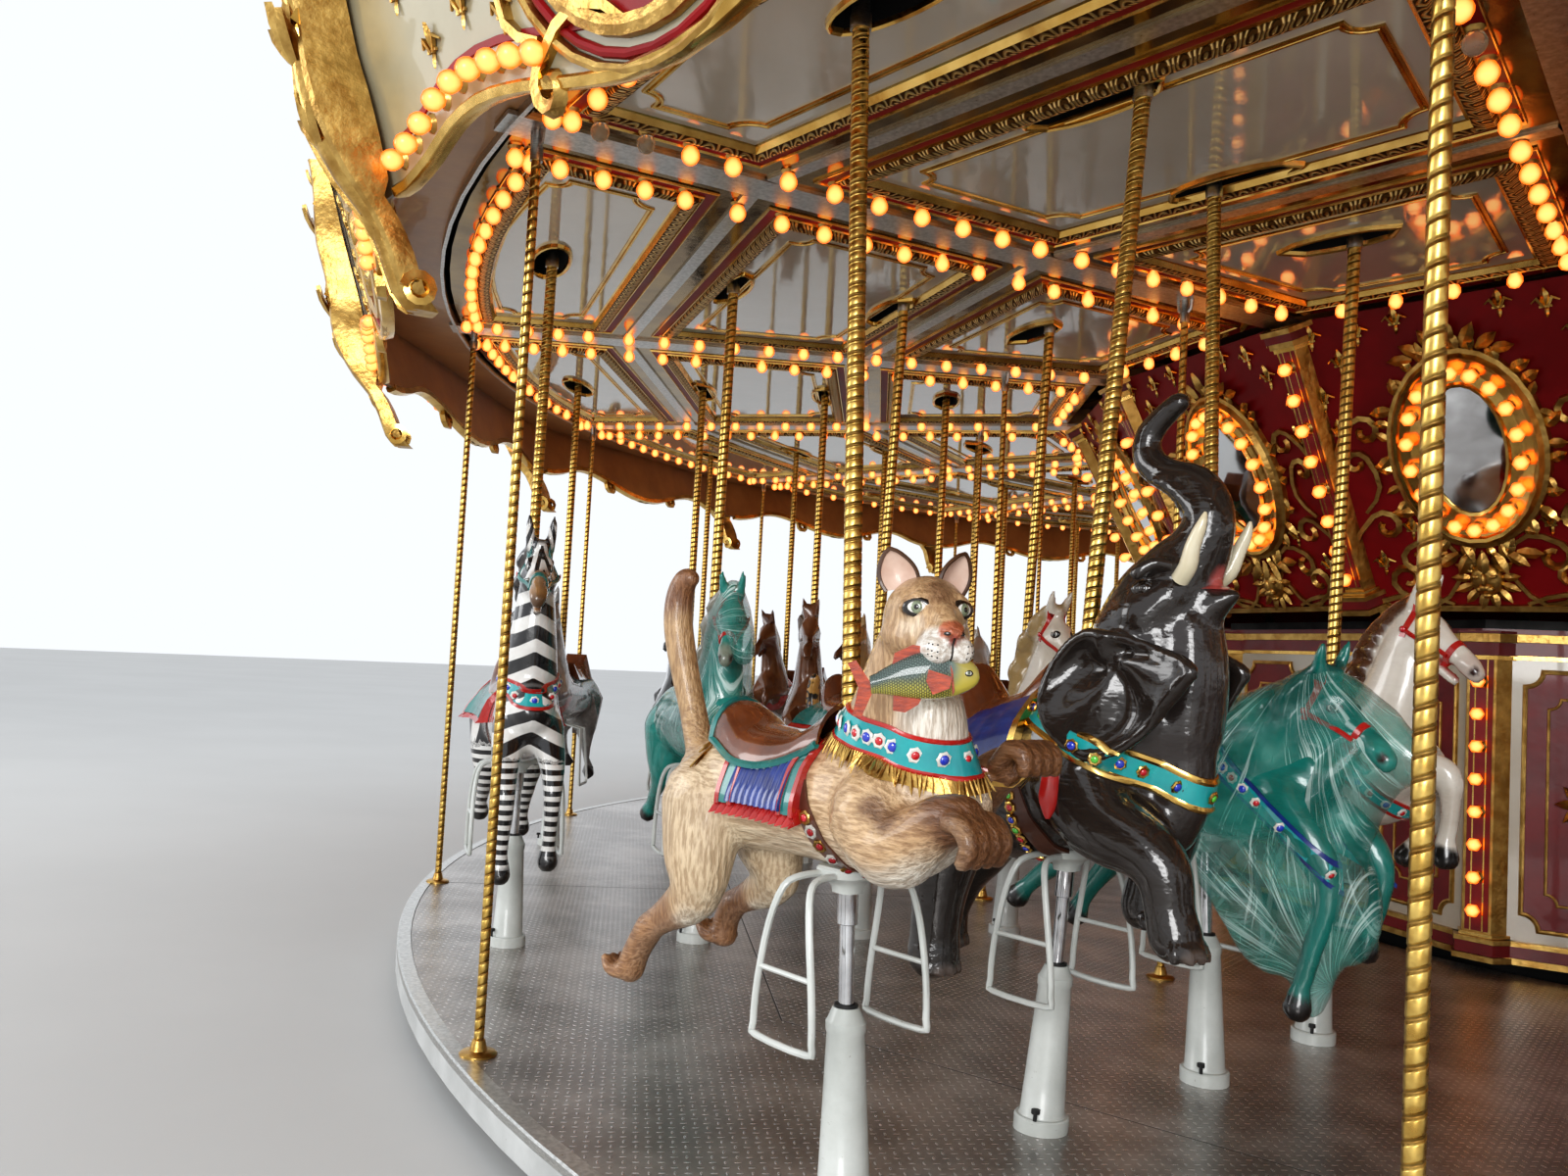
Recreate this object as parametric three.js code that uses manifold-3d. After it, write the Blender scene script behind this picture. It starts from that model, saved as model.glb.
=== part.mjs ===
// A four-abreast fairground carousel, 50 feet across, with sixteen bays.
// Millimetres, +Z up. The origin is on the ground, under the centre mast.
// Bay 0 faces -Y. Bays count counter-clockwise, and the figures face that way too.
import * as THREE from "three";
import { mergeVertices } from "three/addons/utils/BufferGeometryUtils.js";
import Module from "manifold-3d";

const wasm = await Module();
wasm.setup();

// Driving dimensions
const bayCount = 16;
const bayAngle = (2 * Math.PI) / bayCount;
const firstBayAngle = -Math.PI / 2;
const firstBeamAngle = firstBayAngle - bayAngle / 2;

const deckTop = 200;
const deckRadius = 7620;
const deckThickness = 50;
const deckInnerRadius = 2650;
const deckArcSteps = 3;
const rimWidth = 60;
const rimBottom = 96;
const joistBottom = 104;

const rowRadii = [7150, 6290, 5460, 4650];
const rowNames = ["outer_row", "second_row", "third_row", "inner_row"];

const ceilingBottom = 3310;
const ceilingThickness = 12;
const ceilingRadii = [7600, 6680, 5300, 3800];
const slotHalfLength = 240;
const slotHalfWidth = 65;

const sweepBottom = ceilingBottom + ceilingThickness + 0.3;
const sweepHeight = 100;
const sweepWidth = 90;
const outerRodRadius = 7530;
const innerRodRadius = 4430;
const rodThickness = 15;

const mastRadius = 220;
const mastTop = 4600;
const mastSides = 16;
const hubRadius = 420;
const hubTop = 4560;

const poleRadius = 24;
const rodRadius = 20;
const postRadii = { foot: 72, top: 48 };
const postTop = deckTop + 490;
const yokeBottom = deckTop + 780;
const crankHeight = 3650;
const leanPivot = deckTop + 470;

const boardBottom = { radius: 7905, z: 2600 };
const boardTop = { radius: 8385, z: 4150 };
const boardThickness = 30;
const boardEdge = { corner: 2940, arch: 3050, middle: 2900 };

const touch = 0.3;
const sliding = 0.8;

// Finishes
function finish(color, roughness, metalness) {
  return new THREE.MeshStandardMaterial({ color, roughness, metalness });
}
const gold = finish(0xc79a3a, 0.3, 1);
const brass = finish(0xd0a544, 0.25, 1);
const treadPlate = finish(0x9b9a98, 0.4, 0.9);
const paleSteel = finish(0xc9ccca, 0.5, 0.4);
const darkSteel = finish(0x2b2a2a, 0.6, 0.3);
const creamGloss = finish(0xd9cdb4, 0.15, 0);
const redPanel = finish(0x6d1015, 0.45, 0);
const creamPanel = finish(0xe4dcc4, 0.45, 0);
const furTan = finish(0xc49a6c, 0.4, 0);
const elephantGrey = finish(0x3a302b, 0.25, 0);
const tealCoat = finish(0x2f8f7f, 0.3, 0);
const whiteCoat = finish(0xe6e0d3, 0.4, 0);
const zebraCoat = finish(0xd8d5cd, 0.35, 0);
const leopardCoat = finish(0xc08a3e, 0.4, 0);

// Solids from three.js geometry
function solidOf(geometry) {
  const bare = geometry.index ? geometry.toNonIndexed() : geometry.clone();
  bare.deleteAttribute("normal");
  bare.deleteAttribute("uv");
  const merged = mergeVertices(bare, 1e-3);
  const vertProperties = new Float32Array(merged.getAttribute("position").array);
  const triVerts = new Uint32Array(merged.index.array);
  if (signedVolume(vertProperties, triVerts) < 0) {
    triVerts.reverse();
  }
  return new wasm.Manifold(new wasm.Mesh({ numProp: 3, vertProperties, triVerts }));
}

function signedVolume(positions, corners) {
  const [a, b, c] = [new THREE.Vector3(), new THREE.Vector3(), new THREE.Vector3()];
  let total = 0;
  for (let i = 0; i < corners.length; i += 3) {
    a.fromArray(positions, 3 * corners[i]);
    b.fromArray(positions, 3 * corners[i + 1]);
    c.fromArray(positions, 3 * corners[i + 2]);
    total += a.dot(b.cross(c));
  }
  return total;
}

function join(solids) {
  return solids.reduce((whole, solid) => whole.add(solid));
}

function geometryOf(solid) {
  const { vertProperties, triVerts } = solid.getMesh();
  const geometry = new THREE.BufferGeometry();
  geometry.setAttribute("position", new THREE.BufferAttribute(vertProperties, 3));
  geometry.setIndex(new THREE.BufferAttribute(triVerts, 1));
  geometry.computeVertexNormals();
  return geometry;
}

function place(solid, matrix) {
  return solid.transform(matrix.toArray());
}

function turn(solid, angle) {
  return place(solid, new THREE.Matrix4().makeRotationZ(angle));
}

function aroundBays(solid, count = bayCount, first = 0) {
  const copies = [];
  for (let bay = 0; bay < count; bay += 1) {
    copies.push(turn(solid, first + bay * bayAngle));
  }
  return copies;
}

// Shapes
function block([x0, x1], [y0, y1], [z0, z1]) {
  const box = new THREE.BoxGeometry(x1 - x0, y1 - y0, z1 - z0);
  return solidOf(box.translate((x0 + x1) / 2, (y0 + y1) / 2, (z0 + z1) / 2));
}

function pathOf(points, Kind = THREE.Shape) {
  return new Kind(points.map(([x, y]) => new THREE.Vector2(x, y)));
}

function prism(points, [z0, z1], holes = []) {
  const shape = pathOf(points);
  shape.holes = holes.map((hole) => pathOf(hole, THREE.Path));
  const geometry = new THREE.ExtrudeGeometry(shape, { depth: z1 - z0, bevelEnabled: false });
  return solidOf(geometry.translate(0, 0, z0));
}

// A plate that stands on edge: its outline is drawn along X and Z, its thickness is along Y.
function sidePlate(points, [y0, y1], holes = []) {
  const upright = new THREE.Matrix4().makeRotationX(Math.PI / 2);
  return place(prism(points, [-y1, -y0], holes), upright);
}

function circle(radius, count, first = 0, span = 2 * Math.PI) {
  const points = [];
  const last = span < 2 * Math.PI ? count : count - 1;
  for (let i = 0; i <= last; i += 1) {
    const angle = first + (span * i) / count;
    points.push([radius * Math.cos(angle), radius * Math.sin(angle)]);
  }
  return points;
}

// A turned ring or cone with flat sides and a corner at the angle called first.
function turned(profile, sides, first) {
  const points = profile.map(([radius, z]) => new THREE.Vector2(radius, z));
  const geometry = new THREE.LatheGeometry(points, sides, first + Math.PI / 2);
  return solidOf(geometry.rotateX(Math.PI / 2));
}

// A straight limb from one point to another. Wide is its width across, over its depth.
function limb(from, to, fromRadius, toRadius, sides = 6, wide = 1) {
  const start = new THREE.Vector3(...from);
  const end = new THREE.Vector3(...to);
  const along = end.clone().sub(start);
  const length = along.length();
  along.normalize();
  const level = new THREE.Vector3(0, 1, 0);
  const front = new THREE.Vector3().crossVectors(along, level).normalize();
  const across = new THREE.Vector3().crossVectors(front, along);
  const geometry = new THREE.CylinderGeometry(toRadius, fromRadius, length, sides);
  geometry.scale(1, 1, wide);
  const basis = new THREE.Matrix4().makeBasis(front, along, across);
  basis.setPosition(start.add(end).multiplyScalar(0.5));
  return solidOf(geometry.applyMatrix4(basis));
}

// A bent limb through several points: a cylinder whose rings are moved onto the path.
function chain(points, radii, sides = 6, wide = 1) {
  const path = points.map((point) => new THREE.Vector3(...point));
  const steps = path.length - 1;
  const geometry = new THREE.CylinderGeometry(1, 1, steps, sides, steps);
  const position = geometry.getAttribute("position");
  const across = new THREE.Vector3(0, 1, 0);
  for (let i = 0; i < position.count; i += 1) {
    const ring = Math.round(position.getY(i) + steps / 2);
    const before = path[Math.max(ring - 1, 0)];
    const after = path[Math.min(ring + 1, steps)];
    const along = after.clone().sub(before).normalize();
    const front = new THREE.Vector3().crossVectors(along, across).normalize();
    const spot = path[ring].clone();
    spot.addScaledVector(front, position.getX(i) * radii[ring]);
    spot.addScaledVector(across, position.getZ(i) * radii[ring] * wide);
    position.setXYZ(i, spot.x, spot.y, spot.z);
  }
  return solidOf(geometry);
}

// The carousel
const carousel = new THREE.Group();

function addMesh(name, solid, material, angle = 0, radius = 0) {
  const mesh = new THREE.Mesh(geometryOf(solid), material);
  mesh.name = name;
  mesh.rotation.z = angle;
  mesh.position.set(radius * Math.sin(angle), -radius * Math.cos(angle), 0);
  carousel.add(mesh);
  return mesh;
}

// Ground base: eight steel beams in a star, and the foot of the mast
const baseRadius = 2500;
const baseHeight = 140;
function groundBase() {
  const beams = [];
  for (let i = 0; i < 4; i += 1) {
    beams.push(turn(block([-baseRadius, baseRadius], [-60, 60], [0, baseHeight]), (i * Math.PI) / 4));
  }
  beams.push(prism(circle(420, 8, Math.PI / 8), [0, baseHeight + 20]));
  return join(beams);
}
addMesh("ground_base", groundBase(), darkSteel);

// Centre mast, with the shoulder that carries the turning hub
function centreMast() {
  const shaft = prism(circle(mastRadius, mastSides), [baseHeight + 20 + touch, mastTop]);
  const shoulder = prism(circle(hubRadius - 20, mastSides), [sweepBottom - 120, sweepBottom - touch]);
  return shaft.add(shoulder);
}
addMesh("centre_mast", centreMast(), darkSteel);

// Lower drum: eight walls that stand still inside the turning deck
const drumSides = 8;
const drumFirst = firstBeamAngle + 0.37 * bayAngle;
const drumRadius = 2700;
const drumBottom = deckTop + 50;
const drumTop = deckTop + 1720;
const plinthRadius = 2560;

function octagon(radius) {
  return circle(radius, drumSides, drumFirst);
}

addMesh(
  "drum_plinth",
  prism(octagon(plinthRadius), [baseHeight + touch, drumBottom - touch], [octagon(plinthRadius - 80)]),
  darkSteel,
);

// A wall ring whose corners carry pilasters
function pilasterRing({ radius, thickness, sides, first, halfWidth, proud }) {
  const outline = [];
  for (let i = 0; i < sides; i += 1) {
    const corner = first + (i * 2 * Math.PI) / sides;
    const back = radius - halfWidth * Math.tan(Math.PI / sides);
    const faceHalfWidth = 0.6 * halfWidth;
    const plan = [
      [back, -halfWidth], [radius + proud, -faceHalfWidth], [radius + proud, faceHalfWidth], [back, halfWidth],
    ];
    plan.forEach(([x, y]) => outline.push([
      x * Math.cos(corner) - y * Math.sin(corner), x * Math.sin(corner) + y * Math.cos(corner),
    ]));
  }
  return { outline, opening: circle(radius - thickness, sides, first) };
}

const drumPlan = { radius: drumRadius, sides: drumSides, first: drumFirst, halfWidth: 95, proud: 52 };

function drumWalls() {
  const ring = pilasterRing({ ...drumPlan, thickness: 50 });
  const walls = prism(ring.outline, [drumBottom, drumTop - 45], [ring.opening]);
  const lip = prism(octagon(drumRadius - 40), [drumBottom, drumBottom + 40], [octagon(plinthRadius - 80)]);
  return walls.add(lip);
}
addMesh("drum_walls", drumWalls(), creamPanel);
addMesh(
  "drum_roof",
  prism(octagon(drumRadius + 12), [drumTop - 45 + touch, drumTop], [circle(mastRadius + touch, mastSides)]),
  darkSteel,
);

// Base moulding and capital moulding round the drum and its pilasters
function drumMoulding([z0, z1]) {
  const inner = pilasterRing({ ...drumPlan, radius: drumRadius + 0.5, thickness: 50 });
  const outer = pilasterRing({ ...drumPlan, radius: drumRadius + 30, halfWidth: 115, thickness: 50 });
  return prism(outer.outline, [z0, z1], [inner.outline]);
}
addMesh("drum_base_moulding", drumMoulding([drumBottom, drumBottom + 110]), gold);
addMesh("drum_capital_moulding", drumMoulding([drumTop - 150, drumTop - 46]), gold);

// Poles lean where the crank above has carried them forward or back.
function axisAt(lean, z) {
  return [(lean * (z - leanPivot)) / (ceilingBottom - leanPivot), 0, z];
}

// Deck: eight sections of two bays, each with its telescoping posts
const deckSectionCount = 8;
const deckSectionAngle = (2 * Math.PI) / deckSectionCount;
const deckPlateRadius = deckRadius - rimWidth;

function post(lean, sides) {
  return limb(axisAt(lean, deckTop - 10), axisAt(lean, postTop), postRadii.foot, postRadii.top, sides);
}

function postBore(lean, sides) {
  const radius = rodRadius + sliding;
  return limb(axisAt(lean, deckTop + 20), axisAt(lean, postTop + 40), radius, radius, sides);
}

function atRow(solid, row, bayTurn) {
  const out = new THREE.Matrix4().makeTranslation(0, -rowRadii[row], 0);
  return turn(place(solid, out), bayTurn);
}

function deckSection(leans, sides) {
  const seam = touch / deckPlateRadius;
  const start = -Math.PI / 2 - bayAngle / 2;
  const steps = 2 * deckArcSteps;
  const outer = circle(deckPlateRadius, steps, start + seam, 2 * bayAngle - 2 * seam);
  const inner = circle(deckInnerRadius, 2, start + 3 * seam, 2 * bayAngle - 6 * seam);
  const plate = prism([...outer, ...inner.reverse()], [deckTop - deckThickness, deckTop]);
  const solids = [plate];
  const bores = [];
  for (let bay = 0; bay < 2; bay += 1) {
    for (let row = 0; row < rowRadii.length; row += 1) {
      const lean = leans[bay][row];
      solids.push(atRow(post(lean, sides), row, bay * bayAngle));
      bores.push(atRow(postBore(lean, sides), row, bay * bayAngle));
    }
  }
  return join(solids).subtract(join(bores));
}

// How far each pole has swung at the ceiling, from the outer row in
const upright = [0, 0, 0, 0];
const bayBeforeLeans = [55, 50, 175, 172];
const firstBayLeans = [-135, 185, -70, 60];

const farSection = deckSection([upright, upright], 4);
for (let i = 0; i < deckSectionCount; i += 1) {
  const near = i === 0;
  const solid = near ? deckSection([bayBeforeLeans, firstBayLeans], 6) : farSection;
  addMesh(`deck_section_${i + 1}`, solid, treadPlate, -bayAngle + i * deckSectionAngle);
}

const rimSides = bayCount * deckArcSteps;
addMesh(
  "deck_rim",
  prism(
    circle(deckRadius, rimSides, firstBeamAngle),
    [rimBottom, deckTop + 4],
    [circle(deckPlateRadius + 0.5, rimSides, firstBeamAngle)],
  ),
  paleSteel,
);

// A flat frame of radial bars between an inner and an outer ring
function spokedPlan({ outer, rim, inner, barHalfWidth }) {
  const cells = [];
  for (let i = 0; i < bayCount; i += 1) {
    const middle = firstBayAngle + i * bayAngle;
    const corners = [rim, inner].map((radius) => {
      const half = bayAngle / 2 - Math.asin(barHalfWidth / radius);
      return circle(radius, 1, middle - half, 2 * half);
    });
    cells.push([...corners[0], ...corners[1].reverse()]);
  }
  return { outline: circle(outer, bayCount, firstBeamAngle), cells };
}

// Joists under the deck, tied by a ring at each end
function deckFrame() {
  const plan = spokedPlan({
    outer: deckPlateRadius - 2, rim: deckPlateRadius - 120,
    inner: deckInnerRadius + 140, barHalfWidth: 40,
  });
  const opening = circle(deckInnerRadius + 40, bayCount, firstBeamAngle);
  return prism(plan.outline, [joistBottom, deckTop - deckThickness - touch], [...plan.cells, opening]);
}
addMesh("deck_joists", deckFrame(), darkSteel);

// Sweeps: the hub, sixteen radial beams, their ties, and the brass rods that hang from them
function boardInnerRadius(z) {
  const slope = (boardTop.radius - boardBottom.radius) / (boardTop.z - boardBottom.z);
  return boardBottom.radius + slope * (z - boardBottom.z) - boardThickness;
}

function hangingRod(radius) {
  return limb([radius, 0, deckTop + touch], [radius, 0, sweepBottom + 5], rodThickness, rodThickness, 5);
}

// The hub's bore is wide enough for the mast's corners to pass its flats.
const boreRadius = (mastRadius + sliding) / Math.cos(Math.PI / mastSides);

function sweepFrame() {
  const top = sweepBottom + sweepHeight;
  const end = boardInnerRadius(sweepBottom) - 0.4;
  const plan = spokedPlan({
    outer: end, rim: end - 90, inner: hubRadius + 60, barHalfWidth: sweepWidth / 2,
  });
  const shaft = circle(boreRadius, mastSides);
  const frame = prism(plan.outline, [sweepBottom, top], [...plan.cells, shaft]);
  const hub = prism(circle(hubRadius, 8), [sweepBottom + 20, hubTop], [shaft]);
  const tie = limb([hubRadius - 40, 0, hubTop - 80], [3900, 0, top - 20], 28, 28, 3);
  const stanchion = block([end - 80, end - 20], [-30, 30], [top - 10, boardTop.z - touch]);
  const ties = aroundBays(tie, 8, firstBeamAngle).map((solid, i) => turn(solid, i * bayAngle));
  const stanchions = aroundBays(stanchion, bayCount, firstBeamAngle);
  const rods = [outerRodRadius, innerRodRadius].flatMap((radius) =>
    aroundBays(hangingRod(radius), bayCount, firstBeamAngle));
  return join([frame, hub, ...ties, ...stanchions, ...rods]);
}
addMesh("sweeps_and_rods", sweepFrame(), brass);

// Ceiling: three rings of glossy panels, with a slot over each pole
function slotOutline(row, bay) {
  const angle = firstBayAngle + bay * bayAngle;
  const innerHalfLength = slotHalfLength - 8 - 4 * row;
  const across = [
    [slotHalfLength, slotHalfWidth], [-slotHalfLength, slotHalfWidth],
    [-innerHalfLength, -slotHalfWidth], [innerHalfLength, -slotHalfWidth],
  ];
  return across.map(([tangent, radial]) => {
    const radius = rowRadii[row] + radial;
    return [
      radius * Math.cos(angle) - tangent * Math.sin(angle),
      radius * Math.sin(angle) + tangent * Math.cos(angle),
    ];
  });
}

function rodHole(radius, beam) {
  const angle = firstBeamAngle + beam * bayAngle;
  const middle = [radius * Math.cos(angle), radius * Math.sin(angle)];
  return circle(30, 4, angle).map(([x, y]) => [x + middle[0], y + middle[1]]);
}

function ceilingRing(outer, inner, rows, rodsAt) {
  const holes = [circle(inner + 0.5, bayCount, firstBeamAngle)];
  for (let i = 0; i < bayCount; i += 1) {
    rows.forEach((row) => holes.push(slotOutline(row, i)));
    rodsAt.forEach((radius) => holes.push(rodHole(radius, i)));
  }
  return prism(outer, [ceilingBottom, ceilingBottom + ceilingThickness], holes);
}

function sixteen(radius) {
  return circle(radius, bayCount, firstBeamAngle);
}

const ceilingEdge = circle(ceilingRadii[0], rimSides, firstBeamAngle);
addMesh("ceiling_outer", ceilingRing(ceilingEdge, ceilingRadii[1], [0], [outerRodRadius]), creamGloss);
addMesh("ceiling_middle", ceilingRing(sixteen(ceilingRadii[1]), ceilingRadii[2], [1, 2], []), creamGloss);
addMesh("ceiling_inner", ceilingRing(sixteen(ceilingRadii[2]), ceilingRadii[3], [3], [innerRodRadius]),
  creamGloss);

// Upper shields: sixteen leaning red panels that turn with the ceiling
const shieldBottom = { radius: 3060, z: deckTop + 1750 };
const shieldTop = { radius: 3740, z: ceilingBottom - touch };

function leaningBand(radiusAt, [z0, z1], [r0, r1]) {
  const profile = [
    [radiusAt(z0) + r0, z0], [radiusAt(z0) + r1, z0], [radiusAt(z1) + r1, z1],
    [radiusAt(z1) + r0, z1], [radiusAt(z0) + r0, z0],
  ];
  return turned(profile, bayCount, firstBeamAngle);
}

// The wall's plan is drawn at its foot and spreads as it rises.
function upperShields() {
  const height = shieldTop.z - shieldBottom.z;
  const ring = pilasterRing({
    radius: shieldBottom.radius, thickness: 25, sides: bayCount, first: firstBeamAngle,
    halfWidth: 75, proud: 40,
  });
  const shape = pathOf(ring.outline);
  shape.holes = [pathOf(ring.opening, THREE.Path)];
  const geometry = new THREE.ExtrudeGeometry(shape, { depth: height, bevelEnabled: false });
  const position = geometry.getAttribute("position");
  for (let i = 0; i < position.count; i += 1) {
    const share = position.getZ(i) / height;
    const spread = 1 + share * (shieldTop.radius / shieldBottom.radius - 1);
    position.setXYZ(i, position.getX(i) * spread, position.getY(i) * spread, position.getZ(i));
  }
  return solidOf(geometry.translate(0, 0, shieldBottom.z));
}
addMesh("upper_shields", upperShields(), redPanel);

// Rounding boards: sixteen leaning panels with a scalloped lower edge
function boardRadius(z) {
  return boardInnerRadius(z) + boardThickness;
}

function roundingBoards() {
  const shell = leaningBand(boardRadius, [boardEdge.middle - 5, boardTop.z], [-boardThickness, 0]);
  const halfWidth = boardTop.radius * Math.sin(bayAngle / 2);
  const archAt = 0.56 * halfWidth;
  const low = boardEdge.middle - 100;
  const cutter = prism([
    [-halfWidth, low], [halfWidth, low], [halfWidth, boardEdge.corner], [archAt, boardEdge.arch],
    [0, boardEdge.middle], [-archAt, boardEdge.arch], [-halfWidth, boardEdge.corner],
  ], [7000, 9000]);
  const stand = new THREE.Matrix4().makeBasis(
    new THREE.Vector3(0, 1, 0), new THREE.Vector3(0, 0, 1), new THREE.Vector3(1, 0, 0),
  );
  const cutters = aroundBays(place(cutter, stand), bayCount, firstBayAngle);
  return shell.subtract(join(cutters));
}
addMesh("rounding_boards", roundingBoards(), creamPanel);

// Gold S-shaped brackets over the boards' corners, tied by the crest moulding
function boardTrim() {
  const clear = 0.6;
  const crestRadius = boardRadius(boardTop.z);
  const crest = prism(
    sixteen(crestRadius + 95), [boardTop.z + touch, boardTop.z + 80], [sixteen(crestRadius - 60)],
  );
  const seat = boardEdge.corner - touch;
  const bracketOutline = [
    [7865, 2600], [8180, 3000], [8300, 3340], [crestRadius + 60, boardTop.z + 40],
    [boardRadius(boardTop.z + 40) + clear, boardTop.z + 40], [boardRadius(seat) + clear, seat],
    [boardInnerRadius(seat) - 20, seat],
  ];
  const bracket = sidePlate(bracketOutline, [-110, 110]);
  return join([crest, ...aroundBays(bracket, bayCount, firstBeamAngle)]);
}
addMesh("board_brackets", boardTrim(), gold);

// Roof: a low sixteen-sided cone that lies on the crest and over the hub
function roof() {
  const eave = { radius: boardRadius(boardTop.z) + 60, z: boardTop.z + 80 + touch };
  const peak = 5300;
  const thickness = 24;
  const profile = [
    [0, peak + thickness], [eave.radius, eave.z + thickness], [eave.radius, eave.z],
    [eave.radius - 120, eave.z], [0, peak],
  ];
  return turned(profile.reverse(), bayCount, firstBeamAngle);
}
addMesh("roof", roof(), creamPanel);

// What every figure hangs on: brass pole, sliding rod, and the yoke that carries the stirrups
function hanger(lean, sides) {
  const pole = limb(axisAt(lean, yokeBottom + 20), axisAt(lean, crankHeight), poleRadius, poleRadius, sides);
  const rod = limb(axisAt(lean, deckTop + 250), axisAt(lean, yokeBottom + 25), rodRadius, rodRadius, sides);
  return pole.add(rod);
}

function yoke(lean) {
  const collar = limb(axisAt(lean, yokeBottom), axisAt(lean, yokeBottom + 60), 46, 64, 4);
  return collar.add(block([-14, 14], [-206, 206], [yokeBottom + 16, yokeBottom + 44]));
}

// A stirrup is an open trapezoid of tube at each side of the figure.
function stirrups() {
  const top = yokeBottom + 44;
  const bottom = deckTop + 410;
  const outer = [[-60, top], [-130, bottom], [130, bottom], [60, top]];
  const inner = [[-38, top - 28], [-100, bottom + 24], [100, bottom + 24], [38, top - 28]];
  return join([[-206, -184], [184, 206]].map((across) => sidePlate(outer, across, [inner])));
}

// A plain running horse, for the bays that the first two don't show
const farHorseOutline = [
  [610, 1560], [400, 1830], [110, 1450], [-540, 1400], [-760, 900], [-600, 1060],
  [-780, 620], [-420, 920], [250, 1020], [450, 780], [560, 1130], [430, 1440], [520, 1460],
];

function farFigure() {
  const horse = sidePlate(farHorseOutline, [-120, 120]);
  const pole = limb([0, 0, 1250], [0, 0, crankHeight], poleRadius, poleRadius, 4);
  const rod = limb([0, 0, deckTop + 250], [0, 0, 1150], rodRadius, rodRadius, 4);
  return join([horse, pole, rod]);
}

// Figures of the far bays share one crank bar in each row.
const farGroups = [
  { first: 1, count: 5 },
  { first: 6, count: 4 },
  { first: 10, count: 5 },
];

function figureGroup(row, count) {
  const figure = farFigure();
  const solids = [];
  for (let bay = 0; bay < count; bay += 1) {
    solids.push(atRow(figure, row, bay * bayAngle));
  }
  const halfBay = rowRadii[row] * Math.sin(bayAngle / 2);
  const out = -rowRadii[row] * Math.cos(bayAngle / 2);
  const bar = block([-halfBay, halfBay], [out - 20, out + 20], [crankHeight - 30, crankHeight + 20]);
  for (let bay = 0; bay + 1 < count; bay += 1) {
    solids.push(turn(bar, (bay + 0.5) * bayAngle));
  }
  return join(solids);
}

rowRadii.forEach((radius, row) => {
  farGroups.forEach(({ first, count }, index) => {
    addMesh(`${rowNames[row]}_figures_${index + 1}`, figureGroup(row, count), whiteCoat, first * bayAngle);
  });
});

// Figures of the first two bays, each on its own crank. X is forward, Y is towards the mast.
function leg(points, side, radii, sides = 4) {
  return chain(points.map(([x, z]) => [x, side, z + deckTop]), radii, sides);
}

function puma() {
  const z = deckTop;
  return join([
    chain([[-640, 0, z + 960], [-250, 0, z + 980], [150, 0, z + 1000], [300, 0, z + 1020]],
      [110, 175, 190, 110], 6, 0.85),
    chain([[120, 0, z + 1000], [170, -15, z + 1380], [330, -85, z + 1460], [430, -130, z + 1425]],
      [170, 130, 130, 55], 6),
    limb([140, 60, z + 1440], [110, 95, z + 1660], 75, 12, 3),
    limb([170, -110, z + 1480], [175, -125, z + 1660], 60, 12, 3),
    chain([[-600, 0, z + 980], [-760, 0, z + 1060], [-800, 0, z + 1300], [-730, 0, z + 1580]],
      [60, 55, 60, 50], 5),
    leg([[-560, 930], [-480, 690], [-700, 600], [-790, 480]], -100, [140, 75, 50, 55]),
    leg([[-560, 930], [-420, 720], [-600, 640], [-660, 590]], 100, [140, 75, 50, 55]),
    leg([[230, 970], [470, 900], [600, 990]], -100, [95, 60, 60]),
    leg([[230, 970], [420, 980], [500, 1130]], 100, [95, 60, 60]),
  ]);
}

function elephant() {
  const z = deckTop;
  return join([
    chain([[-450, 0, z + 880], [-200, 0, z + 1000], [180, 0, z + 1170], [330, 0, z + 1400], [440, 0, z + 1600]],
      [150, 265, 260, 210, 130], 6, 0.9),
    chain([[430, 0, z + 1560], [500, 0, z + 1780], [290, 0, z + 1920], [230, 0, z + 2020], [350, 0, z + 2130]],
      [100, 68, 55, 45, 30], 6),
    limb([470, -60, z + 1560], [600, -110, z + 1760], 24, 8, 3),
    limb([470, 60, z + 1560], [600, 110, z + 1760], 24, 8, 3),
    limb([240, -170, z + 1560], [150, -220, z + 1200], 150, 70, 4, 0.3),
    limb([240, 170, z + 1560], [150, 220, z + 1200], 150, 70, 4, 0.3),
    leg([[240, 1100], [330, 840], [330, 560]], -130, [140, 95, 85]),
    leg([[240, 1100], [460, 960], [440, 700]], 130, [140, 95, 85]),
    leg([[-400, 920], [-440, 700], [-430, 470]], -130, [160, 105, 95]),
    leg([[-400, 920], [-320, 720], [-350, 500]], 130, [160, 105, 95]),
  ]);
}

function horse(headDrop = 0) {
  const z = deckTop;
  const drop = headDrop;
  return join([
    chain([[-600, 0, z + 1000], [-250, 0, z + 990], [180, 0, z + 1010], [340, 0, z + 1080]],
      [120, 185, 190, 110], 6, 0.85),
    chain([[240, 0, z + 1060], [270, 0, z + 1400 - drop], [340, 0, z + 1570 - drop], [580, 0, z + 1430 - drop]],
      [150, 105, 95, 50], 6, 0.75),
    limb([320, 0, z + 1560 - drop], [330, 0, z + 1700 - drop], 60, 14, 3),
    chain([[-580, 0, z + 1060], [-740, 0, z + 1000], [-760, 0, z + 720]], [50, 70, 35], 4),
    leg([[300, 980], [510, 940], [460, 700]], -95, [90, 48, 44]),
    leg([[300, 980], [520, 1030], [500, 780]], 95, [90, 48, 44]),
    leg([[-500, 960], [-500, 720], [-720, 520]], -95, [130, 58, 46]),
    leg([[-500, 960], [-440, 700], [-600, 450]], 95, [130, 58, 46]),
  ]);
}

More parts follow.
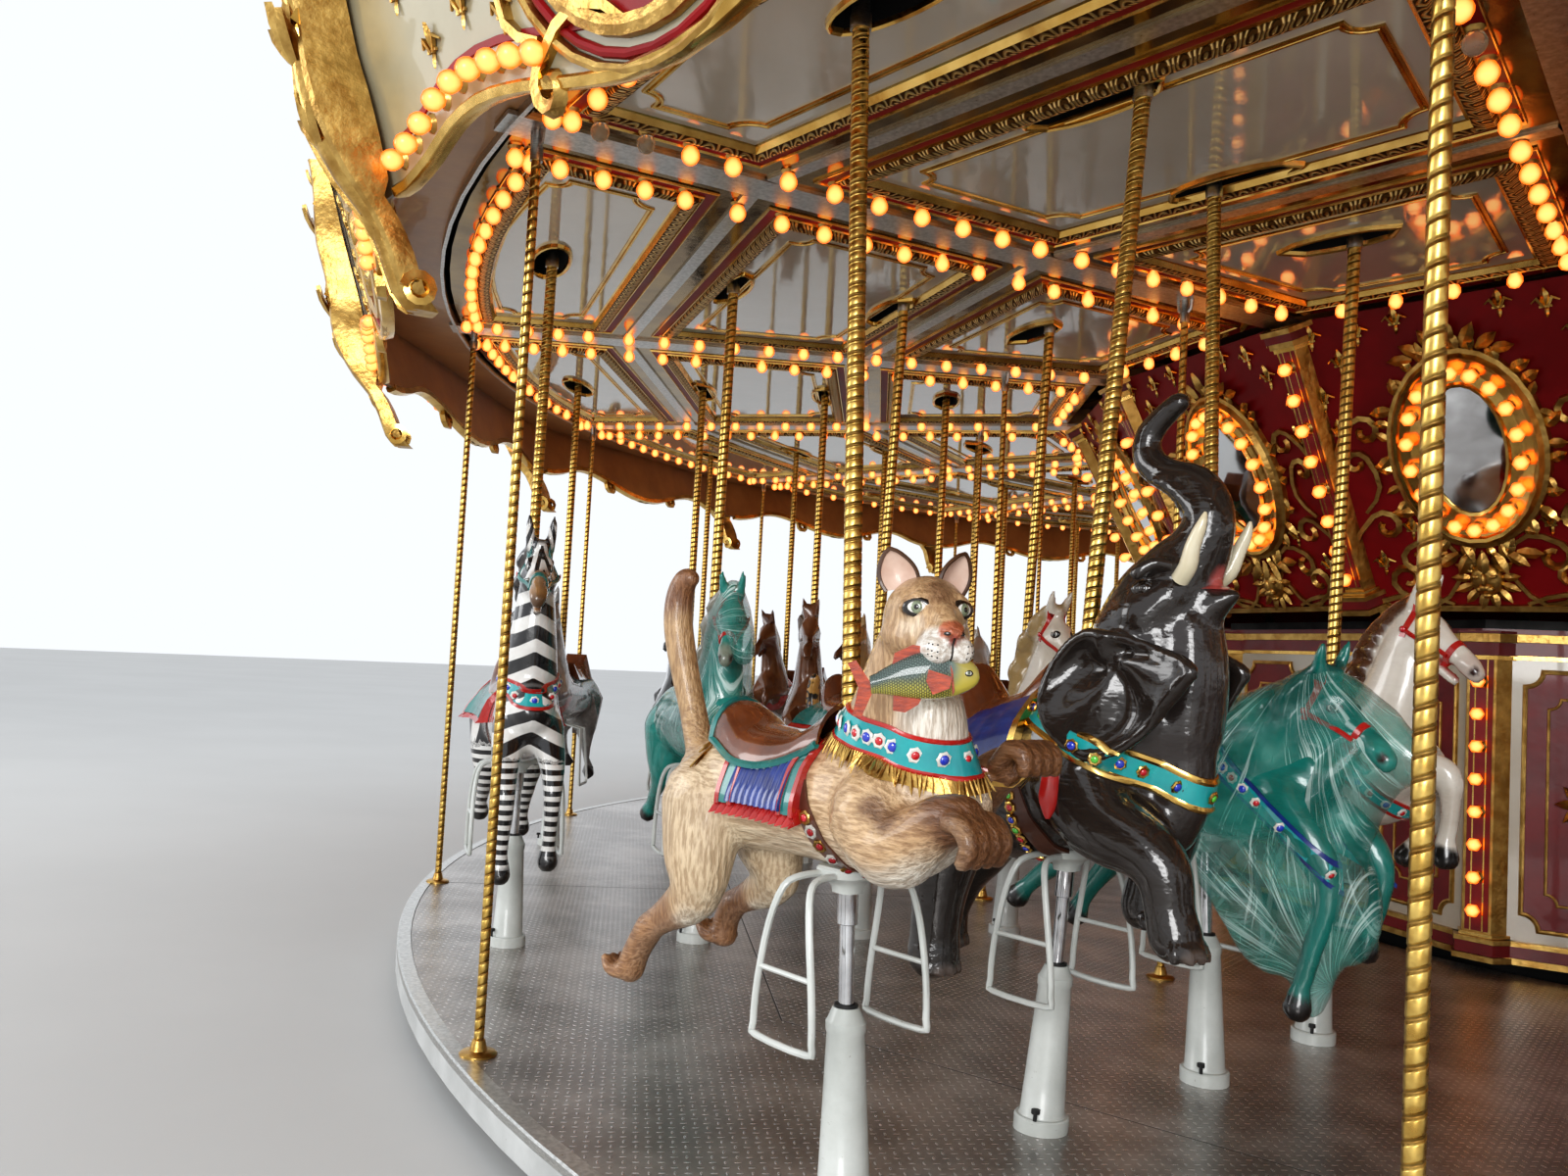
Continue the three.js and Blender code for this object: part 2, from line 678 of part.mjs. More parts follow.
function leopard() {
  const z = deckTop;
  return join([
    chain([[-600, 0, z + 990], [-250, 0, z + 980], [150, 0, z + 1010], [300, 0, z + 1050]],
      [110, 165, 180, 110], 6, 0.85),
    chain([[210, 0, z + 1040], [300, 0, z + 1340], [400, 0, z + 1400], [540, 0, z + 1360]],
      [140, 120, 125, 60], 6),
    chain([[-560, 0, z + 1000], [-800, 0, z + 960], [-860, 0, z + 1240]], [60, 45, 40], 4),
    leg([[250, 970], [450, 900], [560, 800]], -100, [90, 58, 55]),
    leg([[250, 970], [470, 970], [600, 900]], 100, [90, 58, 55]),
    leg([[-540, 950], [-470, 700], [-700, 540]], -100, [135, 66, 55]),
    leg([[-540, 950], [-420, 720], [-620, 600]], 100, [135, 66, 55]),
  ]);
}

const nearFigures = [
  { name: "puma", bay: 0, row: 0, shape: puma(), coat: furTan },
  { name: "elephant", bay: 0, row: 1, shape: elephant(), coat: elephantGrey },
  { name: "teal_horse", bay: 0, row: 2, shape: horse(250), coat: tealCoat },
  { name: "white_horse", bay: 0, row: 3, shape: horse(), coat: whiteCoat },
  { name: "zebra", bay: -1, row: 0, shape: horse(), coat: zebraCoat },
  { name: "wrapped_horse", bay: -1, row: 1, shape: horse(60), coat: tealCoat },
  { name: "leopard", bay: -1, row: 2, shape: leopard(), coat: leopardCoat },
  { name: "pale_horse", bay: -1, row: 3, shape: horse(), coat: whiteCoat },
];

nearFigures.forEach(({ name, bay, row, shape, coat }) => {
  const leans = bay === 0 ? firstBayLeans : bayBeforeLeans;
  const solid = join([shape, hanger(leans[row], 6), yoke(leans[row]), stirrups()]);
  addMesh(name, solid, coat, bay * bayAngle, rowRadii[row]);
});

export default carousel;
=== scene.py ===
# %% [markdown]
# # A fairground carousel, dressed around its CAD frame
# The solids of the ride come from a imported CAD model. This lesson dresses them: it loads that
# frame, sets the photograph's camera, makes the finishes with shader nodes, and then models the deck,
# the poles, the lit ceiling, the carved shields and boards, and the animals. Lengths are in metres,
# +Z is up, and the origin is on the ground under the mast.
# %% Frame
import bpy
import bmesh
import math
import random
import numpy as np
from mathutils import Matrix, Vector, noise
from mathutils.bvhtree import BVHTree


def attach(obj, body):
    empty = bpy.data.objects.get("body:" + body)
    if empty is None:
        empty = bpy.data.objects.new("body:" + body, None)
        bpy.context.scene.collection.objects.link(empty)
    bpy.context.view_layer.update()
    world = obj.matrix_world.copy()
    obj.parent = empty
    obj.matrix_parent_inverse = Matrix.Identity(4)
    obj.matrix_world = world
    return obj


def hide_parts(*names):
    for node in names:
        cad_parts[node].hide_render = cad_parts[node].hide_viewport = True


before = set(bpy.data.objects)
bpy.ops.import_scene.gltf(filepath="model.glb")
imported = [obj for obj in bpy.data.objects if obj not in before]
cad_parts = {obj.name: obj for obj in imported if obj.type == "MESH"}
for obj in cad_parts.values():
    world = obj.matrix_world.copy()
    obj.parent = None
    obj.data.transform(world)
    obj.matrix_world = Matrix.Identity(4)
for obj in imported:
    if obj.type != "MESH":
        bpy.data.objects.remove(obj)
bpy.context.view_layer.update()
random.seed(7)

# %% [markdown]
# ## Camera
# The camera stands where the photographer stood, just outside the deck, and looks up a little. Its
# axes were fitted to the deck's rim and the ceiling's joints: it turns about Z, pitches up and rolls.
# %% Camera
TURN, PITCH, ROLL = math.radians(49.505), 0.0524, 0.0535
axes = Matrix((
    (math.cos(ROLL), -math.sin(ROLL), 0),
    (-math.sin(PITCH) * math.sin(ROLL), -math.sin(PITCH) * math.cos(ROLL), -math.cos(PITCH)),
    (math.cos(PITCH) * math.sin(ROLL), math.cos(PITCH) * math.cos(ROLL), -math.sin(PITCH)),
))
camera = bpy.data.objects.new("camera", bpy.data.cameras.new("camera"))
camera.data.lens = 28.37
camera.data.sensor_width = 36.0
camera.matrix_world = (
    Matrix.Translation((2.266, -9.365, 1.567)) @ Matrix.Rotation(TURN, 4, "Z") @ axes.to_4x4()
)
scene = bpy.context.scene
scene.collection.objects.link(camera)
scene.camera = camera
scene.view_settings.view_transform = "Standard"
scene.view_settings.look = "Medium High Contrast"
scene.view_settings.exposure = 0.0
print("camera at", [round(v, 3) for v in camera.location])

# %% [markdown]
# ## Light
# The light is plain: a pale sky all round, which the ceiling's gloss mirrors, and two large soft
# lamps on the viewer's side. Large lamps far away keep the highlights broad and the shadows soft.
# %% Light
world = bpy.data.worlds.new("pale_sky")
world.use_nodes = True
world.node_tree.nodes["Background"].inputs["Color"].default_value = (0.93, 0.96, 1.0, 1)
world.node_tree.nodes["Background"].inputs["Strength"].default_value = 0.87
scene.world = world


def soft_lamp(name, place, target, size, watts):
    lamp = bpy.data.lights.new(name, "AREA")
    lamp.size = size
    lamp.energy = watts
    holder = bpy.data.objects.new(name, lamp)
    holder.location = place
    holder.rotation_euler = (Vector(target) - Vector(place)).to_track_quat("-Z", "Y").to_euler()
    scene.collection.objects.link(holder)


soft_lamp("viewer_lamp", (9.0, -19.5, 5.0), (0.3, -5.4, 1.7), 6.5, 1300)
soft_lamp("left_lamp", (-12.0, -18.0, 6.0), (-0.8, -6.0, 1.4), 6.5, 520)
print("lamps:", [light.name for light in bpy.data.lights])

# %% [markdown]
# ## Shader tools
# A finish is a node tree. Writing its sums as plain Python keeps it readable, so a Wire wraps one
# socket and turns +, -, * and / into Math nodes. Every other node comes from Finish.node.
# %% Shader tools


class Wire:
    """A socket that can be added, multiplied and compared."""

    def __init__(self, tree, socket):
        self.tree, self.socket = tree, socket

    def math(self, operation, *values):
        node = self.tree.nodes.new("ShaderNodeMath")
        node.operation = operation
        for slot, value in zip(node.inputs, values):
            put(self.tree, slot, value)
        return Wire(self.tree, node.outputs[0])

    def __add__(self, other):
        return self.math("ADD", self, other)

    def __sub__(self, other):
        return self.math("SUBTRACT", self, other)

    def __rsub__(self, other):
        return self.math("SUBTRACT", other, self)

    def __mul__(self, other):
        return self.math("MULTIPLY", self, other)

    def __truediv__(self, other):
        return self.math("DIVIDE", self, other)

    __radd__ = __add__
    __rmul__ = __mul__

    def of(self, operation, *others):
        return self.math(operation, self, *others)

    def between(self, low, high):
        """0 below low, 1 above high, smooth between."""
        node = self.tree.nodes.new("ShaderNodeMapRange")
        node.interpolation_type = "SMOOTHSTEP"
        put(self.tree, node.inputs["Value"], self)
        node.inputs["From Min"].default_value = low
        node.inputs["From Max"].default_value = high
        return Wire(self.tree, node.outputs["Result"])


def put(tree, slot, value):
    """Links a wire to a socket, or sets the socket's own value. A colour gets its alpha here."""
    if isinstance(value, Wire):
        tree.links.new(value.socket, slot)
    elif value is not None:
        if slot.type == "RGBA" and hasattr(value, "__len__") and len(value) == 3:
            value = (*value, 1)
        slot.default_value = value


class Finish:
    """A material in the making, round one Principled shader."""

    def __init__(self, name, **constants):
        self.material = bpy.data.materials.new(name)
        self.material.use_nodes = True
        self.tree = self.material.node_tree
        self.shader = self.tree.nodes["Principled BSDF"]
        self.feed(**constants)

    def feed(self, **values):
        for name, value in values.items():
            put(self.tree, self.shader.inputs[name.replace("_", " ")], value)
        return self

    def node(self, kind, settings=None, inputs=None, out=0):
        node = self.tree.nodes.new("ShaderNode" + kind)
        for name, value in (settings or {}).items():
            if name == "stops":
                ramp = node.color_ramp
                while len(ramp.elements) < len(value):
                    ramp.elements.new(0.5)
                for element, (position, colour) in zip(ramp.elements, value):
                    element.position = position
                    element.color = (*colour, 1)
            else:
                setattr(node, name, value)
        for name, value in (inputs or {}).items():
            put(self.tree, node.inputs[name], value)
        return Wire(self.tree, node.outputs[out])

    def place(self, attribute=None):
        """Where a point is: on the object, or in a stored attribute."""
        if attribute:
            return self.node("Attribute", {"attribute_name": attribute}, out="Vector")
        return self.node("TexCoord", out="Object")

    def xyz(self, vector):
        node = self.tree.nodes.new("ShaderNodeSeparateXYZ")
        put(self.tree, node.inputs[0], vector)
        return [Wire(self.tree, s) for s in node.outputs]

    def grain(self, scale, detail=3.0, vector=None, stretch=(1, 1, 1), rough=0.5):
        where = vector or self.place()
        if stretch != (1, 1, 1):
            where = self.node("Mapping", inputs={"Vector": where, "Scale": stretch})
        settings = {"Vector": where, "Scale": scale, "Detail": detail, "Roughness": rough}
        return self.node("TexNoise", inputs=settings)

    def blend(self, factor, first, second, way="MIX"):
        node = self.tree.nodes.new("ShaderNodeMix")
        node.data_type = "RGBA"
        node.blend_type = way
        put(self.tree, node.inputs["Factor"], factor)
        put(self.tree, node.inputs[6], first)
        put(self.tree, node.inputs[7], second)
        return Wire(self.tree, node.outputs[2])

    def bump(self, height, distance):
        return self.feed(Normal=self.node("Bump", inputs={"Height": height, "Distance": distance}))


print("shader tools ready")

# %% [markdown]
# ## Metals
# Brass and gold leaf are the same shader with different wear. Leaf is laid by hand, so it is
# blotchy, and its gloss breaks up. The bright strips of the ceiling are rolled, so their grain
# runs one way. Every metal here gets its colour range and its roughness from noise.
# %% Metals


def metal(name, light, dark, rough, grain, stretch=(1, 1, 1), dent=0.0, detail=4.0):
    made = Finish(name, Metallic=1.0)
    blotch = made.grain(grain, detail, stretch=stretch)
    made.feed(Base_Color=made.blend(blotch.between(0.3, 0.75), dark, light))
    made.feed(Roughness=rough + 0.22 * (blotch - 0.5))
    if dent:
        made.bump(made.grain(grain * 2.5, 4.0, stretch=stretch), dent)
    return made.material


leaf_gold = metal("leaf_gold", (0.70, 0.47, 0.155), (0.42, 0.24, 0.065), 0.33, 14.0, dent=0.004)
bright_gold = metal("bright_gold", (0.88, 0.60, 0.20), (0.60, 0.36, 0.09), 0.2, 9.0, dent=0.0008)
bronze_strip = metal("bronze_strip", (0.36, 0.24, 0.09), (0.20, 0.12, 0.04), 0.12, 5.0, dent=0.0008)
brushed_strip = metal("brushed_strip", (0.74, 0.74, 0.72), (0.5, 0.5, 0.48), 0.32, 60.0, (1, 1, 6), 0.0006)
chrome = metal("chrome", (0.83, 0.84, 0.85), (0.6, 0.6, 0.62), 0.1, 20.0)
dark_steel = metal("dark_steel", (0.07, 0.068, 0.066), (0.025, 0.024, 0.023), 0.55, 6.0, dent=0.002)


def twisted_brass(pitch, name):
    """Brass with a groove that winds round it. Its UV map has turns along U and metres along V."""
    made = Finish(name, Metallic=1.0)
    u, v, _ = made.xyz(made.node("UVMap", {"uv_map": "wrap"}))
    phase = (v / pitch - u).of("FRACT")
    ridge = phase.of("PINGPONG", 0.5)
    groove = 1 - ridge.between(0.02, 0.13)
    worn = made.grain(35.0, 4.0)
    tone = made.blend(worn.between(0.35, 0.7), (0.58, 0.36, 0.09), (0.90, 0.64, 0.20))
    # painted shade: the winding groove is darkened in the colour, as shade inside it
    made.feed(Base_Color=made.blend(groove * 0.75, tone, (0.22, 0.11, 0.03)))
    made.feed(Roughness=0.2 + 0.2 * worn + 0.2 * groove)
    made.bump(ridge.between(0.0, 0.2), 0.004)
    return made.material


POLE_PITCH, ROD_PITCH = 0.031, 0.036
pole_brass = twisted_brass(POLE_PITCH, "pole_brass")
rod_brass = twisted_brass(ROD_PITCH, "rod_brass")
print("metals:", len(bpy.data.materials))

# %% [markdown]
# ## The deck's tread plate
# The deck is steel plate with rows of small raised lozenges that lie at right angles to their
# neighbours. Each bay's plate is cut on its own, so the rows turn with the bay: the shader finds
# the bay from the angle round the mast and turns the point into that bay. The seams are dark lines.
# %% Tread plate
BAYS = 16
BAY = 2 * math.pi / BAYS
LOZENGE_PITCH = 0.034
RING_SEAM = 5.9


def tread_plate():
    made = Finish("tread_plate")
    x, y, _ = made.xyz(made.place())
    angle = y.of("ARCTAN2", x)
    sector = ((angle / (2 * BAY) + 0.25).of("FLOOR") + 0.25) * (2 * BAY)
    along = x * sector.of("COSINE") + y * sector.of("SINE")
    across = y * sector.of("COSINE") - x * sector.of("SINE")
    diagonal = LOZENGE_PITCH * 1.414
    p, q = (along + across) / diagonal, (along - across) / diagonal
    odd = (p.of("FLOOR") + q.of("FLOOR")).of("MODULO", 2.0).of("ABSOLUTE")
    dp, dq = p.of("FRACT") - 0.5, q.of("FRACT") - 0.5
    long_way = dp * odd + dq * (1 - odd)
    short_way = dq * odd + dp * (1 - odd)
    size = ((long_way / 0.36).of("POWER", 2.0) + (short_way / 0.13).of("POWER", 2.0)).of("SQRT")
    bead = 1 - size.between(0.55, 1.0)
    edge = (across.of("ABSOLUTE") - 0.0015).of("ABSOLUTE")
    ring = (along - RING_SEAM).of("ABSOLUTE")
    seam = 1 - edge.of("MINIMUM", ring).between(0.0015, 0.004)
    scuff = made.grain(2.2, 6.0, rough=0.65)
    dirt = made.grain(0.9, 3.0)
    tone = made.blend(scuff.between(0.35, 0.7), (0.30, 0.28, 0.265), (0.60, 0.58, 0.56))
    tone = made.blend(bead * 0.6, tone, (0.80, 0.78, 0.76))
    tone = made.blend(dirt.between(0.5, 0.8) * 0.35, tone, (0.22, 0.17, 0.14))
    made.feed(Base_Color=made.blend(seam * 0.92, tone, (0.012, 0.011, 0.01)))
    made.feed(Metallic=0.82 - 0.5 * seam)
    made.feed(Roughness=0.2 + 0.28 * scuff + 0.3 * seam - 0.08 * bead)
    made.bump(bead - 1.5 * seam, 0.0025)
    return made.material


tread = tread_plate()
print("tread plate ready")

# %% [markdown]
# ## Paints and lacquers
# Painted steel chips and scuffs, so its colour and its gloss vary together. Panels of the ceiling and
# the drum are lacquered until they mirror the poles: a low roughness under a clear coat does that.
# %% Paints


def paint(name, light, dark, rough, grain=3.0, coat=0.0, dent=0.0, speck=None, stretch=(1, 1, 1),
          specular=0.5):
    made = Finish(name, Coat_Weight=coat, Coat_Roughness=0.04, Specular_IOR_Level=specular)
    cloud = made.grain(grain, 5.0, stretch=stretch, rough=0.6)
    tone = made.blend(cloud.between(0.3, 0.72), dark, light)
    wear = 0.0
    if speck:
        wear = made.grain(grain * 14, 5.0, rough=0.7).between(0.66, 0.74)
        tone = made.blend(wear * 0.8, tone, speck)
    made.feed(Base_Color=tone, Roughness=rough + 0.18 * (cloud - 0.5) + 0.2 * wear)
    if dent:
        made.bump(made.grain(grain * 5, 3.0, stretch=stretch), dent)
    return made.material


post_white = paint("post_white", (0.62, 0.64, 0.61), (0.47, 0.49, 0.46), 0.38, 4.0, 0.3, 0.0008,
                   (0.2, 0.17, 0.14))
rim_grey = paint("rim_grey", (0.60, 0.61, 0.60), (0.42, 0.43, 0.42), 0.45, 3.0, 0.1, 0.001,
                 (0.25, 0.24, 0.22))
ceiling_cream = paint("ceiling_cream", (0.66, 0.59, 0.49), (0.60, 0.53, 0.43), 0.06, 1.2, 1.0, 0.0012,
                      specular=0.9)
lacquer_red = paint("lacquer_red", (0.30, 0.006, 0.010), (0.20, 0.004, 0.006), 0.42, dent=0.001,
                    specular=0.22)
deep_red = paint("deep_red", (0.24, 0.008, 0.010), (0.14, 0.004, 0.006), 0.42, 3.5, 0.2, 0.0015)
board_cream = paint("board_cream", (0.37, 0.335, 0.23), (0.30, 0.265, 0.17), 0.45, 2.0, 0.15, 0.001)
drum_cream = paint("drum_cream", (0.66, 0.61, 0.50), (0.56, 0.51, 0.41), 0.2, 2.0, 0.6, 0.001)
board_back = paint("board_back", (0.58, 0.31, 0.12), (0.42, 0.21, 0.08), 0.38, 2.5, 0.3, 0.002)
black_rubber = paint("black_rubber", (0.02, 0.02, 0.02), (0.01, 0.01, 0.01), 0.55, 9.0)
# near-black that stands in for shade: painted shade in the ceiling slots' wells and on the drum's plinth
void_black = paint("void_black", (0.004, 0.004, 0.004), (0.002, 0.002, 0.002), 0.8, 9.0)


def canopy_skin():
    """Cream canvas in thirty-two gores: a double seam between each two, and a soft sag between them."""
    made = Finish("canopy")
    x, y, _ = made.xyz(made.place())
    turn = (y.of("ARCTAN2", x) / BAY * 2.0 + 64.0).of("FRACT")
    gap = turn.of("PINGPONG", 0.5)
    seam = 1 - gap.between(0.010, 0.022)
    cloud = made.grain(0.8, 5.0, rough=0.6)
    tone = made.blend(cloud.between(0.3, 0.75), (0.50, 0.45, 0.34), (0.58, 0.53, 0.41))
    # painted shade: the canvas darkens beside each seam, in the crease that the bump makes there
    tone = made.blend((1 - gap.between(0.0, 0.3)) * 0.3, tone, (0.36, 0.31, 0.22))
    made.feed(Base_Color=made.blend(seam * 0.8, tone, (0.22, 0.16, 0.10)), Roughness=0.62 + 0.2 * cloud)
    made.bump(gap.between(0.0, 0.35) + 0.1 * cloud, 0.05)
    return made.material


canopy = canopy_skin()
floor_pale = paint("floor_pale", (0.60, 0.60, 0.59), (0.57, 0.57, 0.56), 0.9, 0.35)
looking_glass = metal("looking_glass", (0.85, 0.87, 0.88), (0.76, 0.78, 0.80), 0.03, 2.0)


def bulb_glass(name, core, edge, power):
    """A frosted amber globe: bright where it faces the eye, deeper orange at its rim."""
    made = Finish(name, Roughness=0.25)
    rim = made.node("LayerWeight", inputs={"Blend": 0.35}, out="Facing")
    made.feed(Base_Color=(0.28, 0.05, 0.01), Emission_Color=made.blend(rim.between(0.0, 0.55), core, edge))
    made.feed(Emission_Strength=power)
    made.material.cycles.emission_sampling = "NONE"
    return made.material


def clear_glass(name):
    """The globe of a bulb that isn't lit."""
    made = Finish(name, Roughness=0.12, Transmission_Weight=0.7, IOR=1.35)
    return made.feed(Base_Color=made.blend(made.grain(60.0), (0.75, 0.6, 0.4), (0.9, 0.8, 0.65))).material


lit_bulb = bulb_glass("lit_bulb", (1.0, 0.52, 0.15), (1.0, 0.15, 0.010), 1.6)
clear_bulb = clear_glass("clear_bulb")
print("finishes:", len(bpy.data.materials))
# %% [markdown]
# ## Modelling tools
# Nearly everything on the ride is a shape carried along a path: a pole, a moulding, a leg, a strap.
# So one helper makes a grid with bmesh and lays its rows on rings of points. Another copies one
# bay round the mast with bmesh's spin, and the last turns the bmesh into a finished piece.
# %% Modelling tools
UP, DOWN = Vector((0, 0, 1)), Vector((0, 0, -1))
FIRST_BAY = -math.pi / 2
FIRST_BEAM = FIRST_BAY - BAY / 2


class Piece:
    """One object in the making, and the finishes that its faces take."""

    def __init__(self, name, body, *finishes, slot=None):
        self.name, self.body, self.finishes, self.slot = name, body, finishes, slot
        self.bm = bmesh.new()
        self.uv = self.bm.loops.layers.uv.new("wrap")

    def skin(self, rings, finish=0, closed=True, loop=False, caps=False, wrap=None):
        """A grid laid on rings of points, closed round each ring, and capped or looped if asked."""
        rings = np.asarray(rings, float)
        if closed:
            rings = np.concatenate([rings, rings[:, :1]], 1)
        if loop:
            rings = np.concatenate([rings, rings[:1]], 0)
        rows, columns = rings.shape[:2]
        verts = bmesh.ops.create_grid(self.bm, x_segments=columns - 1, y_segments=rows - 1, size=1)["verts"]
        for vert, point in zip(verts, rings.reshape(-1, 3)):
            vert.co = point
        faces = {face for vert in verts for face in vert.link_faces}
        if wrap is not None:
            spot = {vert: pair for vert, pair in zip(verts, np.asarray(wrap).reshape(-1, 2))}
            for face in faces:
                for corner in face.loops:
                    corner[self.uv].uv = spot[corner.vert]
        for face in faces:
            face.material_index = finish
        bmesh.ops.remove_doubles(self.bm, verts=verts, dist=1e-5)
        if caps:
            edges = {e for f in faces if f.is_valid for e in f.edges if e.is_boundary}
            for face in bmesh.ops.holes_fill(self.bm, edges=list(edges), sides=0)["faces"]:
                face.material_index = finish
        return self

    def add(self, mesh, matrix=None, finish=None):
        """Puts a copy of a small mesh in place."""
        copy = mesh.copy()
        if matrix is not None:
            copy.transform(matrix)
        if finish is not None:
            copy.polygons.foreach_set("material_index", [finish] * len(copy.polygons))
        self.bm.from_mesh(copy)
        bpy.data.meshes.remove(copy)
        return self

    def mesh(self):
        """The shape so far as a small mesh, to copy elsewhere."""
        bmesh.ops.recalc_face_normals(self.bm, faces=self.bm.faces)
        made = bpy.data.meshes.new(self.name)
        self.bm.to_mesh(made)
        self.bm.free()
        return made

    def around(self, count=BAYS, step=BAY):
        """Copies everything so far round the mast."""
        geometry = [*self.bm.verts, *self.bm.edges, *self.bm.faces]
        bmesh.ops.spin(
            self.bm, geom=geometry, cent=(0, 0, 0), axis=(0, 0, 1), dvec=(0, 0, 0),
            angle=step * (count - 1), steps=count - 1, use_duplicate=True,
        )
        return self

    def done(self, *replaced, sharp=40.0, outward=True):
        """Makes the object, shades it smooth but for sharp edges, and rides it on its body."""
        if outward:
            bmesh.ops.recalc_face_normals(self.bm, faces=self.bm.faces)
        limit = math.radians(sharp)
        for face in self.bm.faces:
            face.smooth = True
        for edge in self.bm.edges:
            edge.smooth = edge.is_manifold and edge.calc_face_angle(0.0) < limit
        made = bpy.data.meshes.new(self.name)
        self.bm.to_mesh(made)
        triangles = sum(len(face.verts) - 2 for face in self.bm.faces)
        self.bm.free()
        item = bpy.data.objects.new(self.name, made)
        scene.collection.objects.link(item)
        for finish in self.finishes:
            made.materials.append(finish)
        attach(item, self.body)
        if replaced:
            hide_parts(*replaced)
        print(self.name, triangles, "triangles")
        return item


def ring(radius, count, start=0.0, centre=(0, 0, 0), squash=1.0):
    """Points on a flat circle or ellipse."""
    turns = start + np.arange(count) * 2 * math.pi / count
    return np.array(centre) + np.stack(
        [radius * np.cos(turns), squash * radius * np.sin(turns), 0 * turns], 1
    )


def moved(rings, matrix):
    """Rings of points, carried to their place by a matrix."""
    flat = rings.reshape(-1, 3) @ np.array(matrix.to_3x3()).T + np.array(matrix.translation)
    return flat.reshape(rings.shape)


def lathe(piece, profile, count, finish=0, matrix=None, caps=True):
    """A turned shape: profile holds (radius, height) pairs."""
    rings = np.array([ring(r, count, 0.0, (0, 0, z)) for r, z in profile])
    if matrix is not None:
        rings = moved(rings, matrix)
    return piece.skin(rings, finish, caps=caps)


def sweep_rings(path, profile, loop=False):
    """Rings for a moulding: profile (across, up) pairs along a level path, with mitred corners."""
    path, up = np.asarray(path, float), np.array((0.0, 0.0, 1.0))
    before = path - np.roll(path, 1, 0)
    after = np.roll(path, -1, 0) - path
    if not loop:
        before[0], after[-1] = after[0], before[-1]
    before /= np.linalg.norm(before, axis=1)[:, None]
    after /= np.linalg.norm(after, axis=1)[:, None]
    side = np.cross(before + after, up)
    side /= np.linalg.norm(side, axis=1)[:, None]
    stretch = 1 / np.maximum(np.abs((np.cross(after, up) * side).sum(1)), 0.35)
    across = side * stretch[:, None]
    return np.array([[p + a * s + up * t for s, t in profile] for p, a in zip(path, across)])


def tube_rings(path, radii, sides=8, flat=1.0):
    """Rings for a round bar through points; flat narrows it along its second axis."""
    path = [Vector(p) for p in path]
    radii = radii if hasattr(radii, "__len__") else [radii] * len(path)
    rings, side = [], None
    for i, point in enumerate(path):
        along = (path[min(i + 1, len(path) - 1)] - path[max(i - 1, 0)]).normalized()
        if side is None:
            side = along.orthogonal().normalized()
        side = (side - along * side.dot(along)).normalized()
        other = along.cross(side) * flat
        rings.append([
            point + (side * math.cos(a) + other * math.sin(a)) * radii[i]
            for a in (2 * math.pi * k / sides for k in range(sides))
        ])
    return rings


def smooth_path(points, steps=6, loop=False):
    """A Catmull-Rom curve through points."""
    points = [np.array(p, float) for p in points]
    count = len(points)
    found = []
    for i in range(count if loop else count - 1):
        if loop:
            a, b, c, d = (points[(i + k) % count] for k in (-1, 0, 1, 2))
        else:
            a, b, c, d = (points[min(max(i + k, 0), count - 1)] for k in (-1, 0, 1, 2))
        for t in np.arange(steps) / steps:
            found.append(0.5 * (2 * b + (c - a) * t + (2 * a - 5 * b + 4 * c - d) * t**2
                                + (3 * b - a - 3 * c + d) * t**3))
    if not loop:
        found.append(points[-1])
    return np.array(found)


def polar(radius, angle, z=0.0):
    return Vector((radius * math.cos(angle), radius * math.sin(angle), z))


SPINS = [Matrix.Rotation(bay * BAY, 4, "Z") for bay in range(BAYS)]
print("modelling tools ready")

# %% [markdown]
# ## Deck and rim
# The deck is a ring of plate with a pale painted band round its edge and a bright angle on top.
# The CAD solid has flat-sided arcs, so the seen deck is spun smooth: one profile, turned round the
# mast. Its lozenges and seams are in the finish, because each is only a few millimetres high.
# %% Deck and rim
DECK = 0.2
DECK_STEPS = 192
deck_sections = [f"deck_section_{i + 1}" for i in range(8)]


def spun(piece, profile, finish=0):
    """A closed outline (radius, height), spun all the way round."""
    turns = [2 * math.pi * i / DECK_STEPS for i in range(DECK_STEPS)]
    rings = [[polar(r, turn, z) for r, z in profile] for turn in turns]
    return piece.skin(rings, finish, loop=True)


deck = Piece("deck_plates", "turntable", tread, slot="tread_plate")
spun(deck, [(2.65, 0.151), (7.558, 0.151), (7.558, DECK), (2.65, DECK)])
deck.done(*deck_sections)
rim = Piece("deck_edge_band", "turntable", rim_grey, brushed_strip, slot="rim_paint")
spun(rim, [(7.562, 0.097), (7.616, 0.097), (7.6195, 0.101), (7.6195, 0.176), (7.562, 0.176)])
spun(rim, [(7.5605, 0.1765), (7.6195, 0.1765), (7.6195, 0.198), (7.613, 0.2035), (7.5605, 0.2035)], 1)
rim.done("deck_rim", sharp=25)

# %% [markdown]
# ## Telescoping posts
# Each figure's chrome rod slides in a white cone-shaped post. The post is turned on a lathe, so a profile
# of radii and heights makes it: foot flange, taper, bevelled collar and a black seal. The profile is
# leaned to follow its pole, whose crank has carried it forward or back by the metres in LEANS.
# %% Posts
ROWS = [7.15, 6.29, 5.46, 4.65]
ROW_NAMES = ["outer_row", "second_row", "third_row", "inner_row"]
LEANS = {0: [-0.135, 0.185, -0.070, 0.060], 15: [0.055, 0.050, 0.175, 0.172]}
LEAN_PIVOT, CEILING = 0.67, 3.31


def lean_of(bay, row):
    return LEANS.get(bay % BAYS, [0, 0, 0, 0])[row]


def stand(bay, row):
    """The matrix that carries a figure's own frame (X forward, Z up, deck at 0) to its place."""
    turn = (bay % BAYS) * BAY
    return Matrix.Rotation(turn, 4, "Z") @ Matrix.Translation((0, -ROWS[row], DECK))


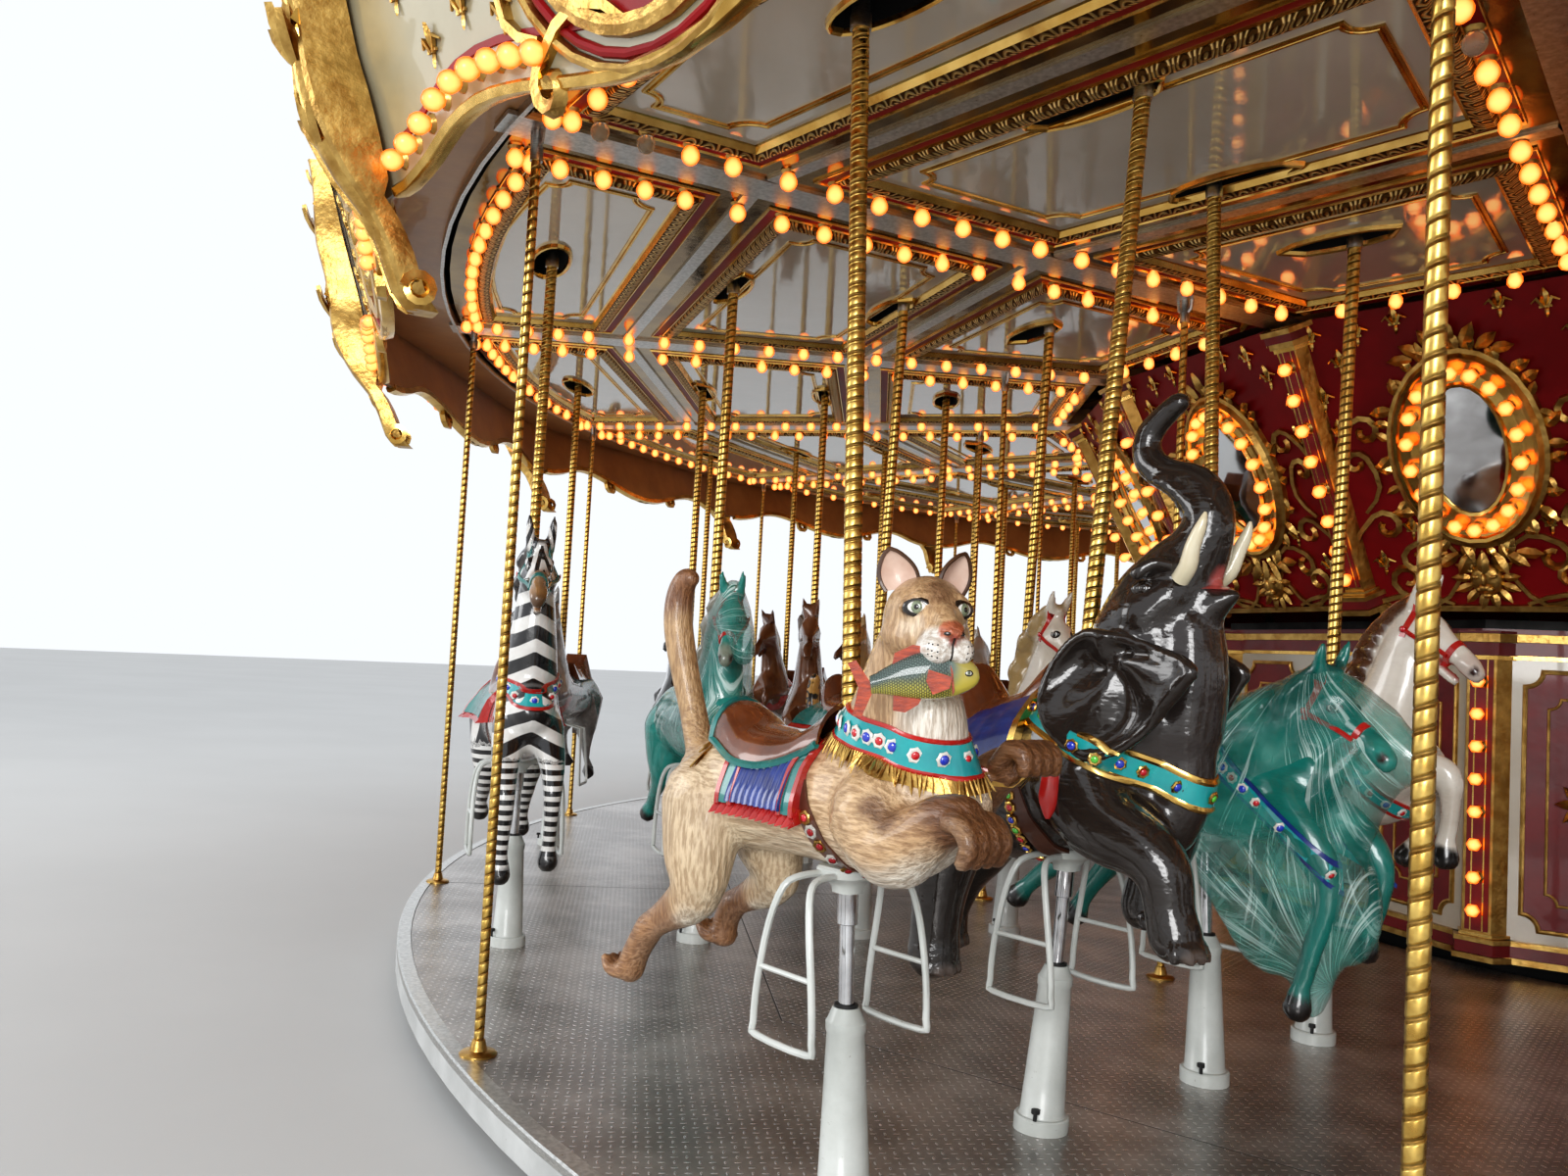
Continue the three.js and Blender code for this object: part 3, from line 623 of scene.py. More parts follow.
def leaned(bay, row):
    """The stand matrix with its Z axis along the pole."""
    slope = lean_of(bay, row) / (CEILING - LEAN_PIVOT)
    shear = Matrix.Identity(4)
    shear[0][2] = slope
    shear[0][3] = -slope * (LEAN_PIVOT - DECK)
    return stand(bay, row) @ shear


post_profile = [
    (0.081, 0.0005), (0.081, 0.04), (0.077, 0.045), (0.069, 0.046), (0.066, 0.05),
    (0.0485, 0.425), (0.0515, 0.43), (0.0515, 0.452), (0.047, 0.458), (0.034, 0.488), (0.0225, 0.4885),
]


def post_mesh(columns):
    post = Piece("post", "turntable")
    lathe(post, post_profile, columns, caps=False)
    seal = [(0.0222, 0.4), (0.0305, 0.4885), (0.0305, 0.4945), (0.0215, 0.4965), (0.0206, 0.4)]
    lathe(post, seal, columns, 1, caps=False)
    knob = [(0.006, 0.0), (0.006, 0.02), (0.013, 0.022), (0.013, 0.034), (0.001, 0.036)]
    lathe(post, knob, 7, 1, Matrix.Translation((0.03, -0.0725, 0.046)), caps=False)
    return post.mesh()


near_post, far_post = post_mesh(24), post_mesh(9)
posts = Piece("telescoping_posts", "turntable", post_white, black_rubber, slot="rim_paint")
for bay in range(BAYS):
    for row in range(4):
        posts.add(near_post if bay in (0, 1, 15) else far_post, leaned(bay, row))
posts.done(sharp=35)

# %% [markdown]
# ## Brass rods and their feet
# Two thin twisted rods hang from every beam. One groove winds round the brass. A grid whose rows
# climb one pitch as they go round makes that groove exactly: the last column meets the first one
# three rows higher, and the doubles merge. Far rods take the groove from their finish instead.
# %% Hanging rods


def twist_rings(radius, depth, pitch, bottom, top, columns, twisted):
    """Rings and UVs of a straight bar with one groove that winds round it."""
    heights, radii = [], []
    if twisted:
        for i in range(int((top - bottom) / pitch) - 1):
            base = bottom + i * pitch
            heights += [base, base + 0.1 * pitch, base + 0.9 * pitch]
            radii += [radius - depth, radius, radius]
    else:
        heights, radii = [bottom, top], [radius, radius]
    rings, wraps = [], []
    for z, r in zip(heights, radii):
        turns = [j / columns for j in range(columns + 1)]
        climb = pitch if twisted else 0.0
        rings.append([
            (r * math.cos(2 * math.pi * u), r * math.sin(2 * math.pi * u), z + climb * u) for u in turns
        ])
        wraps.append([(u, z + climb * u) for u in turns])
    return np.array(rings), np.array(wraps)


def twisted_bar(piece, matrix, radius, depth, pitch, bottom, top, columns=8, twisted=True, finish=0):
    rings, wraps = twist_rings(radius, depth, pitch, bottom, top, columns, twisted)
    return piece.skin(moved(rings, matrix), finish, closed=False, wrap=wraps)


rods = Piece("hanging_rods", "turntable", rod_brass, leaf_gold, brushed_strip, slot="brass_rods")
ROD_RINGS = (7.53, 4.43)
foot_profile = [(0.062, 0.0004), (0.062, 0.008), (0.055, 0.013), (0.03, 0.017), (0.026, 0.03),
                (0.021, 0.05), (0.0165, 0.052)]
cap_profile = [(0.0005, 3.19), (0.023, 3.19), (0.023, 3.235), (0.018, 3.24), (0.018, 3.3)]
for beam in range(BAYS):
    for radius in ROD_RINGS:
        spot = Matrix.Translation(polar(radius, FIRST_BEAM + beam * BAY)) @ SPINS[beam]
        near = beam in (0, 1, 15) and radius == ROD_RINGS[0]
        twisted_bar(rods, spot, 0.0172, 0.0013, ROD_PITCH, DECK + 0.02, 3.24, 8, near)
        lathe(rods, foot_profile, 12, 1, spot @ Matrix.Translation((0, 0, DECK)), caps=False)
        lathe(rods, cap_profile, 8, 2, spot, caps=False)
        for side in (-1, 1):
            arm = [(0, 0, 3.22), (side * 0.03, 0, 3.25), (side * 0.036, 0, 3.3)]
            rods.skin(tube_rings([spot @ Vector(p) for p in arm], 0.009, 6), 2, caps=True)
rods.done(sharp=50)

# %% [markdown]
# ## Ceiling
# Under the sweeps hang three rings of mirror-gloss panels. Every panel has the same frame: a bronze
# strip, a red strip between gold beads that carries the bulbs, a carved leaf moulding, and a cream field with
# a slot for the pole. All of them are inset outlines of one cell, so the frame is a series
# of rings, each a little further in, skinned together. Then spin copies the bay sixteen times.
# %% Ceiling cells
CHORDS = [7.62, 6.68 * math.cos(BAY / 2), 5.30 * math.cos(BAY / 2), 3.80 * math.cos(BAY / 2)]
SIDE_STEPS = 4


def cell_outline(outer, inner, beam_in, chord_in, curved, z):
    """One panel's outline in bay 0, with its sides moved in from the beams and from the chords."""
    half = BAY / 2
    low = inner + chord_in

    def on_beam(radial):
        # The beam's line, moved in: the tangent offset where the distance from the mast is radial.
        return radial * math.tan(half) - beam_in / math.cos(half)

    if curved:
        rim = outer - chord_in
        reach = half - math.asin(beam_in / rim)
        arc = np.linspace(-reach, reach, 2 * SIDE_STEPS + 1)
        top = [(rim * math.sin(a), -rim * math.cos(a), z) for a in arc]
        high = rim * math.cos(reach)
    else:
        high = outer - chord_in
        top = [(t, -high, z) for t in np.linspace(-on_beam(high), on_beam(high), 2 * SIDE_STEPS + 1)]
    right = [(on_beam(r), -r, z) for r in np.linspace(high, low, SIDE_STEPS + 1)[1:]]
    bottom = [(t, -low, z) for t in np.linspace(on_beam(low), -on_beam(low), 2 * SIDE_STEPS + 1)[1:]]
    left = [(-on_beam(r), -r, z) for r in np.linspace(low, high, SIDE_STEPS + 1)[1:-1]]
    return np.array(top + right + bottom + left)


CREAM, BRONZE, GOLD, RED, LEAVES, WELL = range(6)
FRAME_STEPS = [
    # inset from the beam, inset from a chord, drop below the ceiling, finish of the strip that ends here
    (0.083, 0.030, 0.004, None), (0.165, 0.106, 0.004, BRONZE), (0.167, 0.108, 0.013, GOLD),
    (0.171, 0.112, 0.013, GOLD), (0.174, 0.115, 0.006, GOLD), (0.222, 0.152, 0.006, RED),
    (0.224, 0.154, 0.015, GOLD), (0.229, 0.159, 0.015, GOLD), (0.232, 0.162, 0.007, GOLD),
    (0.243, 0.172, 0.026, LEAVES), (0.27, 0.195, 0.034, LEAVES), (0.298, 0.22, 0.026, LEAVES),
    (0.31, 0.232, 0.005, GOLD), (0.318, 0.24, 0.002, GOLD),
]
# the share of the leaves' width that the strip ending at each step takes up
LEAF_SHARES = {9: (0.0, 0.2), 10: (0.2, 0.5), 11: (0.5, 0.8)}


def panel_frame(piece, outer, inner, curved):
    """The strips and mouldings round one cell. Returns the outline of its cream field."""
    rows = [cell_outline(outer, inner, b, c, curved, CEILING - d) for b, c, d, _ in FRAME_STEPS]
    lengths = np.linalg.norm(np.diff(np.vstack([rows[-1], rows[-1][:1]]), axis=0), axis=1)
    along = np.concatenate([[0], np.cumsum(lengths)])
    for i in range(1, len(rows)):
        wrap = [[(a, share) for a in along] for share in LEAF_SHARES.get(i, (0.8, 1.0))]
        piece.skin(rows[i - 1:i + 1], FRAME_STEPS[i][3], wrap=wrap)
    return rows[-1]


def slot_loop(centre, outline, half_long, half_wide, z):
    """Points on a slot's oval, in the directions of the outline's points."""
    flat = outline[:, :2] - np.array(centre)
    turns = np.arctan2(flat[:, 1] / half_wide, flat[:, 0] / half_long)
    return np.stack([
        centre[0] + half_long * np.cos(turns), centre[1] + half_wide * np.sin(turns),
        np.full(len(turns), z),
    ], 1)


def field_with_slot(piece, outline, row):
    """A cream field from its outline in to the oval slot, the slot's gold rim, and its well, near-black as
    painted shade.
    """
    centre = (0.0, -ROWS[row])
    z = outline[0][2]
    sizes = [(0.262, 0.094, z, CREAM), (0.258, 0.09, z - 0.016, GOLD), (0.25, 0.082, z - 0.02, GOLD),
             (0.243, 0.075, z - 0.014, GOLD), (0.24, 0.072, z, GOLD), (0.236, 0.068, z + 0.1, WELL)]
    rows = [outline] + [slot_loop(centre, outline, a, b, height) for a, b, height, _ in sizes]
    for i, (_, _, _, finish) in enumerate(sizes):
        piece.skin(rows[i:i + 2], finish)


def split_outline(outline, cut):
    """The parts of an outline above and below a cut across the bay, closed along the cut."""
    parts = []
    for keep in (1, -1):
        inside = [p for p in outline if keep * (-p[1] - cut) > 0]
        start = max(range(len(inside)), key=lambda i: np.linalg.norm(inside[i] - inside[i - 1]))
        inside = inside[start:] + inside[:start]
        first, last = inside[-1], inside[0]
        line = np.linspace((first[0], -cut, first[2]), (last[0], -cut, last[2]), 18)
        parts.append(np.array(inside + list(line)))
    return parts


# %% [markdown]
# ## Ceiling panels
# The leaf moulding is too fine to model on a thousand metres of frame, so its leaves are drawn by a
# shader on the strips' own UV map, with painted shade in the hollows between them: U runs along the frame in
# metres and V across the leaves.
# %% Ceiling panels


def leaf_moulding():
    """Carved leaves along the moulding, with painted shade between them: U runs along it in metres, V across
    it.
    """
    made = Finish("leaf_moulding", Metallic=1.0)
    u, v, _ = made.xyz(made.node("UVMap", {"uv_map": "wrap"}))
    cell = (u / 0.062).of("FRACT") - 0.5
    lift = (v - 0.5) * 2.0
    bow = cell.of("ABSOLUTE") * 2.0
    arch = ((bow * bow * 1.3 + (lift + 0.35) * (lift + 0.35)).of("SQRT") - 0.72).of("ABSOLUTE")
    core = (bow * bow * 2.6 + (lift + 0.3) * (lift + 0.3) * 1.2).of("SQRT")
    dart = 1 - (1 - bow).between(0.06, 0.2)
    height = (1 - arch.between(0.05, 0.22)).of("MAXIMUM", 1 - core.between(0.2, 0.42)).of("MAXIMUM", dart)
    patina = made.grain(40.0, 4.0)
    tone = made.blend(patina.between(0.3, 0.7), (0.60, 0.40, 0.14), (0.84, 0.60, 0.26))
    # painted shade: the hollows between the leaves are near-black brown in the colour
    made.feed(Base_Color=made.blend(height, (0.10, 0.045, 0.012), tone))
    made.feed(Roughness=0.5 - 0.2 * height + 0.1 * patina)
    made.bump(height, 0.009)
    return made.material


ceiling = Piece("ceiling_panels", "turntable", ceiling_cream, bronze_strip, bright_gold, lacquer_red,
                leaf_moulding(), void_black, slot="ceiling_gloss")
field = panel_frame(ceiling, CHORDS[0], CHORDS[1], True)
field_with_slot(ceiling, field, 0)
field = panel_frame(ceiling, CHORDS[1], CHORDS[2], False)
for part, row in zip(split_outline(field, (ROWS[1] + ROWS[2]) / 2), (1, 2)):
    field_with_slot(ceiling, part, row)
field = panel_frame(ceiling, CHORDS[2], CHORDS[3], False)
field_with_slot(ceiling, field, 3)
ceiling.around().done("ceiling_outer", "ceiling_middle", "ceiling_inner", sharp=20, outward=False)

# %% [markdown]
# ## Ceiling strips and soffit
# Bright rolled strips cover the joints over the beams and the chords, and a curved one ends the
# ceiling. Outside it a brown soffit closes the gap to the boards, and is seen from both sides.
# %% Ceiling strips


def strip_box(piece, start, end, half, low, high):
    """A straight bar of box section that lies along the ceiling."""
    profile = [(-half, low), (half, low), (half, high), (-half, high)]
    piece.skin(sweep_rings([start, end], profile), caps=True)


strips = Piece("ceiling_strips", "turntable", brushed_strip, board_back, slot="dark_steel")
strip_box(strips, polar(3.72, FIRST_BEAM, CEILING), polar(7.66, FIRST_BEAM, CEILING), 0.084, -0.017, -0.001)
for chord in CHORDS[1:3]:
    reach = chord * math.tan(BAY / 2) - 0.09
    strip_box(strips, (-reach, -chord, CEILING), (reach, -chord, CEILING), 0.031, -0.015, -0.002)
arc_turns = [FIRST_BEAM + BAY * i / 8 for i in range(9)]
arc = [polar(7.625, turn, CEILING) for turn in arc_turns]
strips.skin(sweep_rings(arc, [(-0.008, -0.03), (0.008, -0.03), (0.008, 0.012), (-0.008, 0.012)]), caps=True)
start, end = (polar(8.075, FIRST_BEAM + turn, CEILING) for turn in (0, BAY))
for height in (0.004, 0.01):
    rows = [[polar(7.628, turn, CEILING) + UP * height, start.lerp(end, i / 8) + UP * height]
            for i, turn in enumerate(arc_turns)]
    strips.skin(rows, 1, closed=False)
strips.around().done(sharp=25, outward=False)

# %% [markdown]
# ## Field beads
# A fine double bead runs inside every cream field, with its corners scooped inwards. It is a moulding with
# two ridges, swept along a path that has an arc in place of each corner.
# %% Field beads


def scooped(corners, scoop, steps=5):
    """A closed path whose corners are replaced by inward arcs."""
    count, path = len(corners), []
    for i in range(count):
        here = Vector(corners[i])
        before = (Vector(corners[i - 1]) - here).normalized()
        after = (Vector(corners[(i + 1) % count]) - here).normalized()
        for k in range(steps + 1):
            share = k / steps * math.pi / 2
            path.append(here + (before * math.cos(share) + after * math.sin(share)) * scoop)
    return path


beads = Piece("field_beads", "turntable", bright_gold, slot="gold")
double_bead = [(-0.014, 0.001), (-0.012, -0.009), (-0.005, -0.009), (-0.002, -0.002), (0.002, -0.002),
               (0.005, -0.009), (0.012, -0.009), (0.014, 0.001)]
for outer, inner in zip(CHORDS, CHORDS[1:]):
    curved = outer == CHORDS[0]
    low, high = inner + 0.315, outer - (0.33 if curved else 0.315)
    widths = [r * math.tan(BAY / 2) - 0.4 / math.cos(BAY / 2) for r in (high, low)]
    corners = [(-widths[0], -high, CEILING), (widths[0], -high, CEILING), (widths[1], -low, CEILING),
               (-widths[1], -low, CEILING)]
    path = scooped(corners, 0.085)
    if curved:
        bow = [Vector(p) for p in path[5:7]]
        arc = [bow[0].lerp(bow[1], k / 6) for k in range(1, 6)]
        for k, point in enumerate(arc):
            point.y -= 0.12 * math.sin(math.pi * (k + 1) / 6)
        path = path[:6] + arc + path[6:]
    beads.skin(sweep_rings(path, double_bead, loop=True), loop=True)
beads.around().done(sharp=35)
print("ceiling ready")
# %% [markdown]
# ## Bulbs
# Over sixteen hundred bulbs light the ride. Each is a small turned globe in a flared socket, so it has only a
# few dozen faces. A list holds the matrix of every bulb; a few are unlit, as on the real ride.
# %% Bulbs
# the unlit bulbs: bay, side of the bay, place along the beam from the outside of each ring
UNLIT = {(0, "left", 2), (0, "left", 3), (0, "right", 8)}
NEAR_BULB = 5.5


def globe_mesh(columns, steps):
    piece = Piece("globe", "turntable")
    profile = [(0.0115, 0.0)]
    for i in range(1, steps):
        a = math.pi * (0.17 + 0.83 * i / steps)
        profile.append((0.0275 * math.sin(a), 0.034 - 0.0275 * math.cos(a)))
    profile.append((0.0008, 0.0614))
    lathe(piece, profile, columns, caps=True)
    return piece.mesh()


def socket_mesh():
    piece = Piece("socket", "turntable")
    lathe(piece, [(0.0155, 0.012), (0.026, 0.0)], 8, caps=False)
    return piece.mesh()


fine_globe, plain_globe, socket = globe_mesh(11, 6), globe_mesh(6, 4), socket_mesh()


def facing(place, direction):
    """A matrix whose Z axis points in a direction."""
    return Matrix.Translation(place) @ Vector(direction).to_track_quat("Z", "Y").to_matrix().to_4x4()


def bulbs(name, body, spots, size=1.0, unlit=()):
    piece = Piece(name, body, lit_bulb, clear_bulb, leaf_gold, slot="gold")
    for index, spot in enumerate(spots):
        grown = spot @ Matrix.Scale(size, 4)
        near = (spot.translation - camera.location).length < NEAR_BULB
        piece.add(fine_globe if near else plain_globe, grown, 1 if index in unlit else 0)
        if near or index % 2:
            piece.add(socket, grown, 2)
    return piece.done(sharp=60)


ceiling_spots, unlit = [], []
beam_radii = [*np.linspace(6.79, 7.44, 5), *np.linspace(5.41, 6.57, 7), *np.linspace(3.98, 5.19, 7)]
bulb_seat = CEILING - 0.008
for bay, spin in enumerate(SPINS):
    for side, way in (("left", -1), ("right", 1)):
        for index, radius in enumerate(beam_radii):
            if (bay, side, index) in UNLIT:
                unlit.append(len(ceiling_spots))
            tangent = way * (radius * math.tan(BAY / 2) - 0.2 / math.cos(BAY / 2))
            ceiling_spots.append(facing(spin @ Vector((tangent, -radius, bulb_seat)), DOWN))
    for i in range(13):
        angle = FIRST_BAY + (i - 6) / 13 * (BAY - 0.03)
        ceiling_spots.append(facing(spin @ polar(7.487, angle, bulb_seat), DOWN))
    for i in range(4):
        ceiling_spots.append(facing(spin @ Vector(((i - 1.5) * 0.24, -CHORDS[3] - 0.134, bulb_seat)), DOWN))
bulbs("ceiling_bulbs", "turntable", ceiling_spots, 1.2, unlit)

# %% [markdown]
# ## Carved ornament
# The gilt ornament is built from a few small shapes used many times, as the carver's moulds were: a leaf,
# a fleur-de-lis, and scrolls that taper as they wind. They are laid on a flat local
# frame, with X across the panel, Y up its slope and Z out of it, and a matrix leans each set into place.
# %% Carved ornament
VOLUTE_TURNS, VOLUTE_STEPS = 1.1, 10


def leaf_mesh():
    """A pointed leaf one unit long: it runs from the origin along +Y, with a rib down its middle."""
    piece = Piece("leaf", "turntable")
    width, curl, lift, steps = 0.34, 0.22, 0.14, 3
    rings = []
    for i in range(steps + 1):
        t = i / steps
        half = width * math.sin(math.pi * min(t * 0.93 + 0.07, 1.0)) ** 0.8 / 2 + 0.004
        rise = lift * math.sin(math.pi * t) + curl * t * t
        rings.append([(-half, t, rise * 0.6), (0, t, rise + 0.06 * (1 - t) + 0.03), (half, t, rise * 0.6),
                      (0, t, rise * 0.6 - 0.05 * (1 - t))])
    piece.skin(rings, caps=True)
    return piece.mesh()


def scroll_points(start, end, bow, size):
    """An S-shaped stem from start to end that winds up into a volute at its end."""
    start, end = np.array(start, float), np.array(end, float)
    along = end - start
    side = np.array([-along[1], along[0]])
    points = [start + along * t + side * bow * math.sin(math.pi * t) for t in np.linspace(0, 1, 5)]
    heading = points[-1] - points[-2]
    turn = math.atan2(heading[1], heading[0])
    way = -1 if bow > 0 else 1
    radius = size * np.linalg.norm(along)
    quarter = way * math.pi / 2
    centre = points[-1] + radius * np.array([math.cos(turn + quarter), math.sin(turn + quarter)])
    for k in range(1, VOLUTE_STEPS):
        t = k / VOLUTE_STEPS
        a = turn - quarter + way * t * VOLUTE_TURNS * 2 * math.pi
        points.append(centre + radius * (1 - 0.75 * t) * np.array([math.cos(a), math.sin(a)]))
    return points


def scroll(piece, start, end, bow, size, thick, finish):
    """A gilt scroll on the panel, and its mirror image."""
    flat = scroll_points(start, end, bow, size)
    count = len(flat)
    radii = [thick * (0.45 + 0.75 * math.sin(math.pi * min(1, (i + 2) / count * 0.75)))
             for i in range(count)]
    for way in (1, -1):
        path = [Vector((p[0] * way, p[1], thick * 0.5)) for p in flat]
        piece.skin(tube_rings(path, radii, 4), finish, caps=True)


def lay(x, y, turn=0.0, size=1.0, z=0.0, wide=1.0):
    """A matrix for an ornament on the panel: its place, its turn about Z and its size."""
    grown = Matrix.Diagonal((size * wide, size, size, 1))
    return Matrix.Translation((x, y, z)) @ Matrix.Rotation(turn, 4, "Z") @ grown


leaf = leaf_mesh()


def fleur_mesh():
    """A fleur-de-lis: a middle petal, two that curl out, a band across them and a stem."""
    piece = Piece("fleur", "turntable")
    piece.add(leaf, lay(0, -0.05, 0, 0.6, 0, 1.3))
    for way in (-1, 1):
        curl = [(0.05 * way, -0.04, 0.05), (0.2 * way, 0.25, 0.09), (0.37 * way, 0.12, 0.04)]
        piece.skin(tube_rings(curl, [0.06, 0.08, 0.03], 4, 0.8), caps=True)
    piece.add(leaf, lay(0, 0, math.pi, 0.36, 0, 1.1))
    piece.skin(tube_rings([(-0.17, -0.01, 0.05), (0.17, -0.01, 0.05)], 0.045, 4), caps=True)
    return piece.mesh()


fleur = fleur_mesh()


def mask_mesh():
    """A generic lion's mask, one unit wide, in a ring of mane leaves and beads."""
    piece = Piece("mask", "turntable")

    def lump(x, y, z, sx, sy, sz, count=5):
        rows = [[(x + sx * math.sin(p) * math.cos(q), y + sy * math.sin(p) * math.sin(q),
                  z + sz * math.cos(p))
                 for q in np.arange(8) * math.pi / 4] for p in np.linspace(0.15, math.pi * 0.55, count)]
        piece.skin(rows, caps=True)

    lump(0, 0, 0, 0.33, 0.38, 0.2)
    lump(0, -0.12, 0.13, 0.15, 0.12, 0.14)
    lump(0, 0.02, 0.14, 0.06, 0.2, 0.12)
    for way in (-1, 1):
        lump(0.15 * way, 0.1, 0.13, 0.09, 0.05, 0.07, 3)
        lump(0.09 * way, -0.14, 0.2, 0.08, 0.06, 0.06, 3)
        lump(0.26 * way, 0.3, 0.06, 0.08, 0.09, 0.06, 3)
    lump(0, -0.3, 0.1, 0.1, 0.07, 0.08, 4)
    for k in range(13):
        piece.add(leaf, lay(0, 0, k * 2 * math.pi / 13, 0.36, 0.02, 1.5) @ Matrix.Translation((0, 0.75, 0)))
    return piece.mesh()


mask = mask_mesh()
print("ornament ready: leaf", len(leaf.polygons), "fleur", len(fleur.polygons), "mask", len(mask.polygons))

# %% [markdown]
# ## Upper shields
# Sixteen red lacquered panels lean out under the ceiling. Each has an oval looking glass in a gilt
# frame with a ring of bulbs, a carved surround, scrolls and scattered fleurs-de-lis. One panel is
# modelled flat, leaned with a matrix, and spun round the mast.
# %% Panel frames


def panel_matrix(angle, low, high):
    """X across, Y up the slope, Z outwards, for a panel through (radius, z) low and high."""
    across = polar(1, angle + math.pi / 2)
    out = polar(1, angle)
    slope = (out * (high[0] - low[0]) + UP * (high[1] - low[1])).normalized()
    normal = across.cross(slope)
    matrix = Matrix((across, slope, normal)).transposed().to_4x4()
    matrix.translation = out * low[0] + UP * low[1]
    return matrix


def lean_onto(piece, matrix):
    """Leans all that a piece holds from its flat frame on to the panel."""
    bmesh.ops.transform(piece.bm, matrix=matrix, verts=piece.bm.verts)
    return piece


SHIELD_LOW, SHIELD_HIGH = (3.06, 1.95), (3.74, 3.306)
flat_share = math.cos(BAY / 2)
shield_at = panel_matrix(FIRST_BAY, (SHIELD_LOW[0] * flat_share, SHIELD_LOW[1]),
                         (SHIELD_HIGH[0] * flat_share, SHIELD_HIGH[1]))
pilaster_at = panel_matrix(FIRST_BEAM, SHIELD_LOW, SHIELD_HIGH)
shield_height = math.hypot((SHIELD_HIGH[0] - SHIELD_LOW[0]) * flat_share, SHIELD_HIGH[1] - SHIELD_LOW[1])
low_half, high_half = (r * math.sin(BAY / 2) for r in (SHIELD_LOW[0], SHIELD_HIGH[0]))
OVAL = (0.0, 0.80)
print("shield height", round(shield_height, 3))

# %% Upper shields
shield = Piece("upper_shield_panels", "turntable", lacquer_red, leaf_gold, bright_gold, looking_glass,
               deep_red, slot="red_panel")


def slab(piece, corners, low, high, finish=0, bevel=0.0):
    """A flat plate on the panel frame, with its upper edge drawn in by the bevel."""
    centre = np.mean(np.array(corners), 0)
    inner = [tuple(centre + (np.array(c) - centre) * (1 - bevel)) for c in corners]
    rings = [[(*c, low) for c in corners], [(*c, high - bevel * 0.2) for c in corners],
             [(*c, high) for c in inner]]
    piece.skin(rings, finish, caps=True)


slab(shield, [(-low_half, 0), (low_half, 0), (high_half, shield_height), (-high_half, shield_height)],
     -0.02, 0.0)


def oval(rx, ry, z):
    """Twenty-six points on an oval round the shield's middle."""
    turns = np.arange(26) * 2 * math.pi / 26
    return np.stack([OVAL[0] + rx * np.cos(turns), OVAL[1] + ry * np.sin(turns), np.full(26, z)], 1)


shield.skin([oval(0.165, 0.30, 0.012), oval(0.165, 0.30, 0.02)], 3, caps=True)
frame_steps = [(0.165, 0.30, 0.006, 2), (0.168, 0.303, 0.028, 2), (0.182, 0.317, 0.034, 2),
               (0.19, 0.325, 0.02, 2),
               (0.24, 0.375, 0.022, 2), (0.285, 0.42, 0.03, 2), (0.292, 0.427, 0.048, 2),
               (0.308, 0.443, 0.052, 2),
               (0.325, 0.46, 0.03, 1), (0.345, 0.48, 0.024, 1), (0.352, 0.487, 0.0, 1)]
for a, b in zip(frame_steps, frame_steps[1:]):
    shield.skin([oval(*a[:3]), oval(*b[:3])], b[3])
for k in range(38):
    a = 2 * math.pi * k / 38
    sway = 0.8 * math.sin(k * 2.4)
    reach = 1.0 + 0.2 * math.sin(k * 1.7)
    x, y = 0.335 * math.cos(a), OVAL[1] + 0.47 * math.sin(a)
    shield.add(leaf, lay(x, y, a - math.pi / 2 + sway, 0.085 * reach, 0.014, 1.7), 2 if k % 3 else 1)
for k in range(-3, 4):
    shield.add(leaf, lay(k * 0.055, OVAL[1] + 0.49 - 0.012 * abs(k), -k * 0.5, 0.135 - 0.01 * abs(k),
                         0.02, 1.5), 1)
    shield.add(leaf, lay(k * 0.05, OVAL[1] - 0.5, math.pi + k * 0.5, 0.12, 0.02, 1.4), 1)
shield.add(mask, lay(0, 0.16, 0, 0.24, 0.004), 1)
for start, end, bow, size in (
    ((0.12, 0.16), (0.40, 0.10), -0.35, 0.28), ((0.1, 0.28), (0.33, 0.33), 0.3, 0.3),
    ((0.56, 0.12), (0.47, 0.50), -0.2, 0.2), ((0.50, 0.52), (0.45, 0.80), 0.22, 0.22),
    ((0.60, 0.62), (0.50, 0.98), -0.15, 0.2), ((0.16, 0.035), (0.50, 0.05), 0.12, 0.12),
):
    scroll(shield, start, end, bow, size, 0.016, 1)
fleurs = [(0.50, 1.27), (0.61, 1.10), (0.40, 1.40), (0.22, 1.43), (0.62, 1.41), (0.46, 0.24),
          (0.30, 0.42), (0.56, 0.93)]
for x, y in fleurs:
    for way in (-1, 1):
        shield.add(fleur, lay(x * way, y, 0, 0.15), 2)
slab(shield, [(-low_half, 0.0), (low_half, 0.0), (low_half, 0.03), (-low_half, 0.03)], 0, 0.022, 1, 0.02)
lean_onto(shield, shield_at)
shield.around().done("upper_shields", sharp=38)

# %% [markdown]
# ## Pilasters
# Bulb-lit pilasters stand between the shields, and others like them stand at the drum's corners. Each is
# half a hexagon in plan, with a red strip for its bulbs and a stepped base and capital, so one
# function makes both from a list of steps.
# %% Pilasters
pilaster = Piece("shield_pilasters", "turntable", leaf_gold, deep_red, bright_gold, slot="gold")


def pilaster_shaft(piece, y0, y1, half, proud, finish):
    plan = [(-half, -0.03), (-half * 0.62, proud), (half * 0.62, proud), (half, -0.03)]
    piece.skin([[(x, y, z) for x, z in plan] for y in (y0, y1)], finish, caps=True)


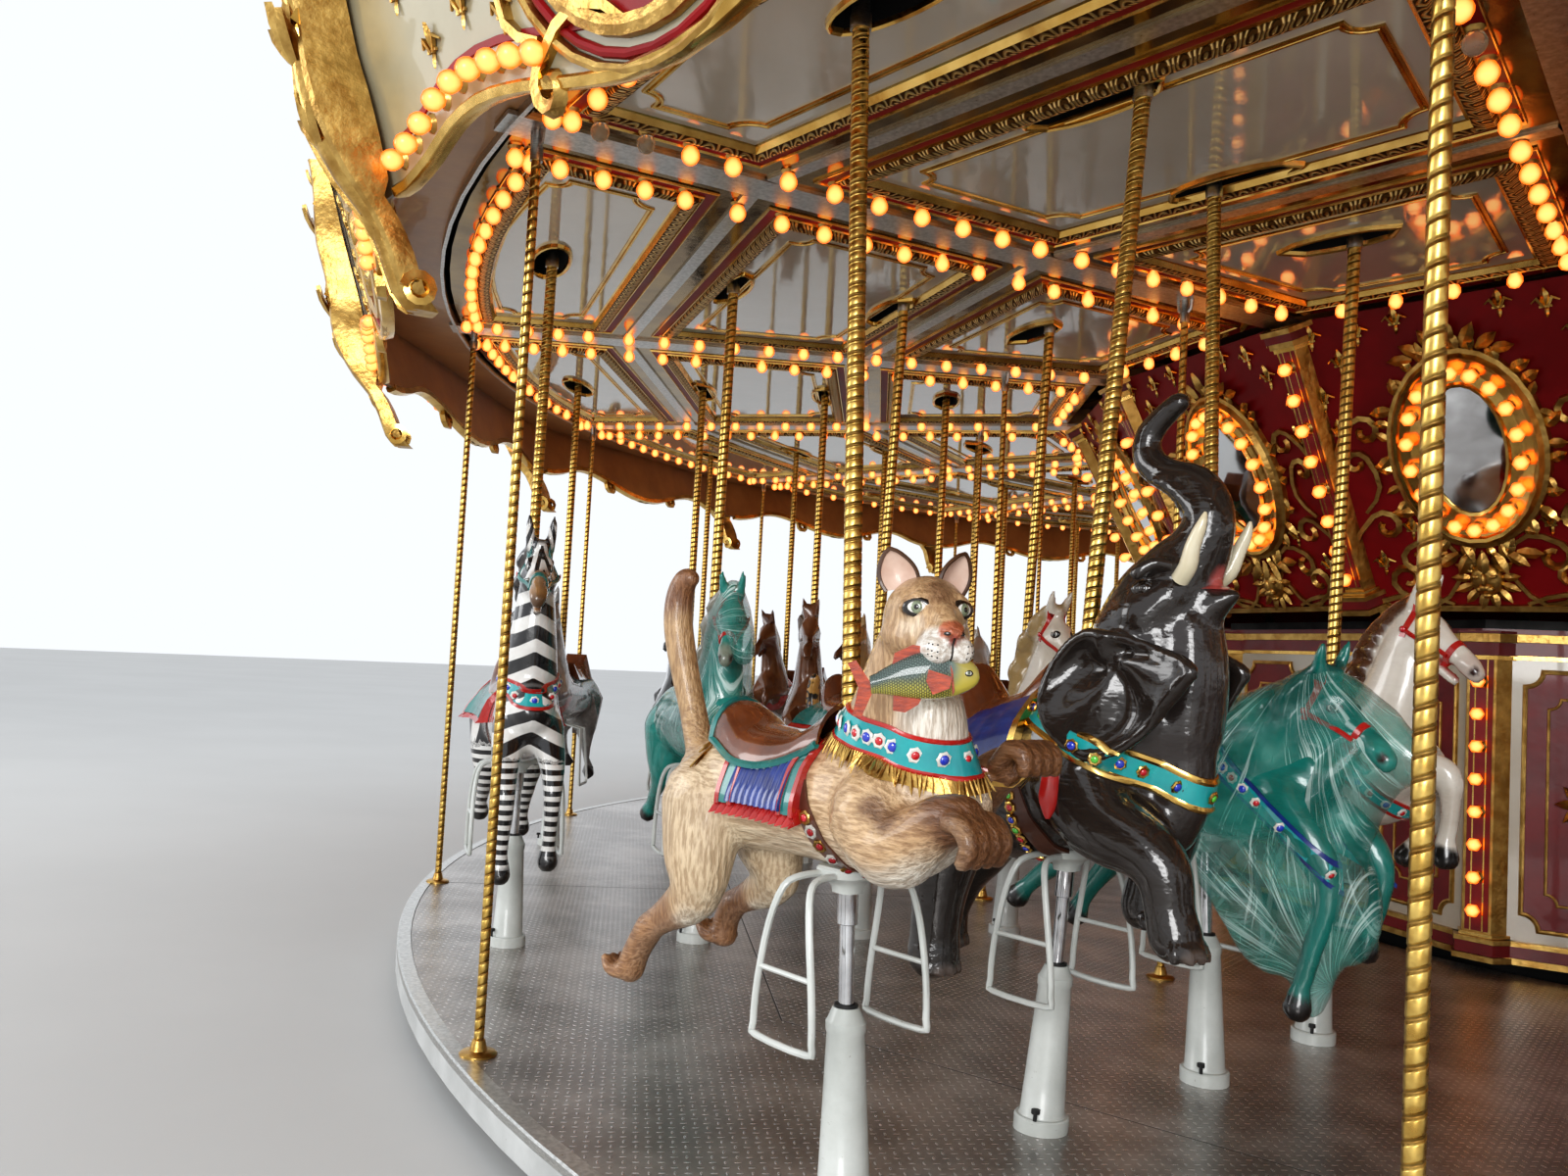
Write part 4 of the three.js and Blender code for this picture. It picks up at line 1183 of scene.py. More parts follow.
def lit_pilaster(piece, top, half, proud, steps):
    """A pilaster from 0 to top. Its steps are (bottom, top, how much wider, finish)."""
    pilaster_shaft(piece, 0.0, top, half, proud, 0)
    face = half * 0.62
    for edge, finish in ((face * 0.8, 1), (face * 0.46, 2), (face * 0.36, 1)):
        rise = proud + 0.0015 + 0.004 * (1 - edge / face)
        corners = [(-edge, 0.14), (edge, 0.14), (edge, top - 0.12), (-edge, top - 0.12)]
        slab(piece, corners, proud - 0.002, rise, finish)
    for y0, y1, grow, finish in steps:
        pilaster_shaft(piece, y0, y1, half * grow, proud + 0.035 * (grow - 1) / 0.4, finish)


h = shield_height
lit_pilaster(pilaster, h, 0.085, 0.05, [
    (0.0, 0.028, 1.5, 0), (0.03, 0.075, 1.38, 1), (0.077, 0.1, 1.45, 0), (0.102, 0.12, 1.2, 2),
    (h - 0.12, h - 0.1, 1.15, 2), (h - 0.098, h - 0.07, 1.3, 0), (h - 0.068, h - 0.03, 1.42, 1),
    (h - 0.028, h - 0.002, 1.55, 0),
])
lean_onto(pilaster, pilaster_at)
pilaster.around().done(sharp=25)

shield_spots = []
for spin in SPINS:
    for k in range(18):
        a = 2 * math.pi * (k + 0.5) / 18
        shield_spots.append(spin @ shield_at @ lay(0.24 * math.cos(a), OVAL[1] + 0.375 * math.sin(a),
                                                   z=0.022))
    for y in np.linspace(0.2, h - 0.2, 8):
        shield_spots.append(spin @ pilaster_at @ lay(0, y, z=0.056))
bulbs("shield_bulbs", "turntable", shield_spots, 1.3)

# %% [markdown]
# ## Lower drum
# The drum stands still: eight cream walls with inset red panels whose corners are scooped, gold line
# mouldings, and gilt pilasters with bulbs at the corners, over a base and under a capital of red and gold.
# %% Lower drum
DRUM_FIRST = FIRST_BEAM + 0.37 * BAY
SIDE = math.pi / 4
DRUM, DRUM_LOW, DRUM_HIGH = 2.70, 0.25, 1.875
wall_radius = DRUM * math.cos(SIDE / 2)
wall_at = panel_matrix(DRUM_FIRST + SIDE / 2, (wall_radius, DRUM_LOW), (wall_radius, DRUM_HIGH))
corner_at = panel_matrix(DRUM_FIRST, (DRUM, DRUM_LOW), (DRUM, DRUM_HIGH))
wall_height, wall_half = DRUM_HIGH - DRUM_LOW, DRUM * math.sin(SIDE / 2)
drum = Piece("drum_panels", "base", drum_cream, leaf_gold, deep_red, slot="cream_panel")
slab(drum, [(-wall_half, 0), (wall_half, 0), (wall_half, wall_height), (-wall_half, wall_height)], -0.05,
     0.0)
line = [(-0.012, 0.0), (-0.009, 0.012), (0.0, 0.016), (0.009, 0.012), (0.012, 0.0)]


def scooped_panel(x0, x1, y0, y1, z, scoop):
    return scooped([(x0, y0, z), (x1, y0, z), (x1, y1, z), (x0, y1, z)], scoop)


for x0, x1 in ((-0.86, -0.36), (-0.26, 0.26), (0.36, 0.86)):
    outer = scooped_panel(x0, x1, 0.17, 1.42, 0, 0.075)
    drum.skin([[(*p[:2], z) for p in outer] for z in (0.0005, 0.003)], 2, caps=True)
    drum.skin(sweep_rings(outer, line, loop=True), 1, loop=True)
    inset = scooped_panel(x0 + 0.1, x1 - 0.1, 0.3, 1.29, 0.003, 0.05)
    drum.skin(sweep_rings(inset, [(s * 0.6, t * 0.6) for s, t in line], loop=True), 1, loop=True)
    middle = (x0 + x1) / 2
    for k in range(8):
        drum.add(leaf, lay(middle, 0.79, k * SIDE, 0.12, 0.004, 1.2), 1)
    drum.add(fleur, lay(middle, 1.1, 0, 0.12, 0.003), 1)
    drum.add(fleur, lay(middle, 0.48, math.pi, 0.12, 0.003), 1)
lean_onto(drum, wall_at)
drum.around(8, SIDE).done("drum_walls", sharp=35)

trims = Piece("drum_trims", "base", leaf_gold, deep_red, bright_gold, slot="gold")
# each course of the base and the capital: bottom, top, how proud, finish
courses = [(0.0, 0.03, 0.034, 0), (0.031, 0.085, 0.026, 1), (0.086, 0.11, 0.03, 0),
           (1.475, 1.495, 0.012, 2),
           (1.496, 1.56, 0.022, 1), (1.561, 1.6, 0.034, 0), (1.6, 1.624, 0.045, 1)]
for y0, y1, proud, finish in courses:
    half = wall_half + proud * 0.4
    slab(trims, [(-half, y0), (half, y0), (half, y1), (-half, y1)], 0.0, proud, finish)
lean_onto(trims, wall_at)
post_at = corner_at @ Matrix.Translation((0, 0, -0.02))
corner = Piece("corner", "base")
lit_pilaster(corner, wall_height - 0.01, 0.11, 0.055, [
    (0.0, 0.028, 1.42, 0), (0.03, 0.085, 1.3, 1), (0.087, 0.11, 1.35, 0), (0.112, 0.13, 1.12, 2),
    (1.47, 1.49, 1.12, 2), (1.492, 1.555, 1.25, 1), (1.557, 1.598, 1.38, 0), (1.6, 1.612, 1.45, 1),
])
trims.add(corner.mesh(), post_at)
trims.around(8, SIDE).done("drum_base_moulding", "drum_capital_moulding", sharp=25)
drum_spots = [Matrix.Rotation(k * SIDE, 4, "Z") @ post_at @ lay(0, y, z=0.06)
              for k in range(8) for y in np.linspace(0.24, 1.36, 8)]
bulbs("drum_bulbs", "base", drum_spots, 1.25)

# %% [markdown]
# ## Rounding boards
# The boards hang outside the ceiling and lean out. Their lower edge dips at the middle and rises into
# an arch on each side, so each board is a grid whose columns start on that curve. A bright trim and a row
# of big bulbs follow it. On the cream field are gilt fleurs-de-lis and a red medallion.
# %% Rounding boards
EDGE = [(0.0, 2.902), (0.2, 2.915), (0.4, 2.958), (0.58, 3.005), (0.75, 3.038), (0.9, 3.05), (1.05, 3.03),
        (1.2, 2.985), (1.35, 2.953), (1.62, 2.945)]
BOARD_LOW, BOARD_HIGH = (7.905, 2.60), (8.385, 4.15)
board_slope = math.hypot((BOARD_HIGH[0] - BOARD_LOW[0]) * flat_share, BOARD_HIGH[1] - BOARD_LOW[1])
board_at = panel_matrix(FIRST_BAY, (BOARD_LOW[0] * flat_share, BOARD_LOW[1]),
                        (BOARD_HIGH[0] * flat_share, BOARD_HIGH[1]))


def edge_height(x):
    """How far up the slope the board's lower edge is, at x across it."""
    z = np.interp(abs(x), [p[0] for p in EDGE], [p[1] for p in EDGE])
    return (z - BOARD_LOW[1]) / (BOARD_HIGH[1] - BOARD_LOW[1]) * board_slope


def board_half(y):
    share = y / board_slope
    return (BOARD_LOW[0] + share * (BOARD_HIGH[0] - BOARD_LOW[0])) * math.sin(BAY / 2)


boards = Piece("rounding_board_panels", "turntable", board_cream, board_back, bright_gold, lacquer_red,
               leaf_gold, slot="cream_panel")
stations = np.linspace(-1, 1, 25)
columns = []
for s in stations:
    foot = edge_height(s * 1.56)
    top = board_slope - 0.002
    xs = [s * board_half(foot), s * board_half(top)]
    columns.append([(xs[0], foot, -0.001), (xs[1], top, -0.001), (xs[1], top, -0.014),
                    (xs[0], foot, -0.014)])
boards.skin(columns, 0, caps=True)
back = [[(x, y, z - 0.0145) for x, y, z in row] for row in columns]
boards.skin(back, 1, caps=True)
trim_path = [(x, edge_height(x), -0.012) for x in np.linspace(-1.46, 1.46, 35)]
trim = [(-0.014, -0.02), (-0.014, 0.028), (-0.006, 0.036), (0.018, 0.032), (0.024, 0.02), (0.02, -0.02)]
boards.skin(sweep_rings(trim_path, trim), 2, caps=True)
line_path = [(x, edge_height(x) + 0.125, 0.0) for x in np.linspace(-1.42, 1.42, 25)]
boards.skin(sweep_rings(line_path, [(-0.012, 0.0), (-0.01, 0.006), (0.01, 0.006), (0.012, 0.0)]), 3,
            caps=True)
MEDAL = (0.0, 0.86)


def medal_ring(radius, z):
    return ring(radius, 34, 0, (*MEDAL, z), 0.92)


boards.skin([medal_ring(0.5, 0.0), medal_ring(0.5, 0.004)], 3, caps=True)
for inner, outer, height, finish in ((0.47, 0.53, 0.03, 4), (0.55, 0.58, 0.018, 3), (0.585, 0.62, 0.026, 4),
                                     (0.19, 0.215, 0.016, 4)):
    steps = [(inner, 0.003), (inner + 0.005, height * 0.8), ((inner + outer) / 2, height),
             (outer - 0.005, height * 0.8), (outer, 0.001)]
    for a, b in zip(steps, steps[1:]):
        boards.skin([medal_ring(*a), medal_ring(*b)], finish)
for k in range(10):
    boards.add(leaf, lay(*MEDAL, k * math.pi / 5, 0.17, 0.005, 1.3), 4)
for k in range(24):
    a = -math.pi / 2 + (k - 11.5) / 12 * 2.3
    for way in (-0.6, 0.6):
        x, y = 0.33 * math.cos(a), MEDAL[1] + 0.31 * math.sin(a)
        turn = a + (math.pi if a < -math.pi / 2 else 0) + way
        boards.add(leaf, lay(x, y, turn, 0.085, 0.006, 1.3), 4)
for x, y in ((0.66, 0.62), (0.86, 0.70), (1.06, 0.66), (0.96, 0.88), (1.22, 0.86), (0.80, 1.04),
             (1.08, 1.10), (0.74, 1.30), (0.98, 1.36), (1.26, 1.26)):
    for way in (-1, 1):
        boards.add(fleur, lay(x * way, y, 0, 0.14), 4)
for start, end, bow, size in (((0.1, 0.4), (0.52, 0.44), 0.25, 0.16), ((0.5, 0.5), (0.62, 0.75), -0.3, 0.2),
                              ((0.62, 1.0), (0.5, 1.3), -0.3, 0.22),
                              ((0.3, 1.38), (0.05, 1.36), -0.3, 0.25)):
    scroll(boards, start, end, bow, size, 0.022, 4)
lean_onto(boards, board_at)
boards.around().done("rounding_boards", sharp=38)

board_spots = []
for spin in SPINS:
    for x in (*np.linspace(-1.38, -0.50, 9), *np.linspace(0.50, 1.38, 9)):
        board_spots.append(spin @ board_at @ lay(x, edge_height(x) + 0.07, z=0.001))
bulbs("board_bulbs", "turntable", board_spots, 1.22)

# %% [markdown]
# ## Gilt brackets and crest
# An acanthus bracket covers each corner of the boards. Its side view is an S, and its front is ribbed,
# so a ribbed cross-section is carried up the S, swelling and narrowing as the carved leaf does. A crest
# moulding of small leaves joins the brackets along the top.
# %% Brackets
S_LINE = [(7.90, 2.602), (7.955, 2.66), (8.0, 2.77), (8.06, 2.88), (8.15, 2.98), (8.24, 3.12),
          (8.285, 3.25),
          (8.305, 3.36), (8.34, 3.52), (8.39, 3.68), (8.41, 3.8), (8.43, 3.95), (8.455, 4.1), (8.47, 4.148)]
WIDTHS = [0.045, 0.075, 0.09, 0.085, 0.105, 0.12, 0.11, 0.085, 0.1, 0.12, 0.115, 0.095, 0.11, 0.115]


RIBS = [(-1.0, -0.02), (-0.98, 0.0), (-0.78, 0.012), (-0.66, -0.008), (-0.42, -0.006), (-0.26, 0.016),
        (0.0, 0.024),
        (0.26, 0.016), (0.42, -0.006), (0.66, -0.008), (0.78, 0.012), (0.98, 0.0), (1.0, -0.02)]


def board_radius(z):
    return BOARD_LOW[0] + (z - BOARD_LOW[1]) * (BOARD_HIGH[0] - BOARD_LOW[0]) / (BOARD_HIGH[1] - BOARD_LOW[1])


def s_radius(z):
    return float(np.interp(z, [p[1] for p in S_LINE], [p[0] for p in S_LINE]))


bracket = Piece("gilt_brackets", "turntable", leaf_gold, bright_gold, slot="gold")
spine = smooth_path([(r, z, w) for (r, z), w in zip(S_LINE, WIDTHS)], 2)
rings = []
for r, z, w in spine:
    seat = (board_radius(z) + 0.003) if z > 2.95 else r - 0.07
    back = min(seat, r - 0.04)
    rings.append([(a * w, -(r + b), z) for a, b in RIBS] + [(w * 0.95, -back, z), (-w * 0.95, -back, z)])
bracket.skin(rings, 0, caps=True)
for z, size, turn in ((3.30, 0.2, 0), (3.30, 0.17, 0.5), (3.30, 0.17, -0.5), (3.75, 0.2, 0),
                      (3.75, 0.17, 0.5),
                      (3.75, 0.17, -0.5), (3.06, 0.18, 0), (3.06, 0.15, 0.6), (3.06, 0.15, -0.6),
                      (3.52, 0.16, math.pi), (3.98, 0.17, math.pi), (2.80, 0.13, 0), (4.02, 0.12, 0)):
    r = s_radius(z)
    at = panel_matrix(FIRST_BAY, (r + 0.006, z), (r + 0.04, z + 0.1))
    bracket.add(leaf, at @ lay(0, 0, turn, size, 0, 1.2), 0)
for z, out, size in ((2.66, 0.0, 0.042), (3.4, 0.01, 0.048), (3.9, 0.0, 0.045)):
    r = s_radius(z) + out - 0.05
    for way in (-1, 1):
        winds = [(size * (1.1 - 0.035 * k), k * 0.6) for k in range(14)]
        coil = [(way * 0.07, -(r + reach * math.cos(a)), z + reach * math.sin(a)) for reach, a in winds]
        bracket.skin(tube_rings(coil, [0.016 - 0.0005 * k for k in range(14)], 4, 1.6), 1, caps=True)
bmesh.ops.rotate(bracket.bm, cent=(0, 0, 0), matrix=Matrix.Rotation(-BAY / 2, 3, "Z"),
                 verts=bracket.bm.verts)
CREST, CREST_LOW = 8.40, 4.15
steps = [(-0.05, 0.0015), (0.03, 0.0015), (0.045, 0.02), (0.03, 0.035), (0.06, 0.055), (0.075, 0.078),
         (-0.05, 0.0795)]
bracket.skin([[polar(CREST + out, angle, CREST_LOW + up) for out, up in steps]
              for angle in (FIRST_BEAM, FIRST_BEAM + BAY)])
crest_at = panel_matrix(FIRST_BAY, (CREST * flat_share + 0.045, CREST_LOW + 0.008),
                        (CREST * flat_share + 0.06, 4.21))
for k in range(14):
    tangent = ((k + 0.5) / 14 - 0.5) * 2 * CREST * math.sin(BAY / 2)
    bracket.add(leaf, crest_at @ lay(tangent, 0.0, 0, 0.05, 0, 2.2), 0)
bracket.around().done("board_brackets", sharp=40, outward=False)
# %% [markdown]
# ## Carving tools
# The animals are carved and then airbrushed. The carving is done as a sculptor blocks out a figure:
# overlapping round forms along bones, then one skin over all of them, from a voxel remesh with a little
# smoothing. Fine forms are added after the first skin, so the smoothing doesn't take them. The airbrush
# then colours the vertices, and the shader adds the fur strokes on top.
# %% Carving tools


def bone_rings(points, wide, steps, sides):
    """Rings round a bone of (x, y, z, radius) points, rounded at both ends; wide scales them sideways."""
    line = smooth_path(points, steps)
    place, radius = line[:, :3], np.maximum(line[:, 3], 0.0015)
    along = np.gradient(place, axis=0)
    along /= np.linalg.norm(along, axis=1)[:, None]
    ends = []
    for index, way in ((0, -1), (-1, 1)):
        caps = [(place[index] + way * along[index] * radius[index] * reach, along[index],
                 radius[index] * size)
                for reach, size in ((0.45, 0.88), (0.82, 0.55))]
        ends.append(caps[::-1] if way < 0 else caps)
    rows = ends[0] + list(zip(place, along, radius)) + ends[1]
    turns = np.arange(sides) * 2 * math.pi / sides
    rings = []
    for point, way, size in rows:
        helper = np.array([0, 1.0, 0]) if abs(way[1]) < 0.9 else np.array([1.0, 0, 0])
        side = helper - way * helper.dot(way)
        side /= np.linalg.norm(side)
        up = np.cross(side, way)
        rings.append(point + size * (np.cos(turns)[:, None] * up + wide * np.sin(turns)[:, None] * side))
    return np.array(rings)


class Carving:
    """A figure's forms in its own frame: X forward, Y to the mast, Z up from the deck."""

    def __init__(self, name, bay, row):
        self.name, self.bay, self.row = name, bay, row
        self.soft, self.fine = Piece(name, name), Piece(name, name)
        self.pose = Matrix.Identity(4)

    def form(self, *points, wide=1.0, fine=False, both=False, steps=3, sides=12):
        """A bone's form; both adds its mirror image."""
        for way in ((1, -1) if both else (1,)):
            mirrored = [(x, y * way, z, r) for x, y, z, r in points]
            rings = moved(bone_rings(mirrored, wide, steps, sides), self.pose)
            (self.fine if fine else self.soft).skin(rings, caps=True)

    def skinned(self, voxel, soft_rounds, fine_rounds, keep):
        """A skin over the soft forms, then one over it and the fine forms, thinned where it's smooth."""
        first = remeshed(self.soft.mesh(), voxel * 1.25, soft_rounds)
        self.fine.bm.from_mesh(first)
        skin = remeshed(self.fine.mesh(), voxel, fine_rounds, keep)
        faces = [p.vertices for p in skin.polygons]
        self.tree = BVHTree.FromPolygons([v.co for v in skin.vertices], faces)
        return skin


def remeshed(mesh, voxel, rounds, keep=1.0):
    """A voxel skin over a mesh, smoothed, and then thinned to the share keep."""
    item = bpy.data.objects.new("blocked_out", mesh)
    scene.collection.objects.link(item)
    skin = item.modifiers.new("skin", "REMESH")
    skin.mode = "VOXEL"
    skin.voxel_size = voxel
    soft = item.modifiers.new("soft", "SMOOTH")
    soft.iterations = rounds
    soft.factor = 0.5
    if keep < 1.0:
        item.modifiers.new("fewer", "DECIMATE").ratio = keep
    shaped = item.evaluated_get(bpy.context.evaluated_depsgraph_get())
    result = bpy.data.meshes.new_from_object(shaped)
    bpy.data.objects.remove(item)
    return result


def pose_matrix(place, turn=0.0, nod=0.0, tilt=0.0, size=1.0):
    """A part's own frame: turn about Z, nod down at the front, tilt to a side."""
    frame_of = Matrix.Translation(place)
    for angle, axis in ((turn, "Z"), (nod, "Y"), (tilt, "X")):
        frame_of = frame_of @ Matrix.Rotation(math.radians(angle), 4, axis)
    return frame_of @ Matrix.Scale(size, 4)


class Airbrush:
    """Colours for the vertices of a skin, laid on in soft sprays."""

    def __init__(self, mesh, base):
        self.mesh = mesh
        count = len(mesh.vertices)
        flat = np.empty(count * 3)
        mesh.vertices.foreach_get("co", flat)
        self.at = flat.reshape(-1, 3).copy()
        mesh.vertices.foreach_get("normal", flat)
        self.normal = flat.reshape(-1, 3).copy()
        self.colour = np.tile(np.array(base, float), (count, 1))
        self.band = np.zeros(count)
        self.lie = np.zeros(count)

    def near(self, start, end, inner, outer, both=False):
        """1 within inner of a line, falling smoothly to 0 at outer."""
        masks = []
        for way in ((1, -1) if both else (1,)):
            a, b = (np.array([p[0], p[1] * way, p[2]]) for p in (start, end))
            length = max(float((b - a) @ (b - a)), 1e-9)
            share = np.clip((self.at - a) @ (b - a) / length, 0, 1)
            gap = np.linalg.norm(self.at - a - share[:, None] * (b - a), axis=1)
            masks.append(np.clip((outer - gap) / (outer - inner), 0, 1))
        mask = np.maximum.reduce(masks)
        return mask * mask * (3 - 2 * mask)

    def lay(self, mask, colour, strength=1.0):
        mask = (np.clip(mask, 0, 1) * strength)[:, None]
        self.colour = self.colour * (1 - mask) + np.array(colour) * mask

    def spray(self, start, end, inner, outer, colour, strength=1.0, both=False):
        self.lay(self.near(start, end, inner, outer, both), colour, strength)

    def keep(self):
        """Stores the colours, the place in the figure's own frame, the fur's lie and the bands."""
        layers = self.mesh.attributes
        rgba = np.concatenate([np.clip(self.colour, 0, 1), np.ones((len(self.at), 1))], 1)
        layers.new("paint", "FLOAT_COLOR", "POINT").data.foreach_set("color", rgba.ravel())
        layers.new("place", "FLOAT_VECTOR", "POINT").data.foreach_set("vector", self.at.ravel())
        layers.new("lie", "FLOAT", "POINT").data.foreach_set("value", self.lie)
        layers.new("band", "FLOAT", "POINT").data.foreach_set("value", self.band)
        return self.mesh


def soft_step(values, low, high):
    share = np.clip((values - low) / (high - low), 0, 1)
    return share * share * (3 - 2 * share)


def stand_figure(carving, mesh, finish, slot, *replaced, part="_carving"):
    """Carries a painted skin to its place on the deck."""
    mesh.transform(stand(carving.bay, carving.row))
    mesh.shade_smooth()
    mesh.materials.append(finish)
    item = bpy.data.objects.new(carving.name + part, mesh)
    scene.collection.objects.link(item)
    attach(item, carving.name)
    if replaced:
        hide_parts(*replaced)
    print(item.name, sum(len(p.vertices) - 2 for p in mesh.polygons), "triangles")


print("carving tools ready")

# %% [markdown]
# ## Coats
# Every coat is the same shader: the airbrushed colour from the skin, fine carved strokes that run along
# the body or down the legs with painted shade in their grooves, and a clear lacquer. Some have bands or
# spots, whose sharp edges are cut in the shader, because the vertices are too far apart for a crisp line.
# %% Coats


def coat(name, strokes, depth, rough, gloss, groove_shade_and_mottle, pattern=None, specular=0.5):
    """Strokes is how fine the carved fur is, and groove_shade_and_mottle is how much darker it is in its
    grooves, as painted shade, and in its random blotches.
    """
    made = Finish(name, Coat_Weight=gloss, Coat_Roughness=0.06, Specular_IOR_Level=specular)
    where = made.place("place")
    lie = made.node("Attribute", {"attribute_name": "lie"}, out="Fac")
    along = made.grain(strokes, 3.0, where, (0.16, 1, 1), 0.6)
    down = made.grain(strokes, 3.0, where, (1, 1, 0.16), 0.6)
    hair = along * (1 - lie) + down * lie
    paint_tone = made.node("Attribute", {"attribute_name": "paint"}, out="Color")
    dark = made.blend(1.0, paint_tone, (0.55, 0.48, 0.42), "MULTIPLY")
    # painted shade: the colour darkens in the grooves between the fur strokes
    tone = made.blend((1 - hair.between(0.38, 0.6)) * groove_shade_and_mottle, paint_tone, dark)
    blotch = made.grain(7.0, 4.0, where)
    tone = made.blend(blotch.between(0.45, 0.8) * groove_shade_and_mottle * 0.7, tone, dark)
    if pattern:
        tone = pattern(made, where, tone)
    made.feed(Base_Color=tone, Roughness=rough + 0.25 * (blotch - 0.5) + 0.12 * (0.5 - hair))
    made.bump(hair, depth)
    return made.material


def stripes(made, where, tone):
    """Black bands, one to every two steps of the number stored as band."""
    band = made.node("Attribute", {"attribute_name": "band"}, out="Fac")
    sway = made.grain(5.0, 2.0, where)
    wave = (band + 0.35 * (sway - 0.5)).of("PINGPONG", 1.0)
    return made.blend(wave.between(0.46, 0.52), tone, (0.012, 0.011, 0.012))


def rosettes(made, where, tone):
    """Broken black rings round the cells of a Voronoi pattern, each with a tawny middle."""
    cells = {"Vector": where, "Scale": 17.0, "Randomness": 0.8}
    cell = made.node("TexVoronoi", {"feature": "F1"}, cells, "Distance")
    broken = made.grain(24.0, 2.0, where)
    gap = cell + 0.35 * (broken - 0.5)
    edge = gap.between(0.18, 0.24) * (1 - gap.between(0.40, 0.47))
    tone = made.blend((1 - gap.between(0.2, 0.4)) * 0.5, tone, (0.32, 0.13, 0.03))
    return made.blend(edge, tone, (0.014, 0.009, 0.006))


fawn_coat = coat("fawn_coat", 95.0, 0.008, 0.38, 0.4, 0.85)
elephant_coat = coat("elephant_coat", 18.0, 0.009, 0.13, 0.8, 0.25, specular=0.35)
teal_coat = coat("teal_coat", 30.0, 0.002, 0.25, 0.7, 0.35)
white_coat = coat("white_coat", 24.0, 0.0015, 0.26, 0.8, 0.12)
zebra_coat = coat("zebra_coat", 40.0, 0.001, 0.22, 0.9, 0.08, stripes)
leopard_coat = coat("leopard_coat", 50.0, 0.0015, 0.3, 0.6, 0.2, rosettes)
print("coats:", [m.name for m in bpy.data.materials if m.name.endswith("_coat")])

# %% [markdown]
# ## Colours of the trappings
# Saddles, cloths and straps are carved and painted too, so they are the same lacquer in many colours.
# Jewels are painted dark at the rim and bright where they face the eye: a painted reflection, as cut glass
# over foil shows it.
# %% Trapping colours
trim_red = paint("trim_red", (0.55, 0.02, 0.015), (0.36, 0.012, 0.01), 0.25, 6.0, 0.8)
trim_turquoise = paint("trim_turquoise", (0.02, 0.42, 0.42), (0.012, 0.30, 0.33), 0.25, 8.0, 0.8)
trim_blue = paint("trim_blue", (0.012, 0.045, 0.27), (0.008, 0.02, 0.14), 0.34, 14.0, 0.5)
trim_teal = paint("trim_teal", (0.015, 0.22, 0.20), (0.01, 0.13, 0.12), 0.28, 8.0, 0.8)
trim_white = paint("trim_white", (0.86, 0.84, 0.78), (0.72, 0.70, 0.64), 0.3, 9.0, 0.7)
saddle_leather = paint("saddle_leather", (0.22, 0.065, 0.022), (0.10, 0.028, 0.010), 0.25, 5.0, 0.9, 0.001)
strap_leather = paint("strap_leather", (0.13, 0.04, 0.018), (0.06, 0.018, 0.009), 0.35, 9.0, 0.7, 0.001)
horn_black = paint("horn_black", (0.022, 0.019, 0.017), (0.010, 0.009, 0.008), 0.2, 6.0, 0.9)
ivory = paint("ivory", (0.80, 0.74, 0.56), (0.70, 0.62, 0.42), 0.25, 7.0, 0.7)
mouth_pink = paint("mouth_pink", (0.62, 0.16, 0.13), (0.45, 0.08, 0.07), 0.25, 12.0, 0.8)
eye_green = paint("eye_green", (0.30, 0.34, 0.22), (0.14, 0.17, 0.11), 0.12, 90.0, 1.0)
ear_pink = paint("ear_pink", (0.74, 0.56, 0.46), (0.62, 0.42, 0.33), 0.4, 14.0, 0.3)
fawn_plain = paint("fawn_plain", (0.50, 0.31, 0.16), (0.36, 0.20, 0.09), 0.4, 30.0, 0.4)
ear_rim = paint("ear_rim", (0.10, 0.045, 0.02), (0.05, 0.02, 0.01), 0.4, 30.0, 0.4)
eye_dark = paint("eye_dark", (0.02, 0.014, 0.010), (0.012, 0.008, 0.006), 0.08, 30.0, 1.0)


def jewel_glass(name, colour):
    made = Finish(name, Roughness=0.06, Coat_Weight=1.0, Specular_IOR_Level=0.8)
    depth = made.node("LayerWeight", inputs={"Blend": 0.4}, out="Facing")
    # painted reflection: the colour is bright where the jewel faces the eye and dark at its rim
    made.feed(Base_Color=made.blend(depth.between(0.1, 0.9), colour, tuple(c * 0.25 for c in colour)))
    return made.material


jewel_red, jewel_blue, jewel_green = (jewel_glass(n, c) for n, c in (
    ("jewel_red", (0.6, 0.01, 0.02)), ("jewel_blue", (0.02, 0.05, 0.55)),
    ("jewel_green", (0.12, 0.6, 0.06))))
print("finishes:", len(bpy.data.materials))

# %% [markdown]
# ## Harness tools
# Straps, collars and saddle cloths lie on the animal, so they are made by casting rays at its skin: a band
# starts as a ring of rays round the neck or barrel, and each ray gives a point and the skin's
# direction there. The band is then a few millimetres proud of that.
# %% Harness tools


